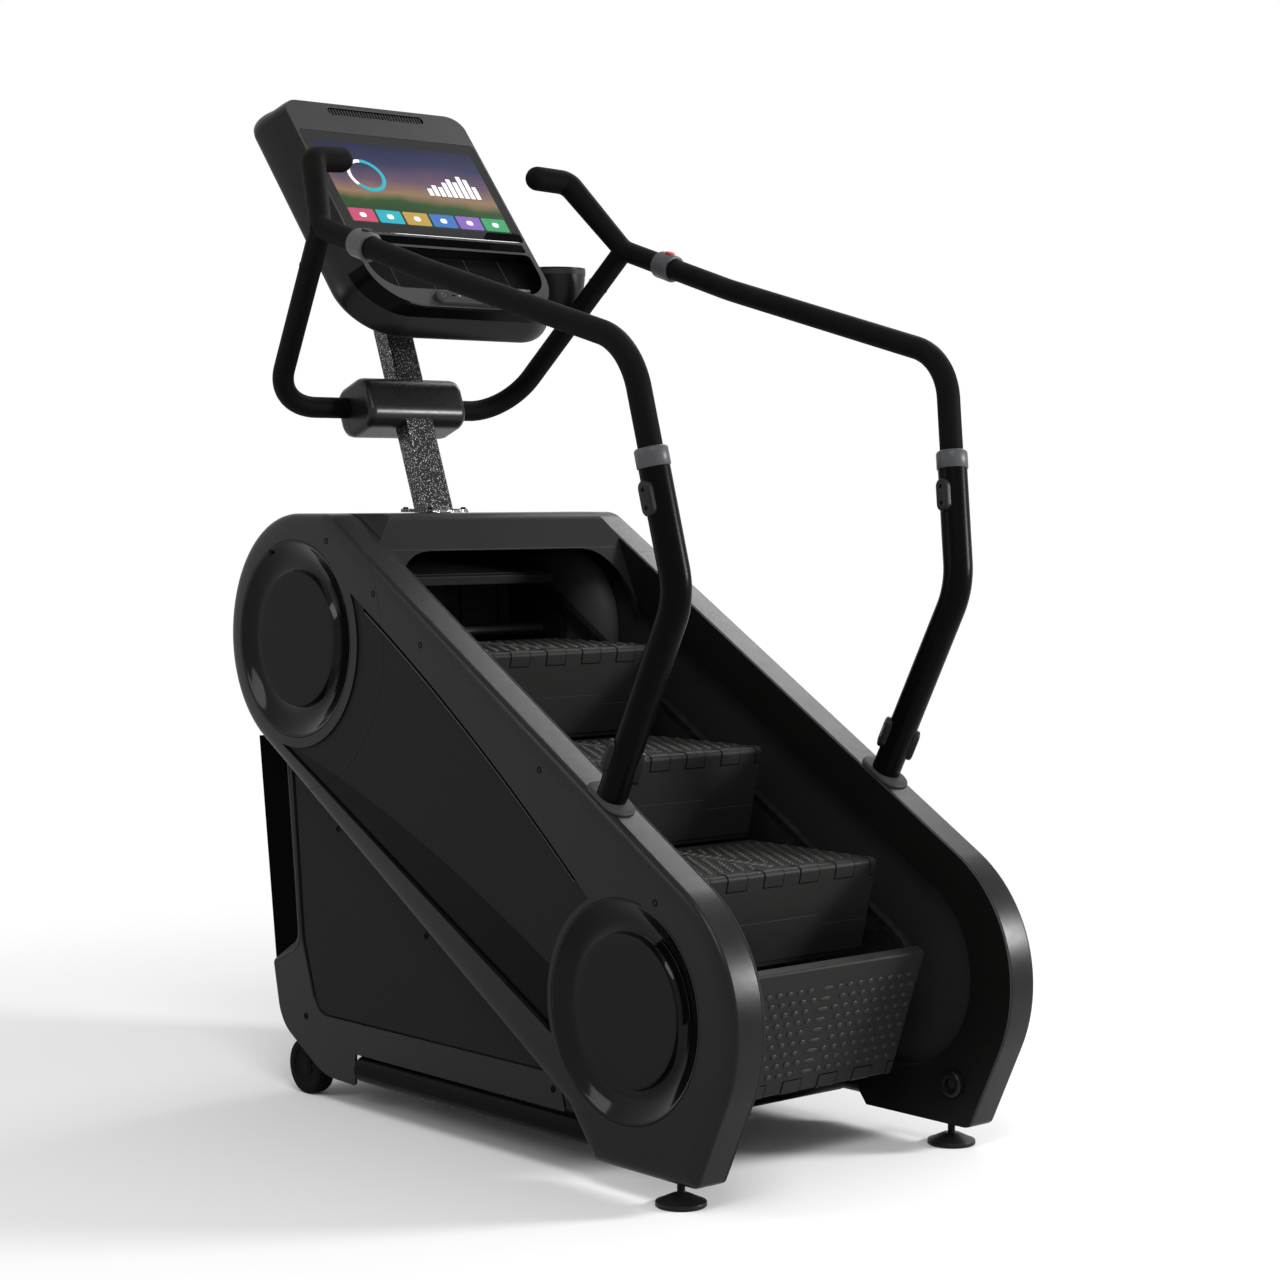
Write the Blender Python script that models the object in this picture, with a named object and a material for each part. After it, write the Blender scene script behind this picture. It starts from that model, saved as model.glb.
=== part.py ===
"""Stair climber with a revolving flight of steps, as an assembly of separate parts.

Metres, +Z up. X runs across the machine, the user faces +Y, and the origin is on the floor at the
centre of the machine's outline.
"""

import math

import bmesh
import bpy
from mathutils import Vector

# Fits
GAP = 0.0003
SHAFT_CLEARANCE = 0.0005

# Step run: the two chain axes and the pitch of the steps
STEP_RISE = 0.203
AXIS_LENGTH = 1.291
LOWER_AXIS_Y = -0.581
LOWER_AXIS_Z = 0.3535
SPROCKET_RADIUS = 0.0943
CHAIN_THICKNESS = 0.016
CHAIN_WIDTH = 0.020
CHAIN_SLACK = 0.0003
SHAFT_RADIUS = 0.0175

# Steps
STEP_HALF_WIDTH = 0.258
FIRST_STEP_ALONG = 0.107
NOSING_HEIGHT = 0.210
TREAD_THICKNESS = 0.028
RISER_THICKNESS = 0.022
RISER_RAKE = math.radians(13.7)
RISER_FOOT_CLEARANCE = 0.004
NOSING_RADIUS = 0.010
TURNING_TREAD_DEPTH = 0.284
TURNING_TREAD_OFFSET = 0.120
TURNING_NOSING_LEAD = 0.177
LOWER_TURN_ANGLE = math.radians(199.6)
UPPER_TURN_ANGLE = math.radians(-2.0)
RETURN_BEHIND_UPPER = 0.0904
FLIGHT_STEPS = 3
TREAD_BACK_RADIUS = 0.006
TREAD_BACK_CLEARANCE = 0.004
CHAIN_LUG_SIZE = 0.026
CHAIN_LUG_ROOT = 0.008
CHAIN_STEP_GAP = 0.010

# Side shells
SHELL_WIDTH = 0.0796
SHELL_WALL = 0.006
SHELL_FACE_WALL = 0.011
SHELL_EDGE_RADIUS = 0.010
CREST_OFFSET = 0.298
NOSE_FORWARD = 0.013
BELT_OFFSET = 0.262
TOP_RAISE = 0.012
TOP_CORNER_RADIUS = 0.090
LEG_FRONT_NORMAL = math.radians(205.5)
LEG_BOTTOM_Z = 0.050
LEG_TOE_RADIUS = 0.018
LEG_HEEL_Y = -0.492
LEG_HEEL_SLOPE = math.radians(51.0)
SEAM_RADIUS = 0.330
RECESS_DEPTH = 0.005
RECESS_MARGIN = 0.022
RECESS_TOP_ANGLE = math.radians(162)
RECESS_NOSE_ANGLE = math.radians(51)
RECESS_NOSE_MARGIN = 0.045
RECESS_TOE_ANGLE = math.radians(12)
RECESS_TOE_MARGIN = 0.006
RECESS_HEEL_ANGLE = math.radians(247)
RECESS_HEEL_MARGIN = 0.040
RECESS_CORNER = 0.020
RECESS_TOE_CORNER = 0.030
DISC_COVER_RADIUS = 0.2165
DISC_FACE_RADIUS = 0.148
DISC_DISH_DEPTH = 0.0195
DISC_COVER_BACK = 0.0255
DISC_FACE_SINK = 0.003
DISC_GROOVE_WIDTH = 0.018
DISC_RIM_SLOPE = 0.026
DISC_LIP_WIDTH = 0.004
DISC_LIP_SINK = 0.0005
DISC_RIM_DEPTH = 0.0085
DISC_BACK_TAPER = 0.046

# Inner skirts, lower side covers, hood and rear cover
SKIRT_THICKNESS = 0.006
SKIRT_INSET = 0.001
PORT_RADIUS = 0.027
PORT_BORE = 0.014
PORT_LENGTH = 0.014
PORT_CHAMFER = 0.004
PORT_FROM_TOE_Y = 0.012
PORT_Z = 0.136
LOWER_COVER_STANDOFF = 0.004
LOWER_COVER_THICKNESS = 0.006
LOWER_COVER_TUCK = 0.023
LOWER_COVER_REAR = 0.078
LOWER_COVER_FRONT = 0.235
LOWER_COVER_FRONT_SLANT = 0.028
LOWER_COVER_CLEARANCE = 0.002
COVER_BOSS_RADIUS = 0.012
COVER_BOSS_LOW_Z = 0.280
COVER_BOSS_HIGH_Z = 0.500
BUMPER_FRONT_STEP = 0.014
BUMPER_FLOOR_RISE = 0.004
BUMPER_LENGTH = 0.120
BUMPER_HEEL = Vector((0.105, 0.150))
BUMPER_TIP = Vector((0.135, 0.285))
BUMPER_NECK = Vector((0.034, 0.345))
BUMPER_FRONT_RADIUS = 0.010
BUMPER_FLOOR_RADIUS = 0.150
BUMPER_HEEL_RADIUS = 0.100
BUMPER_TIP_RADIUS = 0.012
BUMPER_NECK_RADIUS = 0.030
HOOD_WALL = 0.008
HOOD_LIP_DROP = 0.082
HOOD_LIP_Y = -0.228
HOOD_BROW_LENGTH = 0.036
HOOD_REAR_ANGLE = math.radians(-50)
MAST_HOLE_CLEARANCE = 0.001
REAR_COVER_WALL = 0.005
REAR_COVER_LOW_Z = 0.130
REAR_COVER_CLEARANCE = 0.00387
REAR_COVER_TOP_FRONT = 0.032
REAR_COVER_TOP_REAR = 0.214
REAR_COVER_WAIST = 0.150
REAR_COVER_WAIST_Z = 0.280
REAR_COVER_FOOT = 0.092
REAR_COVER_FOOT_FRONT = -0.028

# Frame
FRAME_PLATE_INSET = 0.034
FRAME_PLATE_THICKNESS = 0.008
FRAME_BEAM_HALF = 0.060
FRAME_LEG_WIDTH = 0.106
FRAME_LEG_END = 0.004
FRAME_REAR_LOW = Vector((0.070, -0.240))
FRAME_REAR_HIGH = Vector((0.080, 0.040))
FRAME_NECK = 0.100
FRAME_CROTCH = 0.180
RAIL_Z = 0.091
RAIL_RADIUS = 0.028
RAIL_FRONT_Y = -0.740
RAIL_REAR_AHEAD = 0.19831
CROSS_TUBE_RADIUS = 0.025
FRONT_CROSS_Y = -0.400
REAR_CROSS_AHEAD = 0.25831
TOP_BEAM_THICKNESS = 0.020
TOP_BEAM_FRONT = 0.088
TOP_BEAM_REAR = 0.064

# Feet and transport wheels
FOOT_Y = -0.700
FOOT_RADIUS = 0.049
FOOT_PAD_HEIGHT = 0.010
FOOT_CONE_HEIGHT = 0.014
FOOT_STEM_RADIUS = 0.008
FOOT_SHOULDER = 0.006
WHEEL_BEHIND = 0.02369
WHEEL_RADIUS = 0.062
WHEEL_WIDTH = 0.041
WHEEL_INSET = 0.004
AXLE_RADIUS = 0.008
AXLE_SINK = 0.002
WHEEL_ARM_THICKNESS = 0.008
WHEEL_CHAMFER = 0.006
WHEEL_RIM_WIDTH = 0.022
WHEEL_DISH = 0.005

# Drive
SHAFT_PROUD = 0.003
RUN_CLEARANCE = 0.002
PULLEY_RADIUS = 0.110
PULLEY_CHAIN_GAP = 0.010
PULLEY_SHELL_GAP = 0.015
PULLEY_WIDTH = 0.020
BELT_THICKNESS = 0.005
BRAKE_AHEAD = 0.10831
BRAKE_BELOW = 0.59388
BRAKE_PULLEY_RADIUS = 0.030
FLYWHEEL_RADIUS = 0.130
FLYWHEEL_X = 0.120
FLYWHEEL_WIDTH = 0.045
BRAKE_SHAFT_RADIUS = 0.015
BRAKE_SHAFT_DEPTH = 0.030
BRAKE_BODY_X = -0.080
BRAKE_BODY_WIDTH = 0.150
BRAKE_BODY_HALF = 0.060
BRAKE_FOOT_FRONT = 0.045
BRAKE_FOOT_REAR = 0.090

# Uprights and handrails, from the foot of the upright on the crest
UPRIGHT_FROM_UPPER = 1.021
UPRIGHT_INSET = 0.042
UPRIGHT_RADIUS = 0.03015
UPRIGHT_FLANGE_THICKNESS = 0.008
UPRIGHT_FLANGE_LENGTH = 0.112
UPRIGHT_FLANGE_HALF_WIDTH = 0.0345
UPRIGHT_FLANGE_CHAMFER = 0.004
KINK_STEP = Vector((0.0051, -0.2022, 0.3946))
COLLAR_STEP = Vector((0.0259, 0.0460, 0.2572))
RAIL_BEND_RISE = 0.2126
FORK_OUTSET = 0.04871
FORK_AHEAD = 0.12992
FORK_ABOVE = 0.88329
RAIL_FORK_STEP = Vector((0.0060, 0.3708, 0.1129))
FORK_ELBOW_STEP = Vector((-0.0658, 0.1272, 0.1622))
FORK_TIP_STEP = Vector((-0.0806, 0.0117, 0.0053))
KINK_BEND = 0.150
RAIL_BEND = 0.136
RAIL_MIDDLE_BEND = 0.900
FORK_BEND = 0.050
ELBOW_BEND = 0.032
LOOP_BEND = 0.135
GRIP_RADIUS = 0.024
COLLAR_RADIUS = 0.0325
COLLAR_LENGTH = 0.038
COLLAR_CHAMFER = 0.005
RING_RADIUS = 0.031
RING_LENGTH = 0.052
RING_CHAMFER = 0.003
RING_POCKET_DEPTH = 0.0035
RING_BACK_FROM_FORK = 0.190
RING_BUTTON_RADIUS = 0.011
RING_BUTTON_HEIGHT = 0.0045
BUTTON_TRAVEL = 0.002
LOOP_CORNER_INSET = 0.046
LOOP_BEHIND_MAST = 0.065

# Mast and clamp
MAST_HALF_WIDTH = 0.0381
MAST_HALF_DEPTH = 0.0254
MAST_LEAN = math.radians(21.0)
MAST_FOOT_BEHIND_AXIS = 0.035
MAST_TOP_Z = 1.820
MAST_FLANGE_HALF = 0.058
MAST_FLANGE_THICKNESS = 0.008
BRACKET_HALF_LENGTH = 0.100
BRACKET_HALF_WIDTH = 0.0495
BRACKET_BEHIND_MAST = 0.024
BRACKET_LAP = 0.025
CLAMP_ABOVE_AXIS = 0.51312
CLAMP_BEHIND_MAST = 0.033
CLAMP_HALF_LENGTH = 0.137
CLAMP_HALF_DEPTH = 0.066
CLAMP_HALF_HEIGHT = 0.060
CLAMP_CORNER = 0.040

# Console, in its own axes: across, up its face, and out of its face
CONSOLE_LEAN = math.radians(39.5)
CONSOLE_BEHIND_AXIS = 0.030
CONSOLE_ABOVE_AXIS = 0.912
CONSOLE_RAIL_GAP = 0.079
CONSOLE_TOP = 0.400
CONSOLE_BOTTOM = -0.236
CONSOLE_TOP_CORNER = 0.048
CONSOLE_TOP_BULGE = 0.0185
CONSOLE_BOTTOM_CORNER = 0.118
CONSOLE_BACK = 0.105
BEZEL_DEPTH = 0.036
BEZEL_EDGE = 0.005
BEZEL_FLARE = 0.019
FACE_FLARE = 0.040
GLASS_MARGIN = 0.009
GLASS_BOTTOM = -0.015
GLASS_TOP = 0.300
GLASS_THICKNESS = 0.0037
GLASS_CORNER = 0.010
TRAY_MARGIN = 0.007
TRAY_BOTTOM = -0.182
TRAY_TOP = -0.055
TRAY_DEPTH = 0.030
TRAY_CORNER = 0.030
KEYPAD_THICKNESS = 0.004
START_HALF_WIDTH = 0.026
START_HALF_HEIGHT = 0.016
START_V = -0.115
START_HEIGHT = 0.0055
START_CORNER = 0.012
PORT_BAR_HALF_WIDTH = 0.106
PORT_BAR_BOTTOM = -0.229
PORT_BAR_TOP = -0.193
PORT_BAR_HEIGHT = 0.012
PORT_BAR_CORNER = 0.012
VENT_HALF_WIDTH = 0.135
VENT_BOTTOM = 0.358
VENT_TOP = 0.382
VENT_DEPTH = 0.008
VENT_CORNER = 0.006
CUT_REACH = 0.020
CUP_RADIUS = 0.0695
CUP_FOOT_RADIUS = 0.026
CUP_HEIGHT = 0.112
CUP_WALL = 0.004
CUP_REACH = 0.086
CUP_BEHIND_AXIS = 0.070
CUP_ARM_HEIGHT = 0.024
CUP_RIM_ABOVE_BAR = 0.19263

# Roundness
ARC_STEP = math.radians(15.0)
ROUNDING = 1e-6
TUBE_SIDES = 12
LATHE_SIDES = 30

# Finishes: colour, roughness, metallic
FINISHES = {
    "charcoal_plastic": ((0.022, 0.022, 0.021), 0.48, 0.0),
    "black_plastic": ((0.008, 0.008, 0.008), 0.42, 0.0),
    "gloss_black": ((0.005, 0.005, 0.005), 0.12, 0.0),
    "tread_plastic": ((0.030, 0.030, 0.030), 0.62, 0.0),
    "black_paint": ((0.010, 0.010, 0.010), 0.28, 0.0),
    "speckled_paint": ((0.030, 0.030, 0.032), 0.40, 0.3),
    "rubber_grip": ((0.007, 0.007, 0.007), 0.68, 0.0),
    "grey_plastic": ((0.110, 0.112, 0.118), 0.42, 0.0),
    "console_grey": ((0.055, 0.055, 0.056), 0.45, 0.0),
    "screen_glass": ((0.010, 0.010, 0.012), 0.05, 0.0),
    "red_plastic": ((0.420, 0.020, 0.015), 0.35, 0.0),
    "green_plastic": ((0.020, 0.110, 0.045), 0.35, 0.0),
    "dark_steel": ((0.120, 0.120, 0.125), 0.45, 1.0),
    "drive_rubber": ((0.012, 0.012, 0.012), 0.75, 0.0),
}

# Derived pitch: the steps share the length of the chain
PITCH = (2 * AXIS_LENGTH + 2 * math.pi * SPROCKET_RADIUS + CHAIN_SLACK) / (2 * (FLIGHT_STEPS + 1))
STEP_RUN = math.sqrt(PITCH**2 - STEP_RISE**2)

# Derived directions and centres, as (y, z) pairs
INCLINE = math.atan2(STEP_RISE, STEP_RUN)
ALONG = Vector((math.cos(INCLINE), math.sin(INCLINE)))
ABOVE = Vector((-math.sin(INCLINE), math.cos(INCLINE)))
LOWER = Vector((LOWER_AXIS_Y, LOWER_AXIS_Z))
UPPER = LOWER + ALONG * AXIS_LENGTH
REAR_COVER_TOP_DROP = BELT_OFFSET * ALONG.x + REAR_COVER_CLEARANCE
HOOD_TOP_Z = UPPER.y + BELT_OFFSET + TOP_RAISE
LAST_RETURN_ALONG = AXIS_LENGTH + (RETURN_BEHIND_UPPER - NOSING_HEIGHT * ALONG.y) / ALONG.x
FIRST_RETURN_ALONG = LAST_RETURN_ALONG - (FLIGHT_STEPS - 1) * PITCH
UPRIGHT_ALONG = AXIS_LENGTH - UPRIGHT_FROM_UPPER
RAIL_REAR_Y = UPPER.x - RAIL_REAR_AHEAD
REAR_CROSS_Y = UPPER.x - REAR_CROSS_AHEAD
WHEEL_Y = UPPER.x + WHEEL_BEHIND
BRAKE_Y = UPPER.x - BRAKE_AHEAD
BRAKE_Z = UPPER.y - BRAKE_BELOW
CLAMP_Z = UPPER.y + CLAMP_ABOVE_AXIS

# Derived places across the machine, from the steps outwards
CHAIN_INNER_X = STEP_HALF_WIDTH + CHAIN_STEP_GAP
PULLEY_X = CHAIN_INNER_X + CHAIN_WIDTH + PULLEY_CHAIN_GAP
SHELL_INNER_X = PULLEY_X + PULLEY_WIDTH + PULLEY_SHELL_GAP
SHELL_OUTER_X = SHELL_INNER_X + SHELL_WIDTH
SKIRT_X = SHELL_INNER_X + SKIRT_INSET
FRAME_PLATE_X = SHELL_INNER_X + FRAME_PLATE_INSET
RAIL_X = FRAME_PLATE_X + FRAME_PLATE_THICKNESS / 2
LOWER_COVER_X = FRAME_PLATE_X + FRAME_PLATE_THICKNESS + LOWER_COVER_STANDOFF
WHEEL_INNER_X = SHELL_INNER_X + WHEEL_INSET
UPRIGHT_X = SHELL_INNER_X + UPRIGHT_INSET
LOOP_CORNER_X = UPRIGHT_X - LOOP_CORNER_INSET
CONSOLE_HALF_WIDTH = UPRIGHT_X - CONSOLE_RAIL_GAP
GLASS_HALF_WIDTH = CONSOLE_HALF_WIDTH - FACE_FLARE - GLASS_MARGIN
TRAY_HALF_WIDTH = GLASS_HALF_WIDTH - TRAY_MARGIN
CUP_X = CONSOLE_HALF_WIDTH + CUP_REACH
SIDES = {"left": -1.0, "right": 1.0}


def clear_scene():
    """Remove whatever the scene holds."""
    for obj in list(bpy.data.objects):
        bpy.data.objects.remove(obj, do_unlink=True)


def make_materials():
    """One Principled material for each finish."""
    made = {}
    for name, (colour, roughness, metallic) in FINISHES.items():
        material = bpy.data.materials.new(name)
        material.use_nodes = True
        shader = material.node_tree.nodes["Principled BSDF"]
        shader.inputs["Base Color"].default_value = (*colour, 1.0)
        shader.inputs["Roughness"].default_value = roughness
        shader.inputs["Metallic"].default_value = metallic
        made[name] = material
    return made


def machine_point(along, above):
    """The (y, z) point at a distance along and above the line of the two chain axes."""
    return LOWER + ALONG * along + ABOVE * above


def direction(angle):
    """The unit (y, z) vector at an angle from +Y towards +Z."""
    return Vector((math.cos(angle), math.sin(angle)))


def arc(centre, radius, start, end):
    """Points on an arc in the (y, z) plane, both ends included."""
    count = max(2, math.ceil(abs(end - start) / ARC_STEP - ROUNDING))
    return [centre + direction(start + (end - start) * i / count) * radius for i in range(count + 1)]


def meet(first_normal, first_offset, second_normal, second_offset):
    """Where two lines cross, each given by its unit normal and its distance from the origin."""
    det = first_normal.x * second_normal.y - first_normal.y * second_normal.x
    y = (first_offset * second_normal.y - second_offset * first_normal.y) / det
    z = (second_offset * first_normal.x - first_offset * second_normal.x) / det
    return Vector((y, z))


def rounded(corners, radii):
    """A closed outline with each corner rounded to its radius, zero for a sharp one."""
    outline = []
    count = len(corners)
    for i, corner in enumerate(corners):
        corner = Vector(corner)
        before = (Vector(corners[i - 1]) - corner).normalized()
        after = (Vector(corners[(i + 1) % count]) - corner).normalized()
        if radii[i] <= 0.0:
            outline.append(corner)
            continue
        half = math.acos(max(-1.0, min(1.0, before.dot(after)))) / 2
        centre = corner + (before + after).normalized() * radii[i] / math.sin(half)
        start = corner + before * radii[i] / math.tan(half) - centre
        turn = math.pi - 2 * half
        sign = 1.0 if before.x * after.y - before.y * after.x < 0 else -1.0
        first = math.atan2(start.y, start.x)
        outline.extend(arc(centre, radii[i], first, first + sign * turn))
    return outline


def rear_arc(radius, start):
    """The rounded rear end about the upper axis, up to its crown, which stands a little higher."""
    points = arc(UPPER, radius, start, math.pi / 2)
    stretch = (radius + TOP_RAISE) / radius
    return [Vector((p.x, UPPER.y + (p.y - UPPER.y) * (stretch if p.y > UPPER.y else 1.0))) for p in points]


def shell_outline(inset, belt_inset=None):
    """The side outline of a shell, drawn in by an inset, with its belt edge drawn in on its own."""
    belt_inset = inset if belt_inset is None else belt_inset
    rear_radius = BELT_OFFSET - inset
    crest_radius = CREST_OFFSET - inset
    top_normal = Vector((0.0, 1.0))
    top_offset = UPPER.y + rear_radius + TOP_RAISE
    crest_offset = LOWER.dot(ABOVE) + crest_radius
    corner = meet(top_normal, top_offset, ABOVE, crest_offset)
    corner_radius = TOP_CORNER_RADIUS - inset
    centre = corner - (top_normal + ABOVE).normalized() * corner_radius / math.cos(INCLINE / 2)
    nose = machine_point(-NOSE_FORWARD, 0.0)
    leg_normal = direction(LEG_FRONT_NORMAL)
    leg_offset = nose.dot(leg_normal) + crest_radius
    floor_normal = Vector((0.0, -1.0))
    floor_offset = -(LEG_BOTTOM_Z + inset)
    heel_normal = Vector((math.sin(LEG_HEEL_SLOPE), -math.cos(LEG_HEEL_SLOPE)))
    heel_offset = Vector((LEG_HEEL_Y, LEG_BOTTOM_Z)).dot(heel_normal) - inset
    belt_normal = -ABOVE
    belt_line = LOWER.dot(belt_normal) + BELT_OFFSET - belt_inset
    toe = meet(leg_normal, leg_offset, floor_normal, floor_offset)
    toe_radius = max(LEG_TOE_RADIUS - inset, 0.004)
    heel = meet(floor_normal, floor_offset, heel_normal, heel_offset)
    waist = meet(heel_normal, heel_offset, belt_normal, belt_line)
    toe_centre = toe - (leg_normal + floor_normal).normalized() * toe_radius / math.cos(
        (math.radians(270) - LEG_FRONT_NORMAL) / 2
    )
    outline = []
    if belt_inset != inset:
        outline.append(UPPER + belt_normal * (BELT_OFFSET - belt_inset) - ALONG * 5 * SHELL_WALL)
    outline += rear_arc(rear_radius, INCLINE - math.pi / 2)
    outline += arc(centre, corner_radius, math.pi / 2, math.pi / 2 + INCLINE)
    outline += arc(nose, crest_radius, math.pi / 2 + INCLINE, LEG_FRONT_NORMAL)
    outline += arc(toe_centre, toe_radius, LEG_FRONT_NORMAL, math.radians(270))
    outline += [heel, waist]
    return outline


def extrude_points(outline, x):
    """A (y, z) outline as points at one x."""
    return [Vector((x, point[0], point[1])) for point in outline]


def loft(sections):
    """A closed mesh through sections of equal point counts, with flat ends."""
    mesh = bmesh.new()
    rings = [[mesh.verts.new(point) for point in section] for section in sections]
    count = len(rings[0])
    for low, high in zip(rings, rings[1:]):
        for i in range(count):
            j = (i + 1) % count
            mesh.faces.new((low[i], low[j], high[j], high[i]))
    mesh.faces.new(rings[0])
    mesh.faces.new(rings[-1])
    return mesh


def prism(outline, x_from, x_to):
    """A (y, z) outline pushed along X."""
    return loft([extrude_points(outline, x_from), extrude_points(outline, x_to)])


def band(outer, inner, x_from, x_to):
    """A closed loop of material between two outlines of equal point counts, pushed along X."""
    mesh = bmesh.new()
    loops = [
        [mesh.verts.new(point) for point in extrude_points(outline, x)]
        for outline, x in ((outer, x_from), (outer, x_to), (inner, x_to), (inner, x_from))
    ]
    count = len(outer)
    for first, second in zip(loops, loops[1:] + loops[:1]):
        for i in range(count):
            j = (i + 1) % count
            mesh.faces.new((first[i], first[j], second[j], second[i]))
    return mesh


def lathe(profile, base, axis, sides=LATHE_SIDES):
    """A closed (radius, height) profile turned about an axis that starts at base."""
    axis = Vector(axis).normalized()
    reference = Vector((0.0, 1.0, 0.0)) if abs(axis.z) > 0.9 else Vector((0.0, 0.0, 1.0))
    side = (reference - axis * axis.dot(reference)).normalized()
    other = axis.cross(side)
    mesh = bmesh.new()
    rings = []
    for radius, height in profile:
        foot = Vector(base) + axis * height
        if radius <= 0.0:
            rings.append([mesh.verts.new(foot)])
            continue
        angles = [2 * math.pi * i / sides for i in range(sides)]
        rings.append(
            [mesh.verts.new(foot + (side * math.cos(a) + other * math.sin(a)) * radius) for a in angles]
        )
    for low, high in zip(rings, rings[1:] + rings[:1]):
        if len(low) == 1 and len(high) == 1:
            continue
        for i in range(sides):
            j = (i + 1) % sides
            corners = [low[i % len(low)], low[j % len(low)], high[j % len(high)], high[i % len(high)]]
            mesh.faces.new(list(dict.fromkeys(corners)))
    return mesh


def rod(radius, start, end, sides=LATHE_SIDES):
    """A solid cylinder between two points."""
    length = (Vector(end) - Vector(start)).length
    profile = [(0.0, 0.0), (radius, 0.0), (radius, length), (0.0, length)]
    return lathe(profile, start, Vector(end) - Vector(start), sides)


def bent_path(points, bends):
    """A polyline whose inner corners are rounded to the given bend radii."""
    path = [Vector(points[0])]
    for i in range(1, len(points) - 1):
        corner = Vector(points[i])
        before = (Vector(points[i - 1]) - corner).normalized()
        after = (Vector(points[i + 1]) - corner).normalized()
        half = before.angle(after) / 2
        turn = math.pi - 2 * half
        count = max(2, math.ceil(turn / ARC_STEP))
        centre = corner + (before + after).normalized() * bends[i - 1] / math.sin(half)
        start = corner + before * bends[i - 1] / math.tan(half) - centre
        spin = before.cross(after).normalized()
        across = -spin.cross(start)
        for k in range(count + 1):
            angle = turn * k / count
            path.append(centre + start * math.cos(angle) + across * math.sin(angle))
    path.append(Vector(points[-1]))
    return path


def sweep(path, radius, domed_end=False, sides=TUBE_SIDES):
    """A round bar along a path, with a flat start and a flat or domed end."""
    tangents = []
    for i, point in enumerate(path):
        ahead = path[min(i + 1, len(path) - 1)]
        behind = path[max(i - 1, 0)]
        tangents.append((ahead - behind).normalized())
    side = tangents[0].orthogonal().normalized()
    stations = []
    for point, tangent in zip(path, tangents):
        side = (side - tangent * side.dot(tangent)).normalized()
        stations.append((point, side, tangent.cross(side), radius))
    if domed_end:
        point, side, other, _ = stations[-1]
        for angle in (math.radians(30), math.radians(60), math.radians(82)):
            along = tangents[-1] * radius * math.sin(angle)
            stations.append((point + along, side, other, radius * math.cos(angle)))
    sections = []
    for point, side, other, size in stations:
        angles = [2 * math.pi * k / sides for k in range(sides)]
        sections.append([point + (side * math.cos(a) + other * math.sin(a)) * size for a in angles])
    return loft(sections)


class Assembly:
    """The part's objects, their shared root and their materials."""

    def __init__(self):
        clear_scene()
        self.materials = make_materials()
        self.root = bpy.data.objects.new("stair_climber", None)
        bpy.context.scene.collection.objects.link(self.root)

    def add(self, name, mesh, finish, origin=(0.0, 0.0, 0.0)):
        """A named part with its origin at a joint's axis or at the machine's origin."""
        obj = self._object(name, mesh, origin)
        obj.data.materials.append(self.materials[finish])
        return obj

    def tool(self, mesh, name="cutter"):
        """A hidden shape that cuts or joins other parts."""
        obj = self._object(name, mesh, (0.0, 0.0, 0.0))
        obj.hide_render = True
        obj.display_type = "WIRE"
        return obj

    def combine(self, obj, tool, operation="DIFFERENCE"):
        """Cut a tool out of a part, join it on, or keep only what they share."""
        modifier = obj.modifiers.new(operation.lower(), "BOOLEAN")
        modifier.operation = operation
        modifier.solver = "EXACT"
        modifier.object = tool
        return obj

    def _object(self, name, mesh, origin):
        data = bpy.data.meshes.new(name)
        bmesh.ops.recalc_face_normals(mesh, faces=mesh.faces)
        bmesh.ops.translate(mesh, verts=mesh.verts, vec=-Vector(origin))
        mesh.to_mesh(data)
        mesh.free()
        data.shade_smooth()
        data.set_sharp_from_angle(angle=math.radians(32))
        obj = bpy.data.objects.new(name, data)
        obj.location = origin
        obj.parent = self.root
        bpy.context.scene.collection.objects.link(obj)
        return obj


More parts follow.
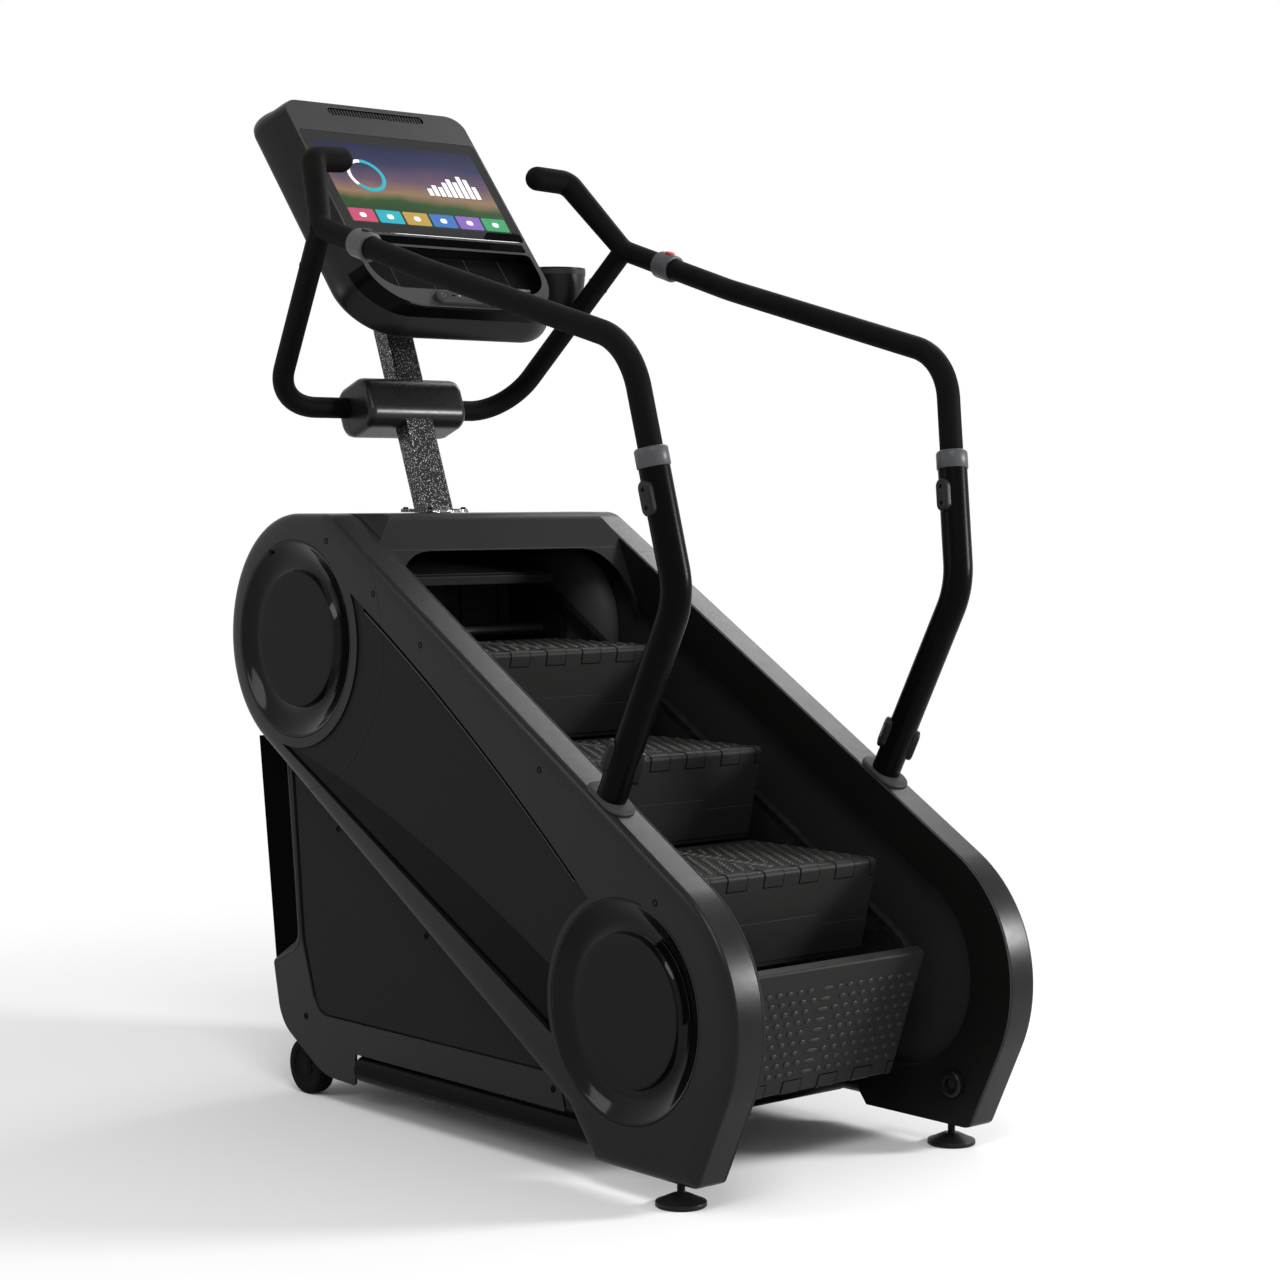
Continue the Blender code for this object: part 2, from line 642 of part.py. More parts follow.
def build_side_shells(assembly):
    """Upper and lower side shells, split along an arc about the upper axis."""
    edge = SHELL_EDGE_RADIUS
    for side, sign in SIDES.items():
        sections = [
            extrude_points(shell_outline(0.0), sign * SHELL_INNER_X),
            extrude_points(shell_outline(0.0), sign * (SHELL_OUTER_X - edge)),
            extrude_points(shell_outline(edge * 0.29), sign * (SHELL_OUTER_X - edge * 0.29)),
            extrude_points(shell_outline(edge), sign * SHELL_OUTER_X),
        ]
        pocket_outline = shell_outline(SHELL_WALL, -CREST_OFFSET / 8)
        pocket_floor = SHELL_OUTER_X - SHELL_FACE_WALL
        pocket = assembly.tool(prism(pocket_outline, sign * 0.9 * SHELL_INNER_X, sign * pocket_floor))
        far = sign * (SHELL_OUTER_X + SHELL_FACE_WALL)
        near = sign * 0.9 * SHELL_INNER_X
        recess = assembly.tool(prism(recess_outline(), sign * (SHELL_OUTER_X - RECESS_DEPTH), far))
        stem_hole = assembly.tool(
            rod(
                FOOT_STEM_RADIUS + SHAFT_CLEARANCE,
                (sign * RAIL_X, FOOT_Y, LEG_BOTTOM_Z / 2),
                (sign * RAIL_X, FOOT_Y, LEG_BOTTOM_Z + 2 * SHELL_WALL),
            )
        )
        rail_hole = assembly.tool(
            rod(
                RAIL_RADIUS + SHAFT_CLEARANCE,
                (sign * RAIL_X, FOOT_Y, RAIL_Z),
                (sign * RAIL_X, LEG_HEEL_Y / 2, RAIL_Z),
                20,
            )
        )
        for half, centre, operation, seam in (
            ("upper", UPPER, "INTERSECT", SEAM_RADIUS - GAP),
            ("lower", LOWER, "DIFFERENCE", SEAM_RADIUS + GAP),
        ):
            shell = assembly.add(f"{side}_{half}_shell", loft(sections), "charcoal_plastic")
            assembly.combine(shell, pocket)
            assembly.combine(shell, recess)
            seam_tool = rod(seam, (near, *UPPER), (far, *UPPER), 2 * LATHE_SIDES)
            assembly.combine(shell, assembly.tool(seam_tool), operation)
            opening = rod(DISC_COVER_RADIUS + GAP, (near, *centre), (far, *centre))
            assembly.combine(shell, assembly.tool(opening))
            if half == "lower":
                assembly.combine(shell, stem_hole)
                assembly.combine(shell, rail_hole)


def recess_outline():
    """The shallow tapered field between the two disc covers."""
    rim = DISC_COVER_RADIUS + RECESS_MARGIN
    corners = [
        UPPER + direction(RECESS_TOP_ANGLE) * rim,
        LOWER + direction(RECESS_NOSE_ANGLE) * (rim + RECESS_NOSE_MARGIN),
        LOWER + direction(RECESS_TOE_ANGLE) * (rim + RECESS_TOE_MARGIN),
        UPPER + direction(RECESS_HEEL_ANGLE) * (rim + RECESS_HEEL_MARGIN),
    ]
    return rounded(corners, [0.0, RECESS_CORNER, RECESS_TOE_CORNER, RECESS_CORNER])


def build_disc_covers(assembly):
    """The dished round covers over the four ends of the two shafts."""
    profile = [
        (0.0, -DISC_FACE_SINK),
        (DISC_FACE_RADIUS, -DISC_FACE_SINK),
        (DISC_FACE_RADIUS + DISC_FACE_SINK, -DISC_DISH_DEPTH),
        (DISC_FACE_RADIUS + DISC_GROOVE_WIDTH, -DISC_DISH_DEPTH),
        (DISC_COVER_RADIUS - DISC_RIM_SLOPE, -0.62 * DISC_DISH_DEPTH),
        (DISC_COVER_RADIUS - DISC_LIP_WIDTH, -DISC_LIP_SINK),
        (DISC_COVER_RADIUS, -DISC_LIP_SINK),
        (DISC_COVER_RADIUS, -DISC_RIM_DEPTH),
        (DISC_COVER_RADIUS - DISC_BACK_TAPER, -DISC_COVER_BACK),
        (0.0, -DISC_COVER_BACK),
    ]
    for side, sign in SIDES.items():
        for half, centre in (("upper", UPPER), ("lower", LOWER)):
            mesh = lathe(profile, (sign * SHELL_OUTER_X, *centre), (sign, 0.0, 0.0))
            assembly.add(f"{side}_{half}_disc_cover", mesh, "gloss_black")


def build_skirts(assembly):
    """Flat inner walls beside the steps, and the round ports on the front legs."""
    outline = shell_outline(SHELL_WALL + GAP)
    toe_y = min(point[0] for point in outline if point[1] < PORT_Z)
    port = Vector((toe_y + PORT_RADIUS + PORT_FROM_TOE_Y, PORT_Z))
    beam = top_beam_outline(SHAFT_CLEARANCE)
    for side, sign in SIDES.items():
        inner = sign * SKIRT_X
        outer = sign * (SKIRT_X + SKIRT_THICKNESS)
        skirt = assembly.add(f"{side}_inner_skirt", prism(outline, inner, outer), "black_plastic")
        through = (sign * (SKIRT_X - SKIRT_THICKNESS), sign * (SKIRT_X + 2 * SKIRT_THICKNESS))
        for centre in (UPPER, LOWER):
            hole = rod(SHAFT_RADIUS + 2 * SHAFT_CLEARANCE, (through[0], *centre), (through[1], *centre))
            assembly.combine(skirt, assembly.tool(hole))
        assembly.combine(skirt, assembly.tool(prism(beam, *through)))
        profile = [
            (PORT_BORE, GAP),
            (PORT_RADIUS, GAP),
            (PORT_RADIUS, PORT_LENGTH - PORT_CHAMFER),
            (PORT_RADIUS - PORT_CHAMFER, PORT_LENGTH),
            (PORT_BORE, PORT_LENGTH),
        ]
        mesh = lathe(profile, (inner, *port), (-sign, 0.0, 0.0), 20)
        assembly.add(f"{side}_leg_port", mesh, "charcoal_plastic")


def top_beam_outline(clearance=0.0):
    """The flat beam under the hood that carries the mast."""
    high = mast_seat_z()
    low = high - TOP_BEAM_THICKNESS
    front = UPPER.x - TOP_BEAM_FRONT
    rear = UPPER.x + TOP_BEAM_REAR
    c = clearance
    return [(front - c, low - c), (rear + c, low - c), (rear + c, high + c), (front - c, high + c)]


def mast_seat_z():
    """Height of the beam's top face, under the hood's inner face at the beam's rear edge."""
    inner = (BELT_OFFSET - GAP - HOOD_WALL) * math.cos(ARC_STEP / 2) - GAP
    return UPPER.y + TOP_RAISE + math.sqrt(inner**2 - TOP_BEAM_REAR**2)


def build_frame(assembly):
    """Side plates welded to their base rails, cross tubes and the beam under the mast."""
    half = FRAME_BEAM_HALF
    seat = machine_point(UPRIGHT_ALONG - half, CREST_OFFSET - SHELL_WALL - GAP)
    seat_end = machine_point(UPRIGHT_ALONG + half, CREST_OFFSET - SHELL_WALL - GAP)
    beam = top_beam_outline()
    outline = [
        (RAIL_REAR_Y - FRAME_LEG_END - FRAME_LEG_WIDTH, RAIL_Z),
        (RAIL_REAR_Y - FRAME_LEG_END, RAIL_Z),
        UPPER + FRAME_REAR_LOW,
        UPPER + FRAME_REAR_HIGH,
        (UPPER.x + TOP_BEAM_REAR, beam[2][1]),
        (UPPER.x - TOP_BEAM_FRONT, beam[2][1]),
        machine_point(AXIS_LENGTH - FRAME_NECK, half),
        machine_point(UPRIGHT_ALONG + half, half),
        seat_end,
        seat,
        machine_point(UPRIGHT_ALONG - half, half),
        machine_point(0.0, half),
        machine_point(-half, 0.0),
        (LOWER.x - half, LOWER.y - half),
        (LOWER.x - half, RAIL_Z),
        (LOWER.x + half, RAIL_Z),
        machine_point(half, -half),
        machine_point(AXIS_LENGTH - FRAME_CROTCH, -half),
    ]
    for side, sign in SIDES.items():
        inner = sign * FRAME_PLATE_X
        outer = sign * (FRAME_PLATE_X + FRAME_PLATE_THICKNESS)
        plate = assembly.add(f"{side}_side_frame", prism(outline, inner, outer), "speckled_paint")
        near = inner - sign * FRAME_PLATE_THICKNESS
        far = outer + sign * FRAME_PLATE_THICKNESS
        for centre in (UPPER, LOWER):
            bore = rod(SHAFT_RADIUS + SHAFT_CLEARANCE, (near, *centre), (far, *centre))
            assembly.combine(plate, assembly.tool(bore))
        ends = ((sign * RAIL_X, RAIL_FRONT_Y, RAIL_Z), (sign * RAIL_X, RAIL_REAR_Y, RAIL_Z))
        assembly.combine(plate, assembly.tool(rod(RAIL_RADIUS, *ends, 20)), "UNION")
    reach = RAIL_X - RAIL_RADIUS - GAP
    front = rod(CROSS_TUBE_RADIUS, (-reach, FRONT_CROSS_Y, RAIL_Z), (reach, FRONT_CROSS_Y, RAIL_Z), 20)
    assembly.add("front_cross_tube", front, "black_paint")
    rear = rod(CROSS_TUBE_RADIUS, (-reach, REAR_CROSS_Y, RAIL_Z), (reach, REAR_CROSS_Y, RAIL_Z), 20)
    axle_carrier = assembly.add("rear_cross_tube", rear, "black_paint")
    for sign in SIDES.values():
        arm_x = WHEEL_INNER_X - GAP - WHEEL_ARM_THICKNESS
        low = 0.6 * CROSS_TUBE_RADIUS
        arm_outline = [
            (REAR_CROSS_Y, RAIL_Z - low),
            (WHEEL_Y, WHEEL_RADIUS - low),
            (WHEEL_Y + low, WHEEL_RADIUS),
            (WHEEL_Y, WHEEL_RADIUS + low),
            (REAR_CROSS_Y, RAIL_Z + low),
        ]
        arm = prism(arm_outline, sign * arm_x, sign * (arm_x + WHEEL_ARM_THICKNESS))
        assembly.combine(axle_carrier, assembly.tool(arm), "UNION")
        axle_end = WHEEL_INNER_X + WHEEL_WIDTH - AXLE_SINK
        axle = rod(
            AXLE_RADIUS,
            (sign * (arm_x + 0.3 * WHEEL_ARM_THICKNESS), WHEEL_Y, WHEEL_RADIUS),
            (sign * axle_end, WHEEL_Y, WHEEL_RADIUS),
            20,
        )
        assembly.combine(axle_carrier, assembly.tool(axle), "UNION")
    beam_end = FRAME_PLATE_X - GAP
    assembly.add("mast_beam", prism(beam, -beam_end, beam_end), "black_paint")


def frame_leg_point(z):
    """The (y, z) point on the centre line of a side plate's rear leg at a height."""
    foot = Vector((RAIL_REAR_Y - FRAME_LEG_END - FRAME_LEG_WIDTH / 2, RAIL_Z))
    crotch = machine_point(AXIS_LENGTH - FRAME_CROTCH, -FRAME_BEAM_HALF)
    head = (UPPER + FRAME_REAR_LOW + crotch) / 2
    return foot.lerp(head, (z - foot.y) / (head.y - foot.y))


def build_lower_covers(assembly):
    """The side covers below the belt line, with bosses on the frame and a rear corner over the wheel."""
    tuck = BELT_OFFSET - LOWER_COVER_TUCK
    rear_top = UPPER.x + LOWER_COVER_REAR
    belt = LOWER.dot(ABOVE) - tuck
    top_rear = Vector((rear_top, (belt - ABOVE.x * rear_top) / ABOVE.y))
    rail_top = RAIL_Z + RAIL_RADIUS + LOWER_COVER_CLEARANCE
    front_y = LOWER.x + LOWER_COVER_FRONT
    top_front = Vector((front_y, (belt - ABOVE.x * front_y) / ABOVE.y))
    corner_y = RAIL_REAR_Y + BUMPER_FRONT_STEP
    floor = LEG_BOTTOM_Z + LOWER_COVER_CLEARANCE
    datum = Vector((UPPER.x, 0.0))
    corners = [
        top_rear,
        top_front,
        (front_y - LOWER_COVER_FRONT_SLANT, rail_top),
        (corner_y, rail_top),
        (corner_y, floor),
        (corner_y + BUMPER_LENGTH, floor + BUMPER_FLOOR_RISE),
        datum + BUMPER_HEEL,
        datum + BUMPER_TIP,
        datum + BUMPER_NECK,
    ]
    radii = [0.0, 0.0, 0.0, 0.0, BUMPER_FRONT_RADIUS, BUMPER_FLOOR_RADIUS]
    radii += [BUMPER_HEEL_RADIUS, BUMPER_TIP_RADIUS, BUMPER_NECK_RADIUS]
    outline = rounded(corners, radii)
    for side, sign in SIDES.items():
        x_from = sign * LOWER_COVER_X
        x_to = sign * (LOWER_COVER_X + LOWER_COVER_THICKNESS)
        cover = assembly.add(f"{side}_lower_cover", prism(outline, x_from, x_to), "charcoal_plastic")
        seat = sign * (FRAME_PLATE_X + FRAME_PLATE_THICKNESS + GAP)
        root = (x_from + x_to) / 2
        for z in (COVER_BOSS_LOW_Z, COVER_BOSS_HIGH_Z):
            centre = frame_leg_point(z)
            boss = rod(COVER_BOSS_RADIUS, (seat, *centre), (root, *centre), TUBE_SIDES)
            assembly.combine(cover, assembly.tool(boss), "UNION")


def build_hood_and_rear(assembly):
    """The hood over the upper end of the steps and the cover behind the drive."""
    outer = BELT_OFFSET - GAP
    inner = outer - HOOD_WALL
    lip = Vector((UPPER.x + HOOD_LIP_Y, HOOD_TOP_Z - HOOD_LIP_DROP))
    brow = Vector((lip.x + HOOD_BROW_LENGTH, HOOD_TOP_Z - GAP))
    start = HOOD_REAR_ANGLE
    outline = rear_arc(outer, start)
    outline += [brow, lip, lip + Vector((HOOD_WALL, 0.0)), brow + Vector((HOOD_WALL, -HOOD_WALL))]
    outline += reversed(rear_arc(inner, start))
    half = SHELL_INNER_X - GAP
    hood = assembly.add("top_hood", prism(outline, -half, half), "charcoal_plastic")
    passage = mast_prism(MAST_HOLE_CLEARANCE, mast_seat_z() - HOOD_WALL, HOOD_TOP_Z + HOOD_WALL)
    assembly.combine(hood, assembly.tool(passage))
    shoulder = UPPER.y - REAR_COVER_TOP_DROP
    top_front = UPPER.x + REAR_COVER_TOP_FRONT
    top_rear = UPPER.x + REAR_COVER_TOP_REAR
    waist = UPPER.x + REAR_COVER_WAIST
    foot_rear = UPPER.x + REAR_COVER_FOOT
    foot_front = UPPER.x + REAR_COVER_FOOT_FRONT
    corners = [
        (top_front, shoulder),
        (top_rear, shoulder),
        (waist, REAR_COVER_WAIST_Z),
        (foot_rear, REAR_COVER_LOW_Z),
        (foot_front, REAR_COVER_LOW_Z),
    ]
    wall = REAR_COVER_WALL
    inside = [
        (top_front - CUT_REACH, shoulder + wall),
        (top_rear - wall, shoulder + wall),
        (waist - wall, REAR_COVER_WAIST_Z),
        (foot_rear - wall, REAR_COVER_LOW_Z + wall),
        (foot_front - CUT_REACH, REAR_COVER_LOW_Z + wall),
    ]
    half = FRAME_PLATE_X - GAP
    cover = assembly.add("rear_cover", prism(corners, -half, half), "gloss_black")
    assembly.combine(cover, assembly.tool(prism(inside, wall - half, half - wall)))


def step_outline(depth):
    """A tread with its riser, from the top of the nosing at the outline's origin."""
    rake = direction(RISER_RAKE)
    down = Vector((math.sin(RISER_RAKE), -math.cos(RISER_RAKE)))
    length = STEP_RISE / math.cos(RISER_RAKE) - RISER_FOOT_CLEARANCE
    back = rake * RISER_THICKNESS
    inner_drop = (TREAD_THICKNESS + back.y) / math.cos(RISER_RAKE)
    corners = [
        (0.0, 0.0),
        down * length,
        back + down * length,
        back + down * inner_drop,
        (depth, -TREAD_THICKNESS),
        (depth, 0.0),
    ]
    return rounded(corners, [NOSING_RADIUS, 0.0, 0.0, 0.0, TREAD_BACK_RADIUS, TREAD_BACK_RADIUS])


def placed(outline, nosing, angle):
    """A step outline turned by an angle and moved to a nosing point."""
    along = direction(angle)
    up = Vector((-along.y, along.x))
    return [nosing + along * point[0] + up * point[1] for point in outline]


def add_step(assembly, name, outline, lug, origin):
    """A step with the lugs that tie its ends to the chains."""
    step = assembly.add(name, prism(outline, -STEP_HALF_WIDTH, STEP_HALF_WIDTH), "tread_plastic", origin)
    reach = CHAIN_INNER_X - GAP
    half = CHAIN_LUG_SIZE / 2
    square = [lug + Vector(c) * half for c in ((-1, -1), (1, -1), (1, 1), (-1, 1))]
    for sign in SIDES.values():
        tab = prism(square, sign * (STEP_HALF_WIDTH - CHAIN_LUG_ROOT), sign * reach)
        assembly.combine(step, assembly.tool(tab), "UNION")


def build_steps(assembly):
    """Eight steps: three on the stairs, one turning at each end, three on the way back."""
    depth = STEP_RUN + (STEP_RISE - RISER_FOOT_CLEARANCE) * math.tan(RISER_RAKE) - TREAD_BACK_CLEARANCE
    outline = step_outline(depth)
    riser_lug = NOSING_HEIGHT - SPROCKET_RADIUS
    lug_back = riser_lug * math.tan(RISER_RAKE - INCLINE) + RISER_THICKNESS / 2
    for i in range(FLIGHT_STEPS):
        along = FIRST_STEP_ALONG + i * PITCH
        nosing = machine_point(along, NOSING_HEIGHT)
        lug = machine_point(along + lug_back, SPROCKET_RADIUS)
        add_step(assembly, f"step_{i + 1}", placed(outline, nosing, 0.0), lug, (0.0, *nosing))
    turning = step_outline(TURNING_TREAD_DEPTH)
    for name, centre, angle in (("lower", LOWER, LOWER_TURN_ANGLE), ("upper", UPPER, UPPER_TURN_ANGLE)):
        out = direction(angle)
        lead = direction(angle + math.pi / 2)
        nosing = centre + out * TURNING_TREAD_OFFSET + lead * TURNING_NOSING_LEAD
        lug = centre + out * SPROCKET_RADIUS
        shape = placed(turning, nosing, angle - math.pi / 2)
        add_step(assembly, f"step_turning_{name}", shape, lug, (0.0, *centre))
    for i in range(FLIGHT_STEPS):
        along = FIRST_RETURN_ALONG + i * PITCH
        nosing = machine_point(along, -NOSING_HEIGHT)
        lug = machine_point(along - lug_back, -SPROCKET_RADIUS)
        add_step(assembly, f"step_return_{i + 1}", placed(outline, nosing, math.pi), lug, (0.0, *nosing))


def loop_outline(first, first_radius, second, second_radius):
    """The outline of a belt drawn tight round two circles."""
    line = second - first
    lean = math.asin((first_radius - second_radius) / line.length)
    angle = math.atan2(line.y, line.x)
    start = angle + math.pi / 2 - lean
    end = angle + 3 * math.pi / 2 + lean
    return arc(first, first_radius, start, end) + arc(second, second_radius, end, start + 2 * math.pi)


def build_drive(assembly):
    """Shafts with their sprockets, chains, belt, brake rotor and brake body."""
    shaft_end = FRAME_PLATE_X + FRAME_PLATE_THICKNESS + SHAFT_PROUD
    facet = math.cos(ARC_STEP / 2)
    sprocket = (SPROCKET_RADIUS - CHAIN_THICKNESS / 2) * facet - GAP
    inner = CHAIN_INNER_X + RUN_CLEARANCE
    outer = CHAIN_INNER_X + CHAIN_WIDTH - RUN_CLEARANCE
    collar_end = PULLEY_X + PULLEY_WIDTH
    for name, centre, pulley in (("upper_drive_shaft", UPPER, True), ("lower_idler_shaft", LOWER, False)):
        profile = [(0.0, -shaft_end), (SHAFT_RADIUS, -shaft_end)]
        profile += [(SHAFT_RADIUS, -outer), (sprocket, -outer), (sprocket, -inner), (SHAFT_RADIUS, -inner)]
        profile += [(SHAFT_RADIUS, inner), (sprocket, inner), (sprocket, outer), (SHAFT_RADIUS, outer)]
        if pulley:
            profile += [(SHAFT_RADIUS, PULLEY_X), (PULLEY_RADIUS, PULLEY_X)]
            profile += [(PULLEY_RADIUS, collar_end), (SHAFT_RADIUS, collar_end)]
        profile += [(SHAFT_RADIUS, shaft_end), (0.0, shaft_end)]
        mesh = lathe(profile, (0.0, *centre), (1.0, 0.0, 0.0), 20)
        assembly.add(name, mesh, "dark_steel", (0.0, *centre))
    half = CHAIN_THICKNESS / 2
    ring_outer = loop_outline(UPPER, SPROCKET_RADIUS + half, LOWER, SPROCKET_RADIUS + half)
    ring_inner = loop_outline(UPPER, SPROCKET_RADIUS - half, LOWER, SPROCKET_RADIUS - half)
    for side, sign in SIDES.items():
        x_from = sign * CHAIN_INNER_X
        x_to = sign * (CHAIN_INNER_X + CHAIN_WIDTH)
        assembly.add(f"{side}_step_chain", band(ring_outer, ring_inner, x_from, x_to), "dark_steel")
    brake = Vector((BRAKE_Y, BRAKE_Z))
    grip = PULLEY_RADIUS / facet + GAP
    small = BRAKE_PULLEY_RADIUS / facet + GAP
    belt_outer = loop_outline(UPPER, grip + BELT_THICKNESS, brake, small + BELT_THICKNESS)
    belt_inner = loop_outline(UPPER, grip, brake, small)
    belt = band(belt_outer, belt_inner, PULLEY_X + RUN_CLEARANCE, PULLEY_X + PULLEY_WIDTH - RUN_CLEARANCE)
    assembly.add("drive_belt", belt, "drive_rubber")
    body_end = BRAKE_BODY_X + BRAKE_BODY_WIDTH
    shaft_start = body_end - BRAKE_SHAFT_DEPTH
    wheel_end = FLYWHEEL_X + FLYWHEEL_WIDTH
    profile = [(0.0, shaft_start), (BRAKE_SHAFT_RADIUS, shaft_start), (BRAKE_SHAFT_RADIUS, FLYWHEEL_X)]
    profile += [(FLYWHEEL_RADIUS, FLYWHEEL_X), (FLYWHEEL_RADIUS, wheel_end), (BRAKE_SHAFT_RADIUS, wheel_end)]
    profile += [(BRAKE_SHAFT_RADIUS, PULLEY_X), (BRAKE_PULLEY_RADIUS, PULLEY_X)]
    profile += [(BRAKE_PULLEY_RADIUS, collar_end), (0.0, collar_end)]
    rotor = lathe(profile, (0.0, *brake), (1.0, 0.0, 0.0), 24)
    assembly.add("brake_rotor", rotor, "dark_steel", (0.0, *brake))
    low = RAIL_Z + CROSS_TUBE_RADIUS + GAP
    outline = [
        (REAR_CROSS_Y - BRAKE_FOOT_FRONT, low),
        (REAR_CROSS_Y + BRAKE_FOOT_REAR, low),
        (BRAKE_Y + BRAKE_BODY_HALF, BRAKE_Z - BRAKE_BODY_HALF),
        (BRAKE_Y + BRAKE_BODY_HALF, BRAKE_Z + BRAKE_BODY_HALF),
        (BRAKE_Y - BRAKE_BODY_HALF, BRAKE_Z + BRAKE_BODY_HALF),
    ]
    body = assembly.add("brake_body", prism(outline, BRAKE_BODY_X, body_end), "black_paint")
    bore = rod(
        BRAKE_SHAFT_RADIUS + SHAFT_CLEARANCE,
        (shaft_start - SHAFT_CLEARANCE, *brake),
        (body_end + CUT_REACH, *brake),
    )
    assembly.combine(body, assembly.tool(bore))


def mast_axis_y(z):
    """Y of the mast's centre line at a height."""
    return UPPER.x + MAST_FOOT_BEHIND_AXIS + (z - mast_seat_z()) * math.tan(MAST_LEAN)


def mast_prism(clearance, z_from, z_to):
    """The mast's leaning box between two heights, with level ends."""
    half_y = (MAST_HALF_DEPTH + clearance) / math.cos(MAST_LEAN)
    half_x = MAST_HALF_WIDTH + clearance
    outline = []
    for z, signs in ((z_from, (-1, 1)), (z_to, (1, -1))):
        outline += [Vector((mast_axis_y(z) + sign * half_y, z)) for sign in signs]
    return prism(outline, -half_x, half_x)


def handrail_points():
    """The right side's bar centre line, point by point, from the crest to the fork's tip."""
    foot = machine_point(UPRIGHT_ALONG, CREST_OFFSET)
    points = {"foot": Vector((UPRIGHT_X, *foot))}
    steps = (
        ("kink", KINK_STEP),
        ("collar", COLLAR_STEP),
        ("bend", COLLAR_STEP * RAIL_BEND_RISE / COLLAR_STEP.z),
    )
    place = points["foot"]
    for name, step in steps:
        place = place + step
        points[name] = place
    fork = Vector((UPRIGHT_X + FORK_OUTSET, UPPER.x - FORK_AHEAD, UPPER.y + FORK_ABOVE))
    points["middle"] = fork - RAIL_FORK_STEP
    points["fork"] = fork
    points["elbow"] = fork + FORK_ELBOW_STEP
    points["tip"] = points["elbow"] + FORK_TIP_STEP
    return points


def loop_bar_z(y):
    """Height of the straight part of a rail's lower loop at a length."""
    fork = handrail_points()["fork"]
    corner_y = mast_axis_y(CLAMP_Z) + LOOP_BEHIND_MAST
    return fork.z + (CLAMP_Z - fork.z) * (y - fork.y) / (corner_y - fork.y)


def mirrored(point, sign):
    """A right-hand point moved to the side with this sign."""
    return Vector((sign * point[0], point[1], point[2]))


def build_handrails(assembly):
    """Uprights, collars, the forked grip bars with their lower loops, rings and ring buttons."""
    points = handrail_points()
    loop_y = mast_axis_y(CLAMP_Z) + LOOP_BEHIND_MAST
    for side, sign in SIDES.items():
        at = {name: mirrored(point, sign) for name, point in points.items()}
        lean = (at["collar"] - at["kink"]).normalized()
        seam = at["collar"] - lean * COLLAR_LENGTH / 2
        base = at["foot"] + (at["kink"] - at["foot"]).normalized() * UPRIGHT_FLANGE_THICKNESS / 2
        path = bent_path([base, at["kink"], seam], [KINK_BEND])
        upright = assembly.add(f"{side}_upright", sweep(path, UPRIGHT_RADIUS), "black_paint")
        reach = UPRIGHT_FLANGE_LENGTH / 2
        flange_low = CREST_OFFSET + GAP
        flange_high = CREST_OFFSET + UPRIGHT_FLANGE_THICKNESS
        corners = [
            machine_point(UPRIGHT_ALONG - reach, flange_low),
            machine_point(UPRIGHT_ALONG + reach, flange_low),
            machine_point(UPRIGHT_ALONG + reach - UPRIGHT_FLANGE_CHAMFER, flange_high),
            machine_point(UPRIGHT_ALONG - reach + UPRIGHT_FLANGE_CHAMFER, flange_high),
        ]
        near = sign * (UPRIGHT_X - UPRIGHT_FLANGE_HALF_WIDTH)
        far = sign * (UPRIGHT_X + UPRIGHT_FLANGE_HALF_WIDTH)
        assembly.combine(upright, assembly.tool(prism(corners, near, far)), "UNION")
        bore = GRIP_RADIUS + GAP
        profile = [
            (bore, GAP),
            (COLLAR_RADIUS, GAP),
            (COLLAR_RADIUS, COLLAR_LENGTH - COLLAR_CHAMFER),
            (COLLAR_RADIUS - COLLAR_CHAMFER, COLLAR_LENGTH),
            (bore, COLLAR_LENGTH),
        ]
        assembly.add(f"{side}_collar", lathe(profile, seam, lean, 20), "grey_plastic")
        start = seam + lean * GAP
        route = [start, at["bend"], at["middle"], at["fork"], at["elbow"], at["tip"]]
        path = bent_path(route, [RAIL_BEND, RAIL_MIDDLE_BEND, FORK_BEND, ELBOW_BEND])
        rail = assembly.add(f"{side}_handrail", sweep(path, GRIP_RADIUS, True), "rubber_grip")
        corner = Vector((sign * LOOP_CORNER_X, loop_y, CLAMP_Z))
        inner = Vector((sign * GAP, loop_y, CLAMP_Z))
        loop = sweep(bent_path([at["fork"], corner, inner], [LOOP_BEND]), GRIP_RADIUS)
        assembly.combine(rail, assembly.tool(loop), "UNION")
        run = (at["fork"] - at["middle"]).normalized()
        ring_base = at["fork"] - run * RING_BACK_FROM_FORK
        profile = [
            (bore, 0.0),
            (RING_RADIUS - RING_CHAMFER, 0.0),
            (RING_RADIUS, RING_CHAMFER),
            (RING_RADIUS, RING_LENGTH - RING_CHAMFER),
            (RING_RADIUS - RING_CHAMFER, RING_LENGTH),
            (bore, RING_LENGTH),
        ]
        ring = assembly.add(f"{side}_grip_ring", lathe(profile, ring_base, run, 20), "grey_plastic")
        up = (Vector((0.0, 0.0, 1.0)) - run * run.z).normalized()
        middle = ring_base + run * RING_LENGTH / 2
        floor = RING_RADIUS - RING_POCKET_DEPTH
        rest = floor + BUTTON_TRAVEL + 2 * GAP
        mouth = middle + up * (RING_RADIUS + CUT_REACH)
        pocket = rod(RING_BUTTON_RADIUS + GAP, middle + up * floor, mouth, 20)
        assembly.combine(ring, assembly.tool(pocket))
        button = rod(RING_BUTTON_RADIUS, middle + up * rest, middle + up * (rest + RING_BUTTON_HEIGHT), 20)
        name = "right_stop_button" if sign > 0 else "left_pace_button"
        finish = "red_plastic" if sign > 0 else "black_plastic"
        assembly.add(name, button, finish, middle + up * rest)


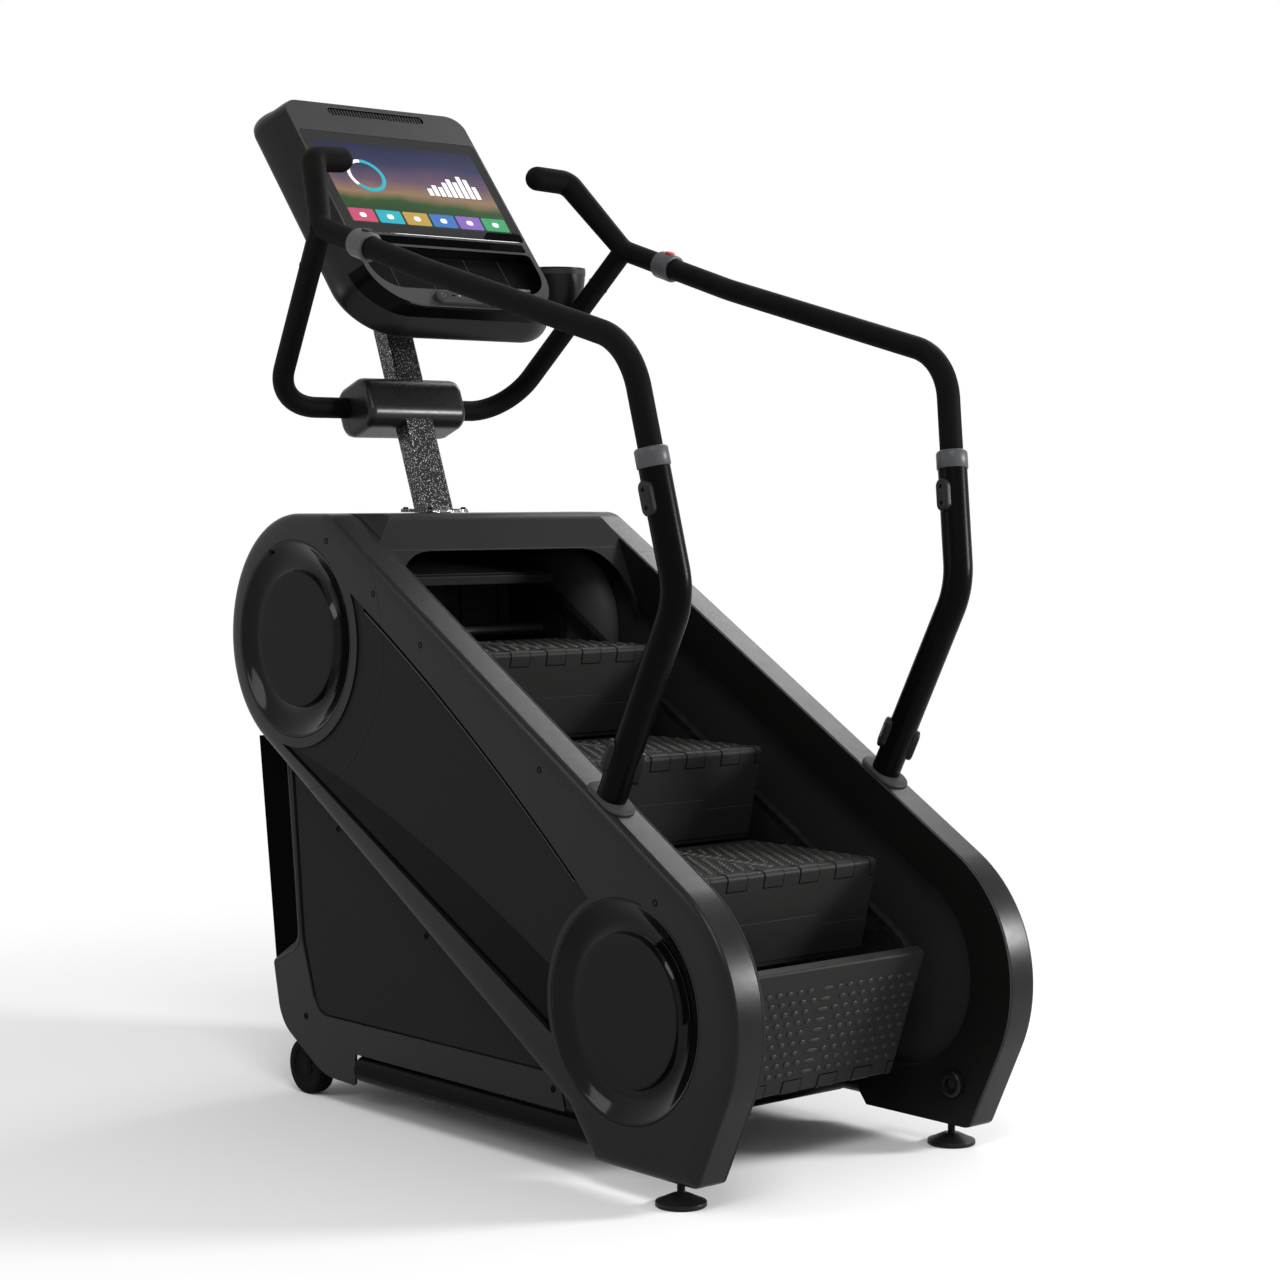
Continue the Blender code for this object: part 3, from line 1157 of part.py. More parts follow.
def build_mast(assembly):
    """The leaning mast with its foot flange and console bracket, and the clamp round it."""
    seat = mast_seat_z() + GAP
    mast = assembly.add("mast", mast_prism(0.0, seat, MAST_TOP_Z), "speckled_paint")
    flange_y = mast_axis_y(HOOD_TOP_Z)
    half = MAST_FLANGE_HALF
    front = flange_y - half
    rear = flange_y + half
    low = HOOD_TOP_Z + GAP
    high = low + MAST_FLANGE_THICKNESS
    flange = [(front, low), (rear, low), (rear, high), (front, high)]
    assembly.combine(mast, assembly.tool(prism(flange, -half, half)), "UNION")
    back = -CONSOLE_BACK - GAP
    low_point = console_point(0.0, -BRACKET_HALF_LENGTH, back)
    high_point = console_point(0.0, BRACKET_HALF_LENGTH, back)
    top_y = mast_axis_y(MAST_TOP_Z)
    bracket = [
        (low_point.y, low_point.z),
        (top_y + BRACKET_BEHIND_MAST, MAST_TOP_Z - BRACKET_LAP),
        (top_y + BRACKET_BEHIND_MAST, MAST_TOP_Z + BRACKET_LAP),
        (high_point.y, high_point.z),
    ]
    block = prism(bracket, -BRACKET_HALF_WIDTH, BRACKET_HALF_WIDTH)
    assembly.combine(mast, assembly.tool(block), "UNION")
    lean = Vector((math.sin(MAST_LEAN), math.cos(MAST_LEAN)))
    across = Vector((math.cos(MAST_LEAN), -math.sin(MAST_LEAN)))
    centre = Vector((mast_axis_y(CLAMP_Z) + CLAMP_BEHIND_MAST, CLAMP_Z))
    corners = [
        centre + across * CLAMP_HALF_DEPTH * a + lean * CLAMP_HALF_HEIGHT * b
        for a, b in ((-1, -1), (1, -1), (1, 1), (-1, 1))
    ]
    outline = rounded(corners, [CLAMP_CORNER] * 4)
    block = prism(outline, -CLAMP_HALF_LENGTH, CLAMP_HALF_LENGTH)
    clamp = assembly.add("mast_clamp_cover", block, "black_plastic")
    passage = mast_prism(GAP, CLAMP_Z - 2 * CLAMP_HALF_HEIGHT, CLAMP_Z + 2 * CLAMP_HALF_HEIGHT)
    assembly.combine(clamp, assembly.tool(passage))
    far = CLAMP_HALF_LENGTH + CUT_REACH
    loop_y = mast_axis_y(CLAMP_Z) + LOOP_BEHIND_MAST
    bore = rod(GRIP_RADIUS + GAP, (-far, loop_y, CLAMP_Z), (far, loop_y, CLAMP_Z), 24)
    assembly.combine(clamp, assembly.tool(bore))


def console_point(across, up, out):
    """A point in the console's own axes, as machine coordinates."""
    face_up = direction(math.pi / 2 - CONSOLE_LEAN)
    face_out = Vector((-face_up.y, face_up.x))
    origin = UPPER + Vector((CONSOLE_BEHIND_AXIS, CONSOLE_ABOVE_AXIS))
    place = origin + face_up * up + face_out * out
    return Vector((across, *place))


def console_outline(side_inset, end_inset):
    """The console's outline, drawn in at its sides and at its top and bottom."""
    half = CONSOLE_HALF_WIDTH - side_inset
    top = CONSOLE_TOP - end_inset
    bottom = CONSOLE_BOTTOM + end_inset
    corners = [(half, bottom), (half, top), (-half, top), (-half, bottom)]
    low = CONSOLE_BOTTOM_CORNER - end_inset
    high = CONSOLE_TOP_CORNER - end_inset
    return rounded(corners, [low, high, high, low])


def console_slab(layers):
    """A loft through face outlines, each given with its height out of the console's face."""
    return loft([[console_point(p[0], p[1], out) for p in outline] for outline, out in layers])


def face_rectangle(half_width, bottom, top, corner):
    """A rounded rectangle on the console's face."""
    corners = [(half_width, bottom), (half_width, top), (-half_width, top), (-half_width, bottom)]
    return rounded(corners, [corner] * 4)


def build_console(assembly):
    """Back housing, front bezel, screen, keypad, start button, port bar and cup holder."""
    join = -BEZEL_DEPTH
    widest = 0.6 * (join - CONSOLE_BACK)
    layers = [
        (console_outline(BEZEL_FLARE, BEZEL_FLARE), -CONSOLE_BACK),
        (console_outline(0.0, -CONSOLE_TOP_BULGE), widest),
        (console_outline(BEZEL_FLARE, 0.0), join - GAP),
    ]
    assembly.add("console_housing", console_slab(layers), "black_plastic")
    layers = [
        (console_outline(BEZEL_FLARE, 0.0), join),
        (console_outline(FACE_FLARE, 0.0), -BEZEL_EDGE),
        (console_outline(FACE_FLARE + BEZEL_EDGE / 2, BEZEL_EDGE), 0.0),
    ]
    bezel = assembly.add("console_bezel", console_slab(layers), "console_grey")
    glass = face_rectangle(GLASS_HALF_WIDTH, GLASS_BOTTOM, GLASS_TOP, GLASS_CORNER)
    seat = face_rectangle(GLASS_HALF_WIDTH + GAP, GLASS_BOTTOM - GAP, GLASS_TOP + GAP, GLASS_CORNER)
    seat_floor = -GLASS_THICKNESS - GAP
    assembly.combine(bezel, assembly.tool(console_slab([(seat, seat_floor), (seat, CUT_REACH)])))
    assembly.add("display_screen", console_slab([(glass, -GLASS_THICKNESS), (glass, 0.0)]), "screen_glass")
    tray = face_rectangle(TRAY_HALF_WIDTH + GAP, TRAY_BOTTOM - GAP, TRAY_TOP + GAP, TRAY_CORNER)
    assembly.combine(bezel, assembly.tool(console_slab([(tray, -TRAY_DEPTH), (tray, CUT_REACH)])))
    vent = face_rectangle(VENT_HALF_WIDTH, VENT_BOTTOM, VENT_TOP, VENT_CORNER)
    assembly.combine(bezel, assembly.tool(console_slab([(vent, -VENT_DEPTH), (vent, CUT_REACH)])))
    pad_low = -TRAY_DEPTH + GAP
    pad = face_rectangle(TRAY_HALF_WIDTH, TRAY_BOTTOM, TRAY_TOP, TRAY_CORNER)
    keypad = console_slab([(pad, pad_low), (pad, pad_low + KEYPAD_THICKNESS)])
    keypad = assembly.add("keypad_panel", keypad, "black_plastic")
    high = START_V + START_HALF_HEIGHT
    low = START_V - START_HALF_HEIGHT
    key = face_rectangle(START_HALF_WIDTH, low, high, START_CORNER)
    hole = face_rectangle(START_HALF_WIDTH + GAP, low - GAP, high + GAP, START_CORNER)
    assembly.combine(keypad, assembly.tool(console_slab([(hole, -2 * TRAY_DEPTH), (hole, CUT_REACH)])))
    rest = -TRAY_DEPTH + BUTTON_TRAVEL + GAP
    button = console_slab([(key, rest), (key, rest + START_HEIGHT)])
    assembly.add("start_button", button, "green_plastic", console_point(0.0, START_V, rest))
    bar = face_rectangle(PORT_BAR_HALF_WIDTH, PORT_BAR_BOTTOM, PORT_BAR_TOP, PORT_BAR_CORNER)
    bar_mesh = console_slab([(bar, GAP), (bar, PORT_BAR_HEIGHT)])
    assembly.add("port_bar", bar_mesh, "console_grey")
    build_cup_holder(assembly)


def build_cup_holder(assembly):
    """The bowl beside the console, with the arm that holds it to the housing."""
    cup_y = UPPER.x + CUP_BEHIND_AXIS
    rim_z = loop_bar_z(cup_y) + CUP_RIM_ABOVE_BAR
    shoulder = 0.5 * CUP_HEIGHT
    profile = [
        (0.0, -CUP_HEIGHT),
        (CUP_FOOT_RADIUS, -CUP_HEIGHT),
        (CUP_RADIUS - 2 * CUP_WALL, -shoulder),
        (CUP_RADIUS, 0.0),
        (CUP_RADIUS - CUP_WALL, 0.0),
        (CUP_RADIUS - 3 * CUP_WALL, -shoulder),
        (CUP_FOOT_RADIUS - CUP_WALL, CUP_WALL - CUP_HEIGHT),
        (0.0, CUP_WALL - CUP_HEIGHT),
    ]
    arm_top = rim_z - 0.5 * CUP_ARM_HEIGHT
    arm_outline = [
        (cup_y - CUP_ARM_HEIGHT, arm_top - CUP_ARM_HEIGHT),
        (cup_y, arm_top - CUP_ARM_HEIGHT),
        (cup_y, arm_top),
        (cup_y - CUP_ARM_HEIGHT, arm_top),
    ]
    mesh = lathe(profile, (CUP_X, cup_y, rim_z), (0.0, 0.0, 1.0))
    cup = assembly.add("right_cup_holder", mesh, "black_plastic")
    tip = CUP_X - CUP_RADIUS + 1.6 * CUP_WALL
    arm = prism(arm_outline, CONSOLE_HALF_WIDTH + GAP, tip)
    assembly.combine(cup, assembly.tool(arm), "UNION")


def build_feet_and_wheels(assembly):
    """Threaded front feet and the rear transport wheels."""
    cone = FOOT_PAD_HEIGHT + FOOT_CONE_HEIGHT
    stem_top = RAIL_Z - RAIL_RADIUS - GAP
    foot = [
        (0.0, 0.0),
        (FOOT_RADIUS, 0.0),
        (FOOT_RADIUS, FOOT_PAD_HEIGHT),
        (FOOT_STEM_RADIUS + FOOT_SHOULDER, cone),
        (FOOT_STEM_RADIUS, cone),
        (FOOT_STEM_RADIUS, stem_top),
        (0.0, stem_top),
    ]
    bore = AXLE_RADIUS + GAP
    rim = WHEEL_RADIUS
    wheel = [
        (bore, 0.0),
        (rim - WHEEL_CHAMFER, 0.0),
        (rim, WHEEL_CHAMFER),
        (rim, WHEEL_WIDTH - WHEEL_CHAMFER),
        (rim - WHEEL_CHAMFER, WHEEL_WIDTH),
        (rim - WHEEL_RIM_WIDTH, WHEEL_WIDTH - WHEEL_DISH),
        (bore, WHEEL_WIDTH - WHEEL_DISH),
    ]
    for side, sign in SIDES.items():
        place = (sign * RAIL_X, FOOT_Y, 0.0)
        assembly.add(f"{side}_front_foot", lathe(foot, place, (0.0, 0.0, 1.0), 24), "black_plastic", place)
        hub = (sign * WHEEL_INNER_X, WHEEL_Y, WHEEL_RADIUS)
        mesh = lathe(wheel, hub, (sign, 0.0, 0.0), 24)
        assembly.add(f"{side}_transport_wheel", mesh, "drive_rubber", hub)


def main():
    """Build the whole machine."""
    assembly = Assembly()
    build_frame(assembly)
    build_side_shells(assembly)
    build_disc_covers(assembly)
    build_skirts(assembly)
    build_lower_covers(assembly)
    build_hood_and_rear(assembly)
    build_steps(assembly)
    build_drive(assembly)
    build_handrails(assembly)
    build_mast(assembly)
    build_console(assembly)
    build_feet_and_wheels(assembly)


main()
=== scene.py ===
"""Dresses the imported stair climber: finer skins over its solids, finishes, studio and camera.

Metres, +Z up, the user faces +Y. Flat outlines are (y, z) pairs pushed along X.
"""

import logging
from collections.abc import Sequence
from dataclasses import dataclass
from enum import Enum
from functools import cache, cached_property
from math import acos, atan2, ceil, cos, hypot, pi, radians, sin, tan

import bmesh
import bpy
from mathutils import Euler, Matrix, Vector

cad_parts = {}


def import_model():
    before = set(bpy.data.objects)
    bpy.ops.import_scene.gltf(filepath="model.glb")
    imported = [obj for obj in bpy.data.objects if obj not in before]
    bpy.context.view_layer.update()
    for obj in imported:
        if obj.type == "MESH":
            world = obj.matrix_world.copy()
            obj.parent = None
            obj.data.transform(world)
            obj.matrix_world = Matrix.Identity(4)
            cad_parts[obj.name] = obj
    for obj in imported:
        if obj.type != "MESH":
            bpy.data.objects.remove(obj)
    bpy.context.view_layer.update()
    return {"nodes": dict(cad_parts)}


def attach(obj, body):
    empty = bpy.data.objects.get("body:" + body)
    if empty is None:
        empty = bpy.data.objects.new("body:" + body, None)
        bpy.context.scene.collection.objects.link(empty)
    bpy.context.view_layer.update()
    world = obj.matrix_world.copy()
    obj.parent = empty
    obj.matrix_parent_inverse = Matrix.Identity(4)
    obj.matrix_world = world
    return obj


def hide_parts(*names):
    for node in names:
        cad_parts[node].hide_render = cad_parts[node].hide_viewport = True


LOG = logging.getLogger("stair_climber")
FINE = radians(4.0)
HAIR = 0.0003
TINY = 1e-6
LEVEL = 1e-5
WHITE = (1.0, 1.0, 1.0, 1.0)

Outline = list[Vector]
Pair = tuple[float, float]
Pairs = tuple[Pair, ...]
Triple = tuple[float, float, float]
Mesh = bmesh.types.BMesh
Tree = bpy.types.NodeTree
Socket = bpy.types.NodeSocket


class Side(Enum):
    """The two sides of the machine, with the sign of their X."""

    LEFT = -1.0
    RIGHT = 1.0

    @property
    def label(self) -> str:
        """The word that the side's CAD nodes start with."""
        return self.name.lower()


class End(Enum):
    """The two ends of the run of steps, where the discs sit."""

    UPPER = "upper"
    LOWER = "lower"

    @property
    def centre(self) -> Vector:
        """The chain axis at this end."""
        return PLAN.upper if self is End.UPPER else PLAN.lower


class Cut(Enum):
    """What one mesh does to another."""

    AWAY = "DIFFERENCE"
    JOIN = "UNION"
    LIMIT = "INTERSECT"


@dataclass(frozen=True)
class Plan:
    """The lines that several sub-assemblies share."""

    rise: float = 0.203
    run: float = 0.341
    axis_length: float = 1.291
    lower_y: float = -0.581
    lower_z: float = 0.3535
    crest_offset: float = 0.298
    belt_offset: float = 0.262
    belt_end: float = 0.030
    nose_forward: float = 0.013
    top_raise: float = 0.012
    top_corner: float = 0.090
    leg_normal: float = radians(205.5)
    leg_bottom: float = 0.050
    leg_toe: float = 0.018
    least_toe: float = 0.004
    heel_y: float = -0.492
    heel_slope: float = radians(51.0)
    outer_x: float = 0.4126
    foot_x: float = 0.371
    foot_y: float = -0.700

    @property
    def incline(self) -> float:
        """Slope of the flight of steps."""
        return atan2(self.rise, self.run)

    @property
    def pitch(self) -> float:
        """Distance from one step to the next along the slope."""
        return hypot(self.rise, self.run)

    @property
    def along(self) -> Vector:
        """Unit vector up the slope."""
        return heading(self.incline)

    @property
    def above(self) -> Vector:
        """Unit vector square to the slope."""
        return heading(self.incline + pi / 2)

    @property
    def lower(self) -> Vector:
        """Lower chain axis."""
        return Vector((self.lower_y, self.lower_z))

    @property
    def upper(self) -> Vector:
        """Upper chain axis."""
        return self.lower + self.along * self.axis_length

    @property
    def top_z(self) -> float:
        """Height of the hood's flat top."""
        return self.upper.y + self.belt_offset + self.top_raise

    def spot(self, along: float, above: float) -> Vector:
        """A point given along and above the line of the two chain axes."""
        return self.lower + self.along * along + self.above * above


def heading(angle: float) -> Vector:
    """The unit (y, z) vector at an angle from +Y towards +Z."""
    return Vector((cos(angle), sin(angle)))


PLAN = Plan()


def arc(centre: Vector, radius: float, start: float, end: float, step: float = FINE) -> Outline:
    """Points on an arc, both ends included."""
    count = max(2, ceil(abs(end - start) / step - TINY))
    return [centre + heading(start + (end - start) * i / count) * radius for i in range(count + 1)]


def crossing(n1: Vector, d1: float, n2: Vector, d2: float) -> Vector:
    """Where two lines meet, each given by its normal and its distance from the origin."""
    det = n1.x * n2.y - n1.y * n2.x
    return Vector(((d1 * n2.y - d2 * n1.y) / det, (d2 * n1.x - d1 * n2.x) / det))


def rounded(corners: Sequence[Sequence[float]], radii: Sequence[float], step: float = FINE) -> Outline:
    """A closed outline with each corner rounded to its own radius.

    Args:
        corners: The sharp corners in order.
        radii: One radius for each corner, zero for a sharp one.
        step: Angle between the points of a rounding.

    Returns:
        The points of the outline.
    """
    outline: Outline = []
    count = len(corners)
    for i, raw in enumerate(corners):
        corner = Vector(raw)
        if radii[i] <= 0.0:
            outline.append(corner)
            continue
        before = (Vector(corners[i - 1]) - corner).normalized()
        after = (Vector(corners[(i + 1) % count]) - corner).normalized()
        half = acos(max(-1.0, min(1.0, before.dot(after)))) / 2
        centre = corner + (before + after).normalized() * radii[i] / sin(half)
        start = corner + before * radii[i] / tan(half) - centre
        turn = pi - 2 * half
        sign = 1.0 if before.x * after.y - before.y * after.x < 0 else -1.0
        first = atan2(start.y, start.x)
        outline.extend(arc(centre, radii[i], first, first + sign * turn, step))
    return outline


def slab_outline(half: float, low: float, high: float, corner: float, step: float = FINE) -> Outline:
    """A rounded rectangle, centred across."""
    return rounded([(half, low), (half, high), (-half, high), (-half, low)], [corner] * 4, step)


def rear_arc(radius: float, start: float) -> Outline:
    """The round rear end about the upper axis, up to its slightly raised crown.

    Args:
        radius: The end's radius.
        start: The angle that it starts at.

    Returns:
        Points up to the crown.
    """
    stretch = (radius + PLAN.top_raise) / radius
    centre = PLAN.upper
    offsets = [p - centre for p in arc(centre, radius, start, pi / 2)]
    return [centre + Vector((p.x, p.y * (stretch if p.y > 0.0 else 1.0))) for p in offsets]


def bowed(start: Sequence[float], end: Sequence[float], bow: float, count: int = 16) -> Outline:
    """Points on a shallow bow between two ends.

    Args:
        start: The first end.
        end: The last end.
        bow: Height of the bow, positive to the left of the way.
        count: Number of stretches.

    Returns:
        The points, both ends included.
    """
    first, last = Vector(start), Vector(end)
    way = (last - first).normalized()
    left = Vector((-way.y, way.x))
    return [first.lerp(last, t) + left * bow * 4 * t * (1 - t) for t in (i / count for i in range(count + 1))]


def shell_outline(inset: float, belt_inset: float | None = None) -> Outline:
    """The outline of a side shell.

    Args:
        inset: How far the outline is drawn in.
        belt_inset: How far the belt edge alone is drawn in, if not the same.

    Returns:
        Points from the rear of the belt edge, over the top and down the leg.
    """
    belt_inset = inset if belt_inset is None else belt_inset
    crest = PLAN.crest_offset - inset
    rear = PLAN.belt_offset - inset
    up = Vector((0.0, 1.0))
    top = PLAN.upper.y + rear + PLAN.top_raise
    corner = crossing(up, top, PLAN.above, PLAN.lower.dot(PLAN.above) + crest)
    radius = PLAN.top_corner - inset
    centre = corner - (up + PLAN.above).normalized() * radius / cos(PLAN.incline / 2)
    nose = PLAN.spot(-PLAN.nose_forward, 0.0)
    leg = heading(PLAN.leg_normal)
    floor_offset = -(PLAN.leg_bottom + inset)
    heel_normal = Vector((sin(PLAN.heel_slope), -cos(PLAN.heel_slope)))
    heel_offset = Vector((PLAN.heel_y, PLAN.leg_bottom)).dot(heel_normal) - inset
    belt = -PLAN.above
    straight_down = radians(270)
    toe = crossing(leg, nose.dot(leg) + crest, -up, floor_offset)
    toe_radius = max(PLAN.leg_toe - inset, PLAN.least_toe)
    toe_turn = straight_down - PLAN.leg_normal
    toe_centre = toe - (leg - up).normalized() * toe_radius / cos(toe_turn / 2)
    heel = crossing(-up, floor_offset, heel_normal, heel_offset)
    waist = crossing(heel_normal, heel_offset, belt, PLAN.lower.dot(belt) + PLAN.belt_offset - belt_inset)
    outline: Outline = []
    if belt_inset != inset:
        outline.append(PLAN.upper + belt * (PLAN.belt_offset - belt_inset) - PLAN.along * PLAN.belt_end)
    outline += rear_arc(rear, PLAN.incline - pi / 2)
    outline += arc(centre, radius, pi / 2, pi / 2 + PLAN.incline)
    outline += arc(nose, crest, pi / 2 + PLAN.incline, PLAN.leg_normal)
    outline += arc(toe_centre, toe_radius, PLAN.leg_normal, straight_down, 2 * FINE)
    return outline + [heel, waist]


def belt_loop(first: Vector, second: Vector, radius: float) -> Outline:
    """The outline of a band drawn tight round two circles of one radius.

    Args:
        first: Centre of one circle.
        second: Centre of the other.
        radius: Their radius.

    Returns:
        The points of the outline.
    """
    angle = atan2(second.y - first.y, second.x - first.x)
    start, end = angle + pi / 2, angle + 3 * pi / 2
    return arc(first, radius, start, end) + arc(second, radius, end, start + 2 * pi)


def at_x(outline: Sequence[Sequence[float]], x: float) -> list[Vector]:
    """A flat outline as points at one x."""
    return [Vector((x, p[0], p[1])) for p in outline]


def loft(sections: Sequence[Sequence[Vector]]) -> Mesh:
    """A skin through closed sections of equal point counts, capped at both ends.

    Args:
        sections: Point rings in order.

    Returns:
        The new mesh.
    """
    mesh = bmesh.new()
    rings = [[mesh.verts.new(p) for p in section] for section in sections]
    count = len(rings[0])
    for low, high in zip(rings, rings[1:]):
        for i in range(count):
            j = (i + 1) % count
            mesh.faces.new((low[i], low[j], high[j], high[i]))
    mesh.faces.new(rings[0])
    mesh.faces.new(rings[-1])
    return mesh


def prism(outline: Sequence[Sequence[float]], x_from: float, x_to: float) -> Mesh:
    """A flat outline pushed along X."""
    return loft([at_x(outline, x_from), at_x(outline, x_to)])


def lathe(profile: Sequence[Pair], base: Sequence[float], axis: Sequence[float], sides: int = 64) -> Mesh:
    """A (radius, height) profile turned about an axis.

    Args:
        profile: Points from the foot to the head, on the axis at both ends or joined into a ring.
        base: The foot of the axis.
        axis: Direction of the heights.
        sides: Facets round the axis.

    Returns:
        The new mesh.
    """
    line = Vector(axis).normalized()
    reference = Vector((0.0, 1.0, 0.0)) if abs(line.z) > 0.9 else Vector((0.0, 0.0, 1.0))
    side = (reference - line * line.dot(reference)).normalized()
    other = line.cross(side)
    mesh = bmesh.new()
    angles = [2 * pi * i / sides for i in range(sides)]
    turns = [side * cos(a) + other * sin(a) for a in angles]
    rings = []
    for radius, height in profile:
        foot = Vector(base) + line * height
        spots = [foot] if radius <= 0.0 else [foot + t * radius for t in turns]
        rings.append([mesh.verts.new(spot) for spot in spots])
    for low, high in zip(rings, rings[1:] + rings[:1]):
        if len(low) == 1 and len(high) == 1:
            continue
        for i in range(sides):
            j = (i + 1) % sides
            corners = [low[i % len(low)], low[j % len(low)], high[j % len(high)], high[i % len(high)]]
            mesh.faces.new(list(dict.fromkeys(corners)))
    return mesh


def rod(radius: float, start: Sequence[float], end: Sequence[float], sides: int = 48) -> Mesh:
    """A cylinder between two points."""
    axis = Vector(end) - Vector(start)
    return lathe([(0.0, 0.0), (radius, 0.0), (radius, axis.length), (0.0, axis.length)], start, axis, sides)


def bent_path(points: Sequence[Sequence[float]], bends: Sequence[float], step: float = FINE) -> list[Vector]:
    """A polyline whose inner corners are rounded.

    Args:
        points: The polyline's corners and ends.
        bends: One radius for each inner corner.
        step: Largest angle between the points of a rounding.

    Returns:
        The points of the path.
    """
    path = [Vector(points[0])]
    for i in range(1, len(points) - 1):
        corner = Vector(points[i])
        before = (Vector(points[i - 1]) - corner).normalized()
        after = (Vector(points[i + 1]) - corner).normalized()
        half = before.angle(after) / 2
        turn = pi - 2 * half
        count = max(2, ceil(turn / step))
        centre = corner + (before + after).normalized() * bends[i - 1] / sin(half)
        start = corner + before * bends[i - 1] / tan(half) - centre
        across = -before.cross(after).normalized().cross(start)
        for k in range(count + 1):
            path.append(centre + start * cos(turn * k / count) + across * sin(turn * k / count))
    path.append(Vector(points[-1]))
    return path


def sweep(
    path: Sequence[Vector], radius: float | Sequence[float], sides: int = 32,
    domes: tuple[bool, bool] = (False, False),
) -> Mesh:
    """A round bar along a path.

    Args:
        path: Centre line.
        radius: One radius, or one for each point of the path.
        sides: Facets round the bar.
        domes: Whether the start and the end are domed.

    Returns:
        The new mesh.
    """
    last = len(path) - 1
    sizes = list(radius) if isinstance(radius, Sequence) else [radius] * len(path)
    tangents = [(path[min(i + 1, last)] - path[max(i - 1, 0)]).normalized() for i in range(last + 1)]
    side = tangents[0].orthogonal().normalized()
    stations = []
    for point, tangent, size in zip(path, tangents, sizes):
        side = (side - tangent * side.dot(tangent)).normalized()
        stations.append((point, side, tangent.cross(side), size))
    caps = [radians(a) for a in (15, 30, 45, 60, 74, 85)]
    for end, domed in zip((0, -1), domes):
        if not domed:
            continue
        point, side, other, size = stations[end]
        out = tangents[end] * (1.0 if end else -1.0)
        extra = [(point + out * size * sin(a), side, other, size * cos(a)) for a in caps]
        stations = stations + extra if end else extra[::-1] + stations
    spokes = [2 * pi * k / sides for k in range(sides)]
    return loft([[p + (s * cos(a) + o * sin(a)) * r for a in spokes] for p, s, o, r in stations])


def stored(mesh: Mesh, name: str) -> bpy.types.Mesh:
    """Mesh data with its faces turned outwards.

    Args:
        mesh: The mesh, which is used up.
        name: The data's name.

    Returns:
        The new data.
    """
    bmesh.ops.recalc_face_normals(mesh, faces=mesh.faces)
    data = bpy.data.meshes.new(name)
    mesh.to_mesh(data)
    mesh.free()
    return data


def placed(name: str, data: bpy.types.ID) -> bpy.types.Object:
    """A new object in the scene.

    Args:
        name: The object's name.
        data: Its mesh, lamp or camera.

    Returns:
        The object.
    """
    obj = bpy.data.objects.new(name, data)
    bpy.context.scene.collection.objects.link(obj)
    return obj


def discard(objects: Sequence[bpy.types.Object]) -> None:
    """Remove helper objects and their meshes.

    Args:
        objects: The objects.
    """
    for obj in objects:
        data = obj.data
        bpy.data.objects.remove(obj)
        bpy.data.meshes.remove(data)


def joined(parts: Sequence[Mesh]) -> Mesh:
    """Several meshes put into one, without cutting them.

    Args:
        parts: The meshes, which are used up.

    Returns:
        The new mesh.
    """
    whole = bmesh.new()
    for part in parts:
        data = stored(part, "part")
        whole.from_mesh(data)
        bpy.data.meshes.remove(data)
    return whole


def carved(body: Mesh, tool: Mesh, cut: Cut = Cut.AWAY) -> Mesh:
    """One mesh cut by, joined to or limited to another.

    Args:
        body: The mesh that is kept.
        tool: The mesh that acts on it.
        cut: What it does.

    Returns:
        The resulting mesh.
    """
    pair = [placed("carving", stored(mesh, "carving")) for mesh in (body, tool)]
    modifier = pair[0].modifiers.new("carve", "BOOLEAN")
    modifier.operation = cut.value
    modifier.solver = "EXACT"
    modifier.object = pair[1]
    result = bmesh.new()
    result.from_object(pair[0], bpy.context.evaluated_depsgraph_get())
    discard(pair)
    bmesh.ops.remove_doubles(result, verts=result.verts, dist=TINY)
    return result


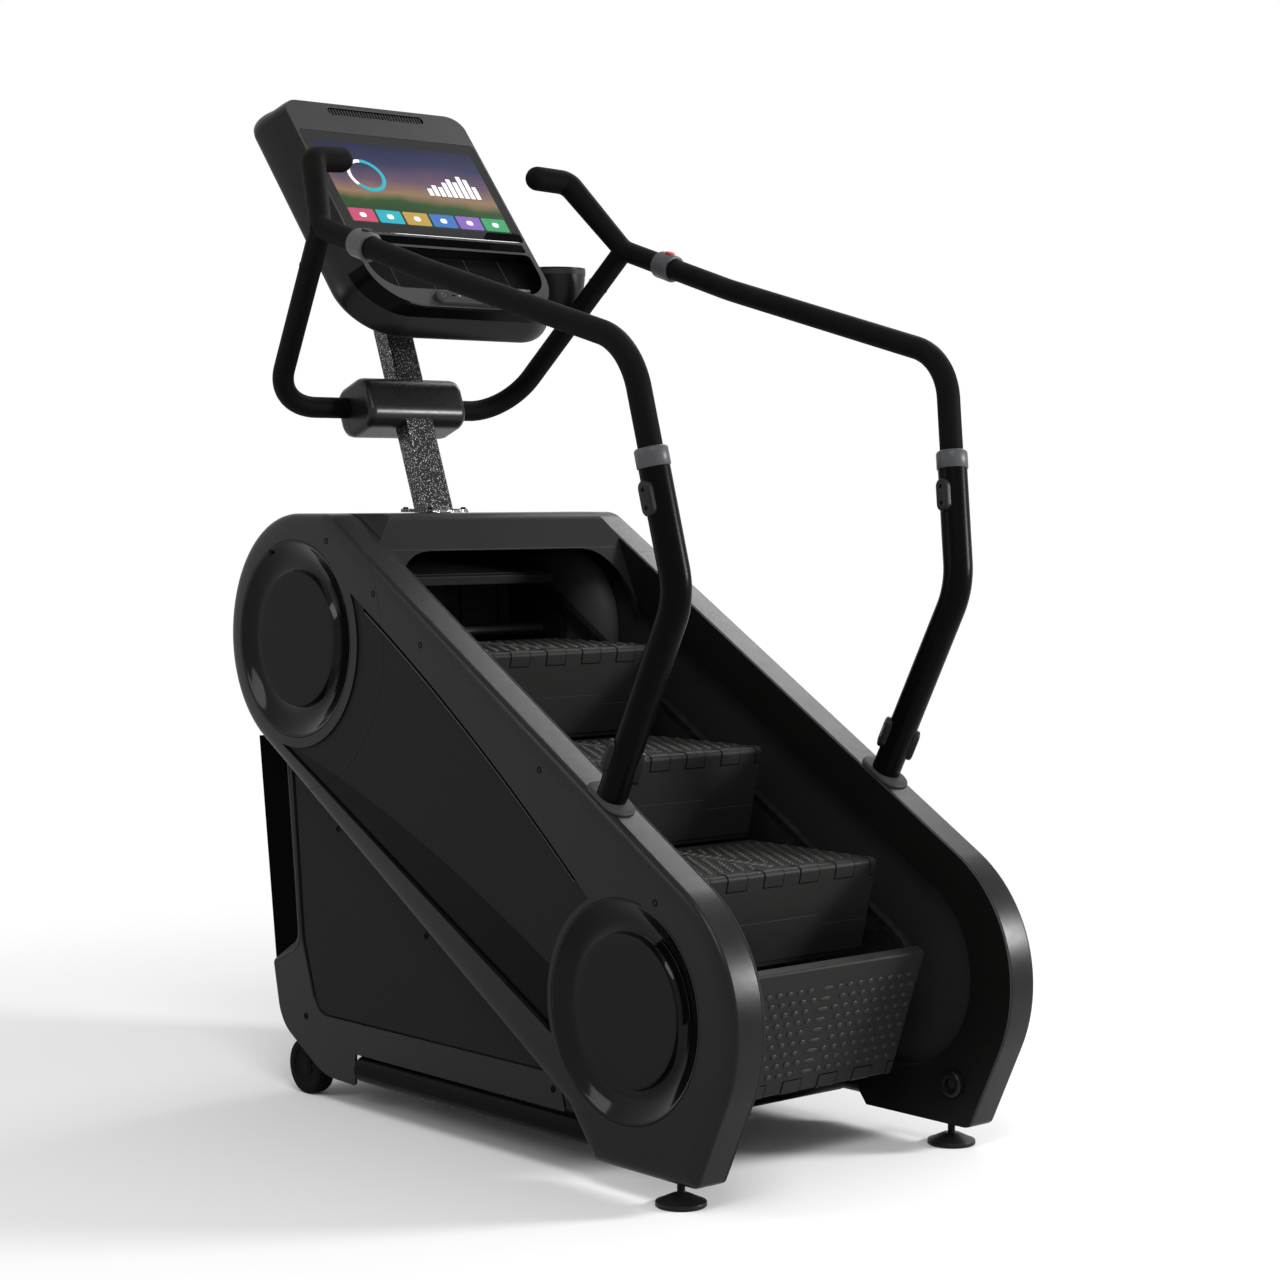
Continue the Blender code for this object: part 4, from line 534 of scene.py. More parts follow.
class Wiring:
    """A node tree that is wired up node by node."""

    def __init__(self, tree: Tree) -> None:
        """Take the tree."""
        self.tree = tree

    def add(self, kind: str, sources: dict | None = None, **settings: object) -> bpy.types.Node:
        """Add a node, set its properties and feed its inputs.

        Args:
            kind: The node's type.
            sources: Input names or numbers with a socket to link or a value to set.
            settings: Properties of the node.

        Returns:
            The new node.
        """
        node = self.tree.nodes.new(kind)
        for key, value in settings.items():
            setattr(node, key, value)
        self.feed(node, sources or {})
        return node

    def feed(self, node: bpy.types.Node, sources: dict) -> None:
        """Feed a node's inputs.

        Args:
            node: The node.
            sources: Input names or numbers with a socket to link or a value to set.
        """
        for key, value in sources.items():
            if isinstance(value, Socket):
                self.tree.links.new(value, node.inputs[key])
            else:
                node.inputs[key].default_value = value

    def out(self, kind: str, sources: dict | None = None, **settings: object) -> Socket:
        """The first output of a new node."""
        return self.add(kind, sources, **settings).outputs[0]

    def group(self, tree: Tree, sources: dict) -> bpy.types.bpy_prop_collection:
        """The outputs of a shared group that is placed in this tree."""
        return self.add("ShaderNodeGroup", sources, node_tree=tree).outputs

    def end(self, **results: Socket) -> Tree:
        """Lead sockets to the group's outputs of the same names."""
        self.add("NodeGroupOutput", results)
        return self.tree

    def place(self) -> Socket:
        """The piece's own coordinates."""
        return self.add("ShaderNodeTexCoord").outputs["Object"]

    def math(self, operation: str, *values: object) -> Socket:
        """The result of some arithmetic."""
        return self.out("ShaderNodeMath", dict(enumerate(values)), operation=operation)

    def noise(self, scale: object, detail: float, distortion: float = 0.0) -> Socket:
        """Noise over the piece's own coordinates."""
        sources = {"Vector": self.place(), "Scale": scale, "Detail": detail, "Distortion": distortion}
        return self.out("ShaderNodeTexNoise", sources)

    def span(self, value: Socket, low: object, high: object, **settings: object) -> Socket:
        """Where a value lies in a span, from zero to one."""
        return self.out("ShaderNodeMapRange", {0: value, 1: low, 2: high}, **settings)

    def mix(self, share: Socket, first: object, second: object) -> Socket:
        """A blend of two colours."""
        return self.add("ShaderNodeMix", {0: share, 6: first, 7: second}, data_type="RGBA").outputs[2]


def new_group(name: str, kind: str, inputs: dict[str, str], outputs: dict[str, str]) -> tuple:
    """A new node group with its sockets.

    Args:
        name: The group's name.
        kind: Shader or Geometry.
        inputs: Names of the inputs with the types of their sockets.
        outputs: Names of the outputs with theirs.

    Returns:
        The group's wiring and the sockets of its inputs.
    """
    tree = bpy.data.node_groups.new(name, f"{kind}NodeTree")
    for way, sockets in (("INPUT", inputs), ("OUTPUT", outputs)):
        for label, socket in sockets.items():
            tree.interface.new_socket(label, in_out=way, socket_type=f"NodeSocket{socket}")
    return Wiring(tree), tree.nodes.new("NodeGroupInput").outputs


@cache
def moulding() -> Tree:
    """Fine moulded grain with slow drifts of tone and gloss.

    Returns:
        The shader group.
    """
    inputs = {"Colour": "Color", "Roughness": "Float", "Scale": "Float", "Mottle": "Float", "Rub": "Float"}
    outputs = {"Colour": "Color", "Roughness": "Float", "Height": "Float"}
    wiring, given = new_group("moulding", "Shader", inputs, outputs)
    drift = wiring.math("ADD", wiring.noise(4.0, 4.0), wiring.noise(60.0, 3.0))
    even = wiring.math("SUBTRACT", drift, 1.0)
    tone = wiring.math("MULTIPLY_ADD", even, given["Mottle"], 1.0)
    gloss = wiring.math("MULTIPLY_ADD", even, given["Rub"], given["Roughness"])
    colour = wiring.add("ShaderNodeVectorMath", {0: given["Colour"], "Scale": tone}, operation="SCALE")
    return wiring.end(Colour=colour.outputs[0], Roughness=gloss, Height=wiring.noise(given["Scale"], 2.0))


@cache
def dusting() -> Tree:
    """A thin pale film that settles in patches on faces turned up.

    Returns:
        The shader group.
    """
    inputs = {"Colour": "Color", "Roughness": "Float", "Amount": "Float"}
    wiring, given = new_group("dusting", "Shader", inputs, {"Colour": "Color", "Roughness": "Float"})
    normal = wiring.add("ShaderNodeNewGeometry").outputs["Normal"]
    up = wiring.add("ShaderNodeSeparateXYZ", {0: normal}).outputs["Z"]
    facing = wiring.span(up, 0.2, 1.0, interpolation_type="SMOOTHSTEP")
    thin = wiring.span(wiring.noise(14.0, 6.0), 0.35, 0.75)
    share = wiring.math("MULTIPLY", wiring.math("MULTIPLY", facing, thin), given["Amount"])
    colour = wiring.mix(share, given["Colour"], (0.30, 0.285, 0.25, 1.0))
    rough = wiring.add("ShaderNodeMix", {0: share, 2: given["Roughness"], 3: 0.9}, data_type="FLOAT")
    return wiring.end(Colour=colour, Roughness=rough.outputs[0])


@cache
def height_blend() -> Tree:
    """Colours that change with height, as the display's background.

    Returns:
        The shader group.
    """
    inputs = {"Low": "Float", "High": "Float"}
    wiring, given = new_group("height_blend", "Shader", inputs, {"Colour": "Color"})
    height = wiring.add("ShaderNodeSeparateXYZ", {0: wiring.place()}).outputs["Z"]
    sway = wiring.math("MULTIPLY_ADD", wiring.noise(7.0, 3.0), 0.05, height)
    ramp = wiring.add("ShaderNodeValToRGB", {0: wiring.span(sway, given["Low"], given["High"])})
    stops = (
        (0.0, (0.012, 0.040, 0.012)), (0.30, (0.030, 0.085, 0.022)), (0.42, (0.30, 0.19, 0.11)),
        (0.58, (0.14, 0.085, 0.13)), (0.78, (0.035, 0.038, 0.10)), (1.0, (0.016, 0.022, 0.060)),
    )
    while len(ramp.color_ramp.elements) < len(stops):
        ramp.color_ramp.elements.new(0.5)
    for element, (spot, colour) in zip(ramp.color_ramp.elements, stops):
        element.position = spot
        element.color = (*colour, 1.0)
    return wiring.end(Colour=ramp.outputs["Color"])


@cache
def speckle() -> Tree:
    """Bright veined flecks, as in a hammered paint.

    Returns:
        The shader group.
    """
    inputs = {"Colour": "Color", "Fleck": "Color", "Scale": "Float", "Cover": "Float"}
    wiring, given = new_group("speckle", "Shader", inputs, {"Colour": "Color", "Mask": "Float"})
    cell = wiring.add("ShaderNodeTexVoronoi", {"Vector": wiring.place(), "Scale": given["Scale"]})
    mixed = wiring.math("SUBTRACT", wiring.noise(given["Scale"], 3.0, 1.2), cell.outputs[0])
    low = wiring.math("SUBTRACT", 0.32, given["Cover"])
    mask = wiring.span(mixed, low, wiring.math("ADD", low, 0.05))
    return wiring.end(Colour=wiring.mix(mask, given["Colour"], given["Fleck"]), Mask=mask)


def new_material(name: str, values: dict) -> tuple[bpy.types.Material, Wiring, bpy.types.Node]:
    """A new material.

    Args:
        name: The material's name.
        values: Inputs of its shader with their values.

    Returns:
        The material, its wiring and its shader.
    """
    made = bpy.data.materials.new(name)
    made.use_nodes = True
    wiring = Wiring(made.node_tree)
    shader = made.node_tree.nodes["Principled BSDF"]
    wiring.feed(shader, values)
    return made, wiring, shader


@dataclass(frozen=True)
class Finish:
    """One surface finish, from its colour to its grain."""

    name: str
    slot: str
    colour: Triple
    roughness: float
    metallic: float = 0.0
    specular: float = 0.30
    grain: float = 900.0
    depth: float = 0.12
    mottle: float = 0.16
    rub: float = 0.10
    dust: float = 0.02
    flecks: Triple | None = None
    fleck_cover: float = 0.0
    fleck_scale: float = 310.0
    bump: float = 0.0006
    glow: float = 0.0

    @cache
    def material(self) -> bpy.types.Material:
        """The finish's material, built once.

        Returns:
            The material.
        """
        values = {"Metallic": self.metallic, "Specular IOR Level": self.specular}
        made, wiring, shader = new_material(self.name, values)
        paint: object = (*self.colour, 1.0)
        if self.flecks is not None:
            values = {"Colour": paint, "Fleck": (*self.flecks, 1.0), "Scale": self.fleck_scale}
            fleck = wiring.group(speckle(), values | {"Cover": self.fleck_cover})
            paint = fleck["Colour"]
            wiring.feed(shader, {"Metallic": fleck["Mask"]})
        values = {"Colour": paint, "Roughness": self.roughness, "Scale": self.grain}
        skin = wiring.group(moulding(), values | {"Mottle": self.mottle, "Rub": self.rub})
        values = {"Colour": skin["Colour"], "Roughness": skin["Roughness"], "Amount": self.dust}
        film = wiring.group(dusting(), values)
        values = {"Height": skin["Height"], "Strength": self.depth, "Distance": self.bump}
        relief = wiring.out("ShaderNodeBump", values)
        values = {"Base Color": film["Colour"], "Roughness": film["Roughness"], "Normal": relief}
        wiring.feed(shader, values)
        if self.glow > 0.0:
            wiring.feed(shader, {"Emission Color": film["Colour"], "Emission Strength": self.glow})
        return made


def plain(name: str, slot: str, grey: float, roughness: float, specular: float, **more: float) -> Finish:
    """A finish of an even grey."""
    return Finish(name, slot, (grey, grey, grey), roughness, specular=specular, **more)


def pixel(name: str, colour: Triple, glow: float = 0.7) -> Finish:
    """A finish that glows on the display."""
    return Finish(name, "screen_glass", colour, 0.40, specular=0.05, dust=0.0, glow=glow)


SHELL_SKIN = Finish(
    "shell_skin", "charcoal_plastic", (0.0045, 0.0044, 0.0041), 0.32,
    specular=0.16, grain=1500.0, mottle=0.10,
)
PANEL_SKIN = plain("panel_skin", "charcoal_plastic", 0.0105, 0.60, 0.06, grain=1100.0, mottle=0.12)
GLOSS_BLACK = plain("gloss_black_skin", "gloss_black", 0.002, 0.09, 0.12, depth=0.02, rub=0.05)
BAND_BLACK = plain("band_black", "gloss_black", 0.002, 0.20, 0.035, depth=0.02, dust=0.0)
BLACK_MOULDING = plain("black_moulding", "black_plastic", 0.007, 0.40, 0.14, grain=1300.0)
# The own dark of inner parts such as the mast beam and the brake, and painted shade on the skirt's pocket.
INSIDE_DARK_AND_SHADE = plain("dark_inside", "black_plastic", 0.016, 0.60, 0.06, grain=800.0)
# Partly painted light: a grey plastic, made lighter to stand in for light that hardly reaches into the
# machine.
GUARD_WITH_PAINTED_LIGHT = Finish("guard_plastic", "black_plastic", (0.040, 0.040, 0.039), 0.55, specular=0.10)
TREAD = Finish(
    "tread_moulding", "tread_plastic", (0.0155, 0.0152, 0.0147), 0.50,
    specular=0.08, grain=700.0, depth=0.2, dust=0.04,
)
# Painted light: the studs are the tread's own plastic, made lighter so that they read as lit.
STUD_PAINTED_LIGHT = Finish(
    "tread_stud", "tread_plastic", (0.022, 0.0217, 0.021), 0.42,
    specular=0.14, grain=700.0, depth=0.1, dust=0.05,
)
# Near black, used as painted shade round the nosing tabs, on the vent's floor and in the port bar's holes,
# and also for the seam line, the pad screws and the lower cover's channel.
TREAD_DARK = plain("tread_shadow_gap", "tread_plastic", 0.003, 0.80, 0.03, grain=700.0, depth=0.2)
# Painted light: the hood is the shells' plastic, made lighter to stand in for light on its face.
HOOD_PAINTED_LIGHT = Finish("hood_skin", "black_plastic", (0.0095, 0.0095, 0.0093), 0.40, specular=0.11, grain=1300.0)
GLOSS_PAINT = Finish(
    "gloss_paint", "black_paint", (0.0020, 0.0020, 0.0019), 0.28,
    specular=0.03, grain=320.0, depth=0.05, dust=0.005,
)
HAMMERED = Finish(
    "hammered_paint", "speckled_paint", (0.008, 0.008, 0.009), 0.34, specular=0.2, grain=300.0, depth=0.20,
    flecks=(0.80, 0.80, 0.82), fleck_cover=0.055,
)
GRIP = Finish(
    "grip_rubber", "rubber_grip", (0.0036, 0.0036, 0.0034), 0.62,
    specular=0.03, grain=1800.0, depth=0.22, mottle=0.25,
)
RING_GREY = Finish(
    "ring_grey", "grey_plastic", (0.056, 0.057, 0.061), 0.36, specular=0.16, grain=1200.0, mottle=0.08
)
BOOT_GREY = Finish("boot_grey", "console_grey", (0.028, 0.028, 0.0285), 0.55, specular=0.12, grain=1200.0)
CONSOLE_GREY = Finish(
    "console_face_grey", "console_grey", (0.027, 0.027, 0.0267), 0.42,
    specular=0.12, grain=1500.0, mottle=0.08,
)
TRIM_SILVER = Finish("tray_silver", "console_grey", (0.22, 0.22, 0.23), 0.32, metallic=0.6, mottle=0.06)
KEY_RED = Finish("key_red", "red_plastic", (0.42, 0.020, 0.015), 0.35, specular=0.2, mottle=0.05)
KEY_GREEN = Finish("key_green", "green_plastic", (0.030, 0.190, 0.070), 0.32, specular=0.2, mottle=0.05)
KEY_WHITE = Finish("key_white", "grey_plastic", (0.62, 0.64, 0.62), 0.35, specular=0.2, mottle=0.04)
OILED_METAL = Finish(
    "oiled_metal", "dark_steel", (0.05, 0.05, 0.052), 0.45,
    metallic=1.0, grain=420.0, depth=0.2, mottle=0.3, rub=0.25,
)
SCREW_METAL = plain("screw_metal", "dark_steel", 0.002, 0.50, 0.04, dust=0.0)
CLAMP_BLACK = plain("clamp_black", "black_plastic", 0.0085, 0.28, 0.22, depth=0.0, mottle=0.05, dust=0.0)
# Flat black of the rear cover and the label strip, also used as painted shade in the panel's groove and the
# disc's slot.
REAR_BLACK = plain("rear_black", "black_plastic", 0.0025, 0.70, 0.0, dust=0.0)
BELT_RUBBER = plain("belt_rubber", "drive_rubber", 0.005, 0.70, 0.03, grain=600.0, depth=0.3, mottle=0.3)
GLASS = Finish(
    "display_glass", "screen_glass", (0.004, 0.004, 0.005), 0.06,
    specular=0.22, grain=200.0, depth=0.0, dust=0.0,
)
PIXEL_WHITE = pixel("pixel_white", (0.62, 0.66, 0.70), 0.55)
PIXEL_COLOURS = (
    pixel("pixel_rose", (0.30, 0.045, 0.09)),
    pixel("pixel_teal", (0.02, 0.22, 0.27)),
    pixel("pixel_ochre", (0.26, 0.17, 0.04)),
    pixel("pixel_blue", (0.03, 0.09, 0.26)),
    pixel("pixel_violet", (0.13, 0.07, 0.26)),
    pixel("pixel_leaf", (0.03, 0.18, 0.08)),
)
LAMP_GREEN = pixel("lamp_green", (0.05, 0.60, 0.10), 0.9)


@dataclass(frozen=True)
class Picture:
    """The glowing background of the display, blended by height."""

    name: str
    slot: str
    low: float
    high: float

    @cache
    def material(self) -> bpy.types.Material:
        """The picture's material, built once.

        Returns:
            The material.
        """
        values = {"Base Color": (0.002, 0.002, 0.003, 1.0), "Roughness": 0.3}
        values |= {"Specular IOR Level": 0.06, "Emission Strength": 1.0}
        made, wiring, shader = new_material(self.name, values)
        blend = wiring.group(height_blend(), {"Low": self.low, "High": self.high})
        wiring.feed(shader, {"Emission Color": blend["Colour"]})
        return made


PICTURE = Picture("display_picture_glow", "screen_glass", 1.957, 2.156)


def repeat_group(name: str, inputs: dict[str, str]) -> tuple:
    """A new Geometry Nodes group for copies of a shape."""
    inputs = {"Geometry": "Geometry"} | inputs | {"Shape": "Object", "Finish": "Material"}
    return new_group(name, "Geometry", inputs, {"Geometry": "Geometry"})


def copies(wiring: Wiring, given: object, points: Socket, **more: Socket) -> Tree:
    """Put the shape on points, realize the copies and set their finish.

    Args:
        wiring: The group's wiring.
        given: The sockets of its inputs.
        points: Where the copies go.
        more: Further inputs of the node that makes the copies.

    Returns:
        The finished group.
    """
    shape = wiring.add("GeometryNodeObjectInfo", {"Object": given["Shape"]}).outputs["Geometry"]
    laid = wiring.add("GeometryNodeInstanceOnPoints", {"Points": points, "Instance": shape} | more)
    real = wiring.out("GeometryNodeRealizeInstances", {"Geometry": laid.outputs[0]})
    dressed = wiring.add("GeometryNodeSetMaterial", {"Geometry": real, "Material": given["Finish"]})
    return wiring.end(Geometry=dressed.outputs[0])


@cache
def row_group() -> Tree:
    """Copies in a straight row.

    Returns:
        The Geometry Nodes group.
    """
    wiring, given = repeat_group("row", {"Count": "Int", "Step": "Vector"})
    sources = {"Count": given["Count"], "Offset": given["Step"]}
    return copies(wiring, given, wiring.out("GeometryNodeMeshLine", sources, mode="OFFSET"))


@cache
def field_group() -> Tree:
    """Copies in a flat field about the origin, each second row moved aside.

    Returns:
        The Geometry Nodes group.
    """
    inputs = {"Columns": "Int", "Rows": "Int", "Width": "Float", "Depth": "Float", "Stagger": "Float"}
    wiring, given = repeat_group("field", inputs)
    sources = {"Size X": given["Width"], "Size Y": given["Depth"]}
    sources |= {"Vertices X": given["Columns"], "Vertices Y": given["Rows"]}
    grid = wiring.add("GeometryNodeMeshGrid", sources).outputs["Mesh"]
    index = wiring.out("GeometryNodeInputIndex")
    odd = wiring.math("MODULO", wiring.math("MODULO", index, given["Rows"]), 2.0)
    shift = wiring.math("MULTIPLY", odd, given["Stagger"])
    aside = wiring.out("ShaderNodeCombineXYZ", {"X": shift})
    moved = wiring.add("GeometryNodeSetPosition", {"Geometry": grid, "Offset": aside})
    return copies(wiring, given, moved.outputs[0])


@cache
def scatter_group() -> Tree:
    """Copies at the host's points, all turned alike.

    Returns:
        The Geometry Nodes group.
    """
    wiring, given = repeat_group("scatter", {"Turn": "Vector"})
    turn = wiring.out("FunctionNodeEulerToRotation", {0: given["Turn"]})
    return copies(wiring, given, given["Geometry"], Rotation=turn)


def repeated(tree: Tree, shape: Mesh, finish: Finish, values: dict, places: Sequence = ((0, 0, 0),)) -> Mesh:
    """Run a Geometry Nodes group on a host and turn its copies into plain mesh.

    Args:
        tree: The group.
        shape: The shape that it repeats, which is used up.
        finish: The finish that it sets.
        values: Its named inputs.
        places: The host's points.

    Returns:
        The copies as one mesh.
    """
    model = placed("shape", stored(shape, "shape"))
    host = placed("host", bpy.data.meshes.new("host"))
    host.data.from_pydata([tuple(p) for p in places], [], [])
    modifier = host.modifiers.new("repeat", "NODES")
    modifier.node_group = tree
    values = values | {"Shape": model, "Finish": finish.material()}
    for item in tree.interface.items_tree:
        if item.in_out == "INPUT" and item.name in values:
            modifier[item.identifier] = values[item.name]
    host.update_tag()
    data = bpy.data.meshes.new_from_object(host.evaluated_get(bpy.context.evaluated_depsgraph_get()))
    host.modifiers.remove(modifier)
    discard((model, host))
    result = bmesh.new()
    result.from_mesh(data)
    bpy.data.meshes.remove(data)
    for face in result.faces:
        face.material_index = 0
    return result


def row(shape: Mesh, count: int, step: Sequence[float], finish: Finish) -> Mesh:
    """Copies of a shape in a straight row, each one step from the one before."""
    return repeated(row_group(), shape, finish, {"Count": count, "Step": tuple(step)})


def scatter(shape: Mesh, places: Sequence[Vector], turn: Triple, finish: Finish) -> Mesh:
    """Copies of a shape at given places, all turned by the same Euler angles."""
    return repeated(scatter_group(), shape, finish, {"Turn": turn}, places)


def soften(obj: bpy.types.Object, width: float, segments: int, angle: float) -> None:
    """Round an object's sharp edges and weight its normals by face size.

    Args:
        obj: The object.
        width: Width of the rounding.
        segments: Facets of the rounding.
        angle: Angle, in degrees, from which an edge is rounded.
    """
    bevel = obj.modifiers.new("soften", "BEVEL")
    bevel.width = width
    bevel.segments = segments
    bevel.limit_method = "ANGLE"
    bevel.angle_limit = radians(angle)
    bevel.use_clamp_overlap = True
    normals = obj.modifiers.new("weigh", "WEIGHTED_NORMAL")
    normals.keep_sharp = True
    plain = obj.data
    graph = bpy.context.evaluated_depsgraph_get()
    obj.data = bpy.data.meshes.new_from_object(obj.evaluated_get(graph))
    obj.modifiers.clear()
    obj.data.name = plain.name
    bpy.data.meshes.remove(plain)


class Assembly:
    """A sub-assembly whose pieces ride on the machine's bodies."""

    @staticmethod
    def piece(
        name: str, mesh: Mesh, finishes: Finish | Picture | tuple, body: str = "frame",
        stands_for: Sequence[str] = (), bevel: float = 0.0, segments: int = 2, angle: float = 32.0,
    ) -> None:
        """Finish one piece and put it on its body.

        Args:
            name: The piece's name.
            mesh: Its mesh, which is used up.
            finishes: Its finish, or several for the mesh's material numbers.
            body: The CAD body that it moves with.
            stands_for: The CAD nodes that it replaces.
            bevel: Width of the rounding of its edges.
            segments: Facets of that rounding.
            angle: Sharpest angle, in degrees, that is shaded smooth or left unbevelled.
        """
        dressing = finishes if isinstance(finishes, tuple) else (finishes,)
        bmesh.ops.remove_doubles(mesh, verts=mesh.verts, dist=TINY)
        data = stored(mesh, name)
        for finish in dressing:
            data.materials.append(finish.material())
        data.shade_smooth()
        obj = placed(name, data)
        if bevel > 0.0:
            soften(obj, bevel, segments, angle)
        else:
            data.set_sharp_from_angle(angle=radians(angle))
        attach(obj, body)
        if stands_for:
            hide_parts(*stands_for)
        LOG.info("%s: %d faces on %s", name, len(obj.data.polygons), body)

    @property
    def prefix(self) -> str:
        """What the names of its pieces start with."""
        return ""

    def skin(self, node: str, mesh: Mesh, finishes: object, body: str = "frame", **looks: float) -> None:
        """A piece that stands for the CAD node of its name."""
        name = f"{self.prefix}{node}"
        self.piece(f"{name}_skin", mesh, finishes, body, [name], **looks)

    def trim(self, name: str, mesh: Mesh, finish: Finish, body: str = "frame", **looks: float) -> None:
        """A piece that stands for no CAD node."""
        self.piece(f"{self.prefix}{name}", mesh, finish, body, **looks)


def screw_head(radius: float, height: float) -> Mesh:
    """A low domed screw head with a round socket, standing on the origin along X."""
    profile = ((1.0, 0.0), (1.0, 0.35), (0.85, 0.8), (0.55, 1.0), (0.55, 0.25), (0.0, 0.25), (0.0, 0.0))
    return lathe([(a * radius, b * height) for a, b in profile], (0, 0, 0), (1, 0, 0), 12)


@dataclass
class SidePart(Assembly):
    """A sub-assembly that each side of the machine has."""

    side: Side

    @property
    def sign(self) -> float:
        """The sign of the side's X."""
        return self.side.value

    @property
    def prefix(self) -> str:
        """The word that the side's names start with."""
        return f"{self.side.label}_"

    def screws(self, name: str, x: float, spots: Sequence[Pair], radius: float, height: float) -> None:
        """Screw heads at (y, z) spots on the outer face.

        Args:
            name: The piece's name without the side.
            x: Distance of the face from the middle.
            spots: Where the screws sit.
            radius: Radius of the heads.
            height: Height of the heads.
        """
        places = [Vector((self.sign * x, *spot)) for spot in spots]
        turn = (0.0, 0.0, 0.0 if self.sign > 0 else pi)
        self.trim(name, scatter(screw_head(radius, height), places, turn, SCREW_METAL), SCREW_METAL)


@dataclass
class SideShell(SidePart):
    """The two halves of one side shell, with the recessed panel between the discs."""

    edge: Pairs = (
        (0.3393, 0.0006), (0.3401, 0.0), (0.3985, 0.0), (0.4030, 0.0012), (0.4068, 0.0040),
        (0.4095, 0.0085), (0.4112, 0.0160), (0.4122, 0.0280), (0.4126, 0.0420),
    )
    wall: float = 0.006
    belt_reach: float = 0.037
    seam_radius: float = 0.330
    pocket_floor: float = 0.4016
    panel_floor: float = 0.4076
    cut_from: float = 0.30
    cut_to: float = 0.43
    disc_radius: float = 0.2165
    rim_low: float = 0.012
    rim_high: float = 0.022
    groove_turn: Pair = (radians(63.2), radians(153.2))
    groove_bow: float = 0.022
    crease_turn: Pair = (radians(14.6), radians(273.1))
    crease_bow: float = 0.024
    band_turn: Pair = (radians(-19.0), radians(283.0))
    band_fall: float = 0.045
    # Two sweeps along the groove: a dark one as painted shade and a light grey one under it as painted
    # highlight.
    strips: tuple[tuple, ...] = (("gap", 0.0048, 0.0044, REAR_BLACK), ("bead", 0.0115, 0.0017, RING_GREY))
    rail_radius: float = 0.0286
    rail_z: float = 0.091
    rail_end: float = -0.246
    screw_radius: float = 0.0075
    screw_height: float = 0.0012
    screw_sink: float = 0.0004
    screw_spots: Pairs = (
        (0.6222, 1.2000), (0.4027, 1.2296), (0.2291, 1.1207),
        (0.0628, 1.0206), (-0.3284, 0.7932), (-0.6732, 0.5719),
    )

    def rim_radius(self, centre: Vector) -> float:
        """Radius of the raised rim round a disc."""
        return self.disc_radius + (self.rim_low if centre == PLAN.lower else self.rim_high)

    def edge_line(self, turns: Pair, bow: float) -> Outline:
        """A bowed line from the lower disc's rim up to the upper one's."""
        ends = [c + heading(a) * self.rim_radius(c) for c, a in zip((PLAN.lower, PLAN.upper), turns)]
        return bowed(*ends, bow)

    def groove(self) -> Outline:
        """The panel's upper edge."""
        return self.edge_line(self.groove_turn, self.groove_bow)

    def crease(self) -> Outline:
        """The line where the panel turns into the gloss band."""
        return self.edge_line(self.crease_turn, self.crease_bow)

    def rim_arc(self, centre: Vector, start: float, end: float) -> Outline:
        """A stretch of the rim round a disc."""
        return arc(centre, self.rim_radius(centre), start, end)

    def panel_outline(self) -> Outline:
        """The matt field between the two discs.

        Returns:
            The points of its edge.
        """
        low = self.rim_arc(PLAN.lower, self.groove_turn[0], self.crease_turn[0])
        high = self.rim_arc(PLAN.upper, self.crease_turn[1], self.groove_turn[1])
        return self.groove()[::-1] + low[1:-1] + self.crease() + high[1:-1]

    def band_floor(self, point: Vector) -> float:
        """Distance of the gloss band from the middle, less and less towards the belt edge.

        Args:
            point: A point of the side.

        Returns:
            Its distance there.
        """
        ends = self.crease()
        line = ends[-1] - ends[0]
        offset = point - ends[0]
        return self.panel_floor + self.band_fall * (line.x * offset.y - line.y * offset.x) / line.length

    def band(self) -> Mesh:
        """The solid cut away over the gloss band, above the rim along the belt edge.

        Returns:
            The new mesh.
        """
        outline = self.rim_arc(PLAN.lower, self.band_turn[0], self.crease_turn[0])
        outline += self.crease()[1:]
        outline += self.rim_arc(PLAN.upper, self.crease_turn[1], self.band_turn[1])[1:]
        near = [Vector((self.sign * self.band_floor(p), p.x, p.y)) for p in outline]
        return loft([near, at_x(outline, self.sign * self.cut_to)])

    def build(self) -> None:
        """Carve both halves and their panel out of one lofted skin."""
        near, far = self.sign * self.cut_from, self.sign * self.cut_to
        halves = (
            (End.UPPER, Cut.LIMIT, self.seam_radius - HAIR),
            (End.LOWER, Cut.AWAY, self.seam_radius + HAIR),
        )
        for half, cut, seam in halves:
            centre = half.centre
            skin = loft([at_x(shell_outline(inset), self.sign * x) for x, inset in self.edge])
            pocket = shell_outline(self.wall, -self.belt_reach)
            skin = carved(skin, prism(pocket, near, self.sign * self.pocket_floor))
            skin = carved(skin, prism(self.panel_outline(), self.sign * self.panel_floor, far))
            skin = carved(skin, self.band())
            skin = carved(skin, rod(seam, (near, *PLAN.upper), (far, *PLAN.upper), 180), cut)
            skin = carved(skin, rod(self.disc_radius + HAIR, (near, *centre), (far, *centre), 120))
            if half is End.LOWER:
                ends = [(self.sign * PLAN.foot_x, y, self.rail_z) for y in (PLAN.foot_y, self.rail_end)]
                skin = carved(skin, rod(self.rail_radius, *ends, 32))
            self._paint(skin)
            finishes = (SHELL_SKIN, PANEL_SKIN, BAND_BLACK)
            self.skin(f"{half.value}_shell", skin, finishes, bevel=0.0009, angle=38.0)
        # Painted shade and painted highlight: a dark sweep and a light one laid along the groove.
        for label, drop, radius, finish in self.strips:
            line = [p - Vector((0.0, drop)) for p in self.groove()[1:-1]]
            path = at_x(line, self.sign * (self.panel_floor + HAIR))
            self.trim(f"panel_{label}", sweep(path, radius, 10, (True, True)), finish, angle=60.0)
        screw_x = PLAN.outer_x - self.screw_sink
        self.screws("shell_screws", screw_x, self.screw_spots, self.screw_radius, self.screw_height)

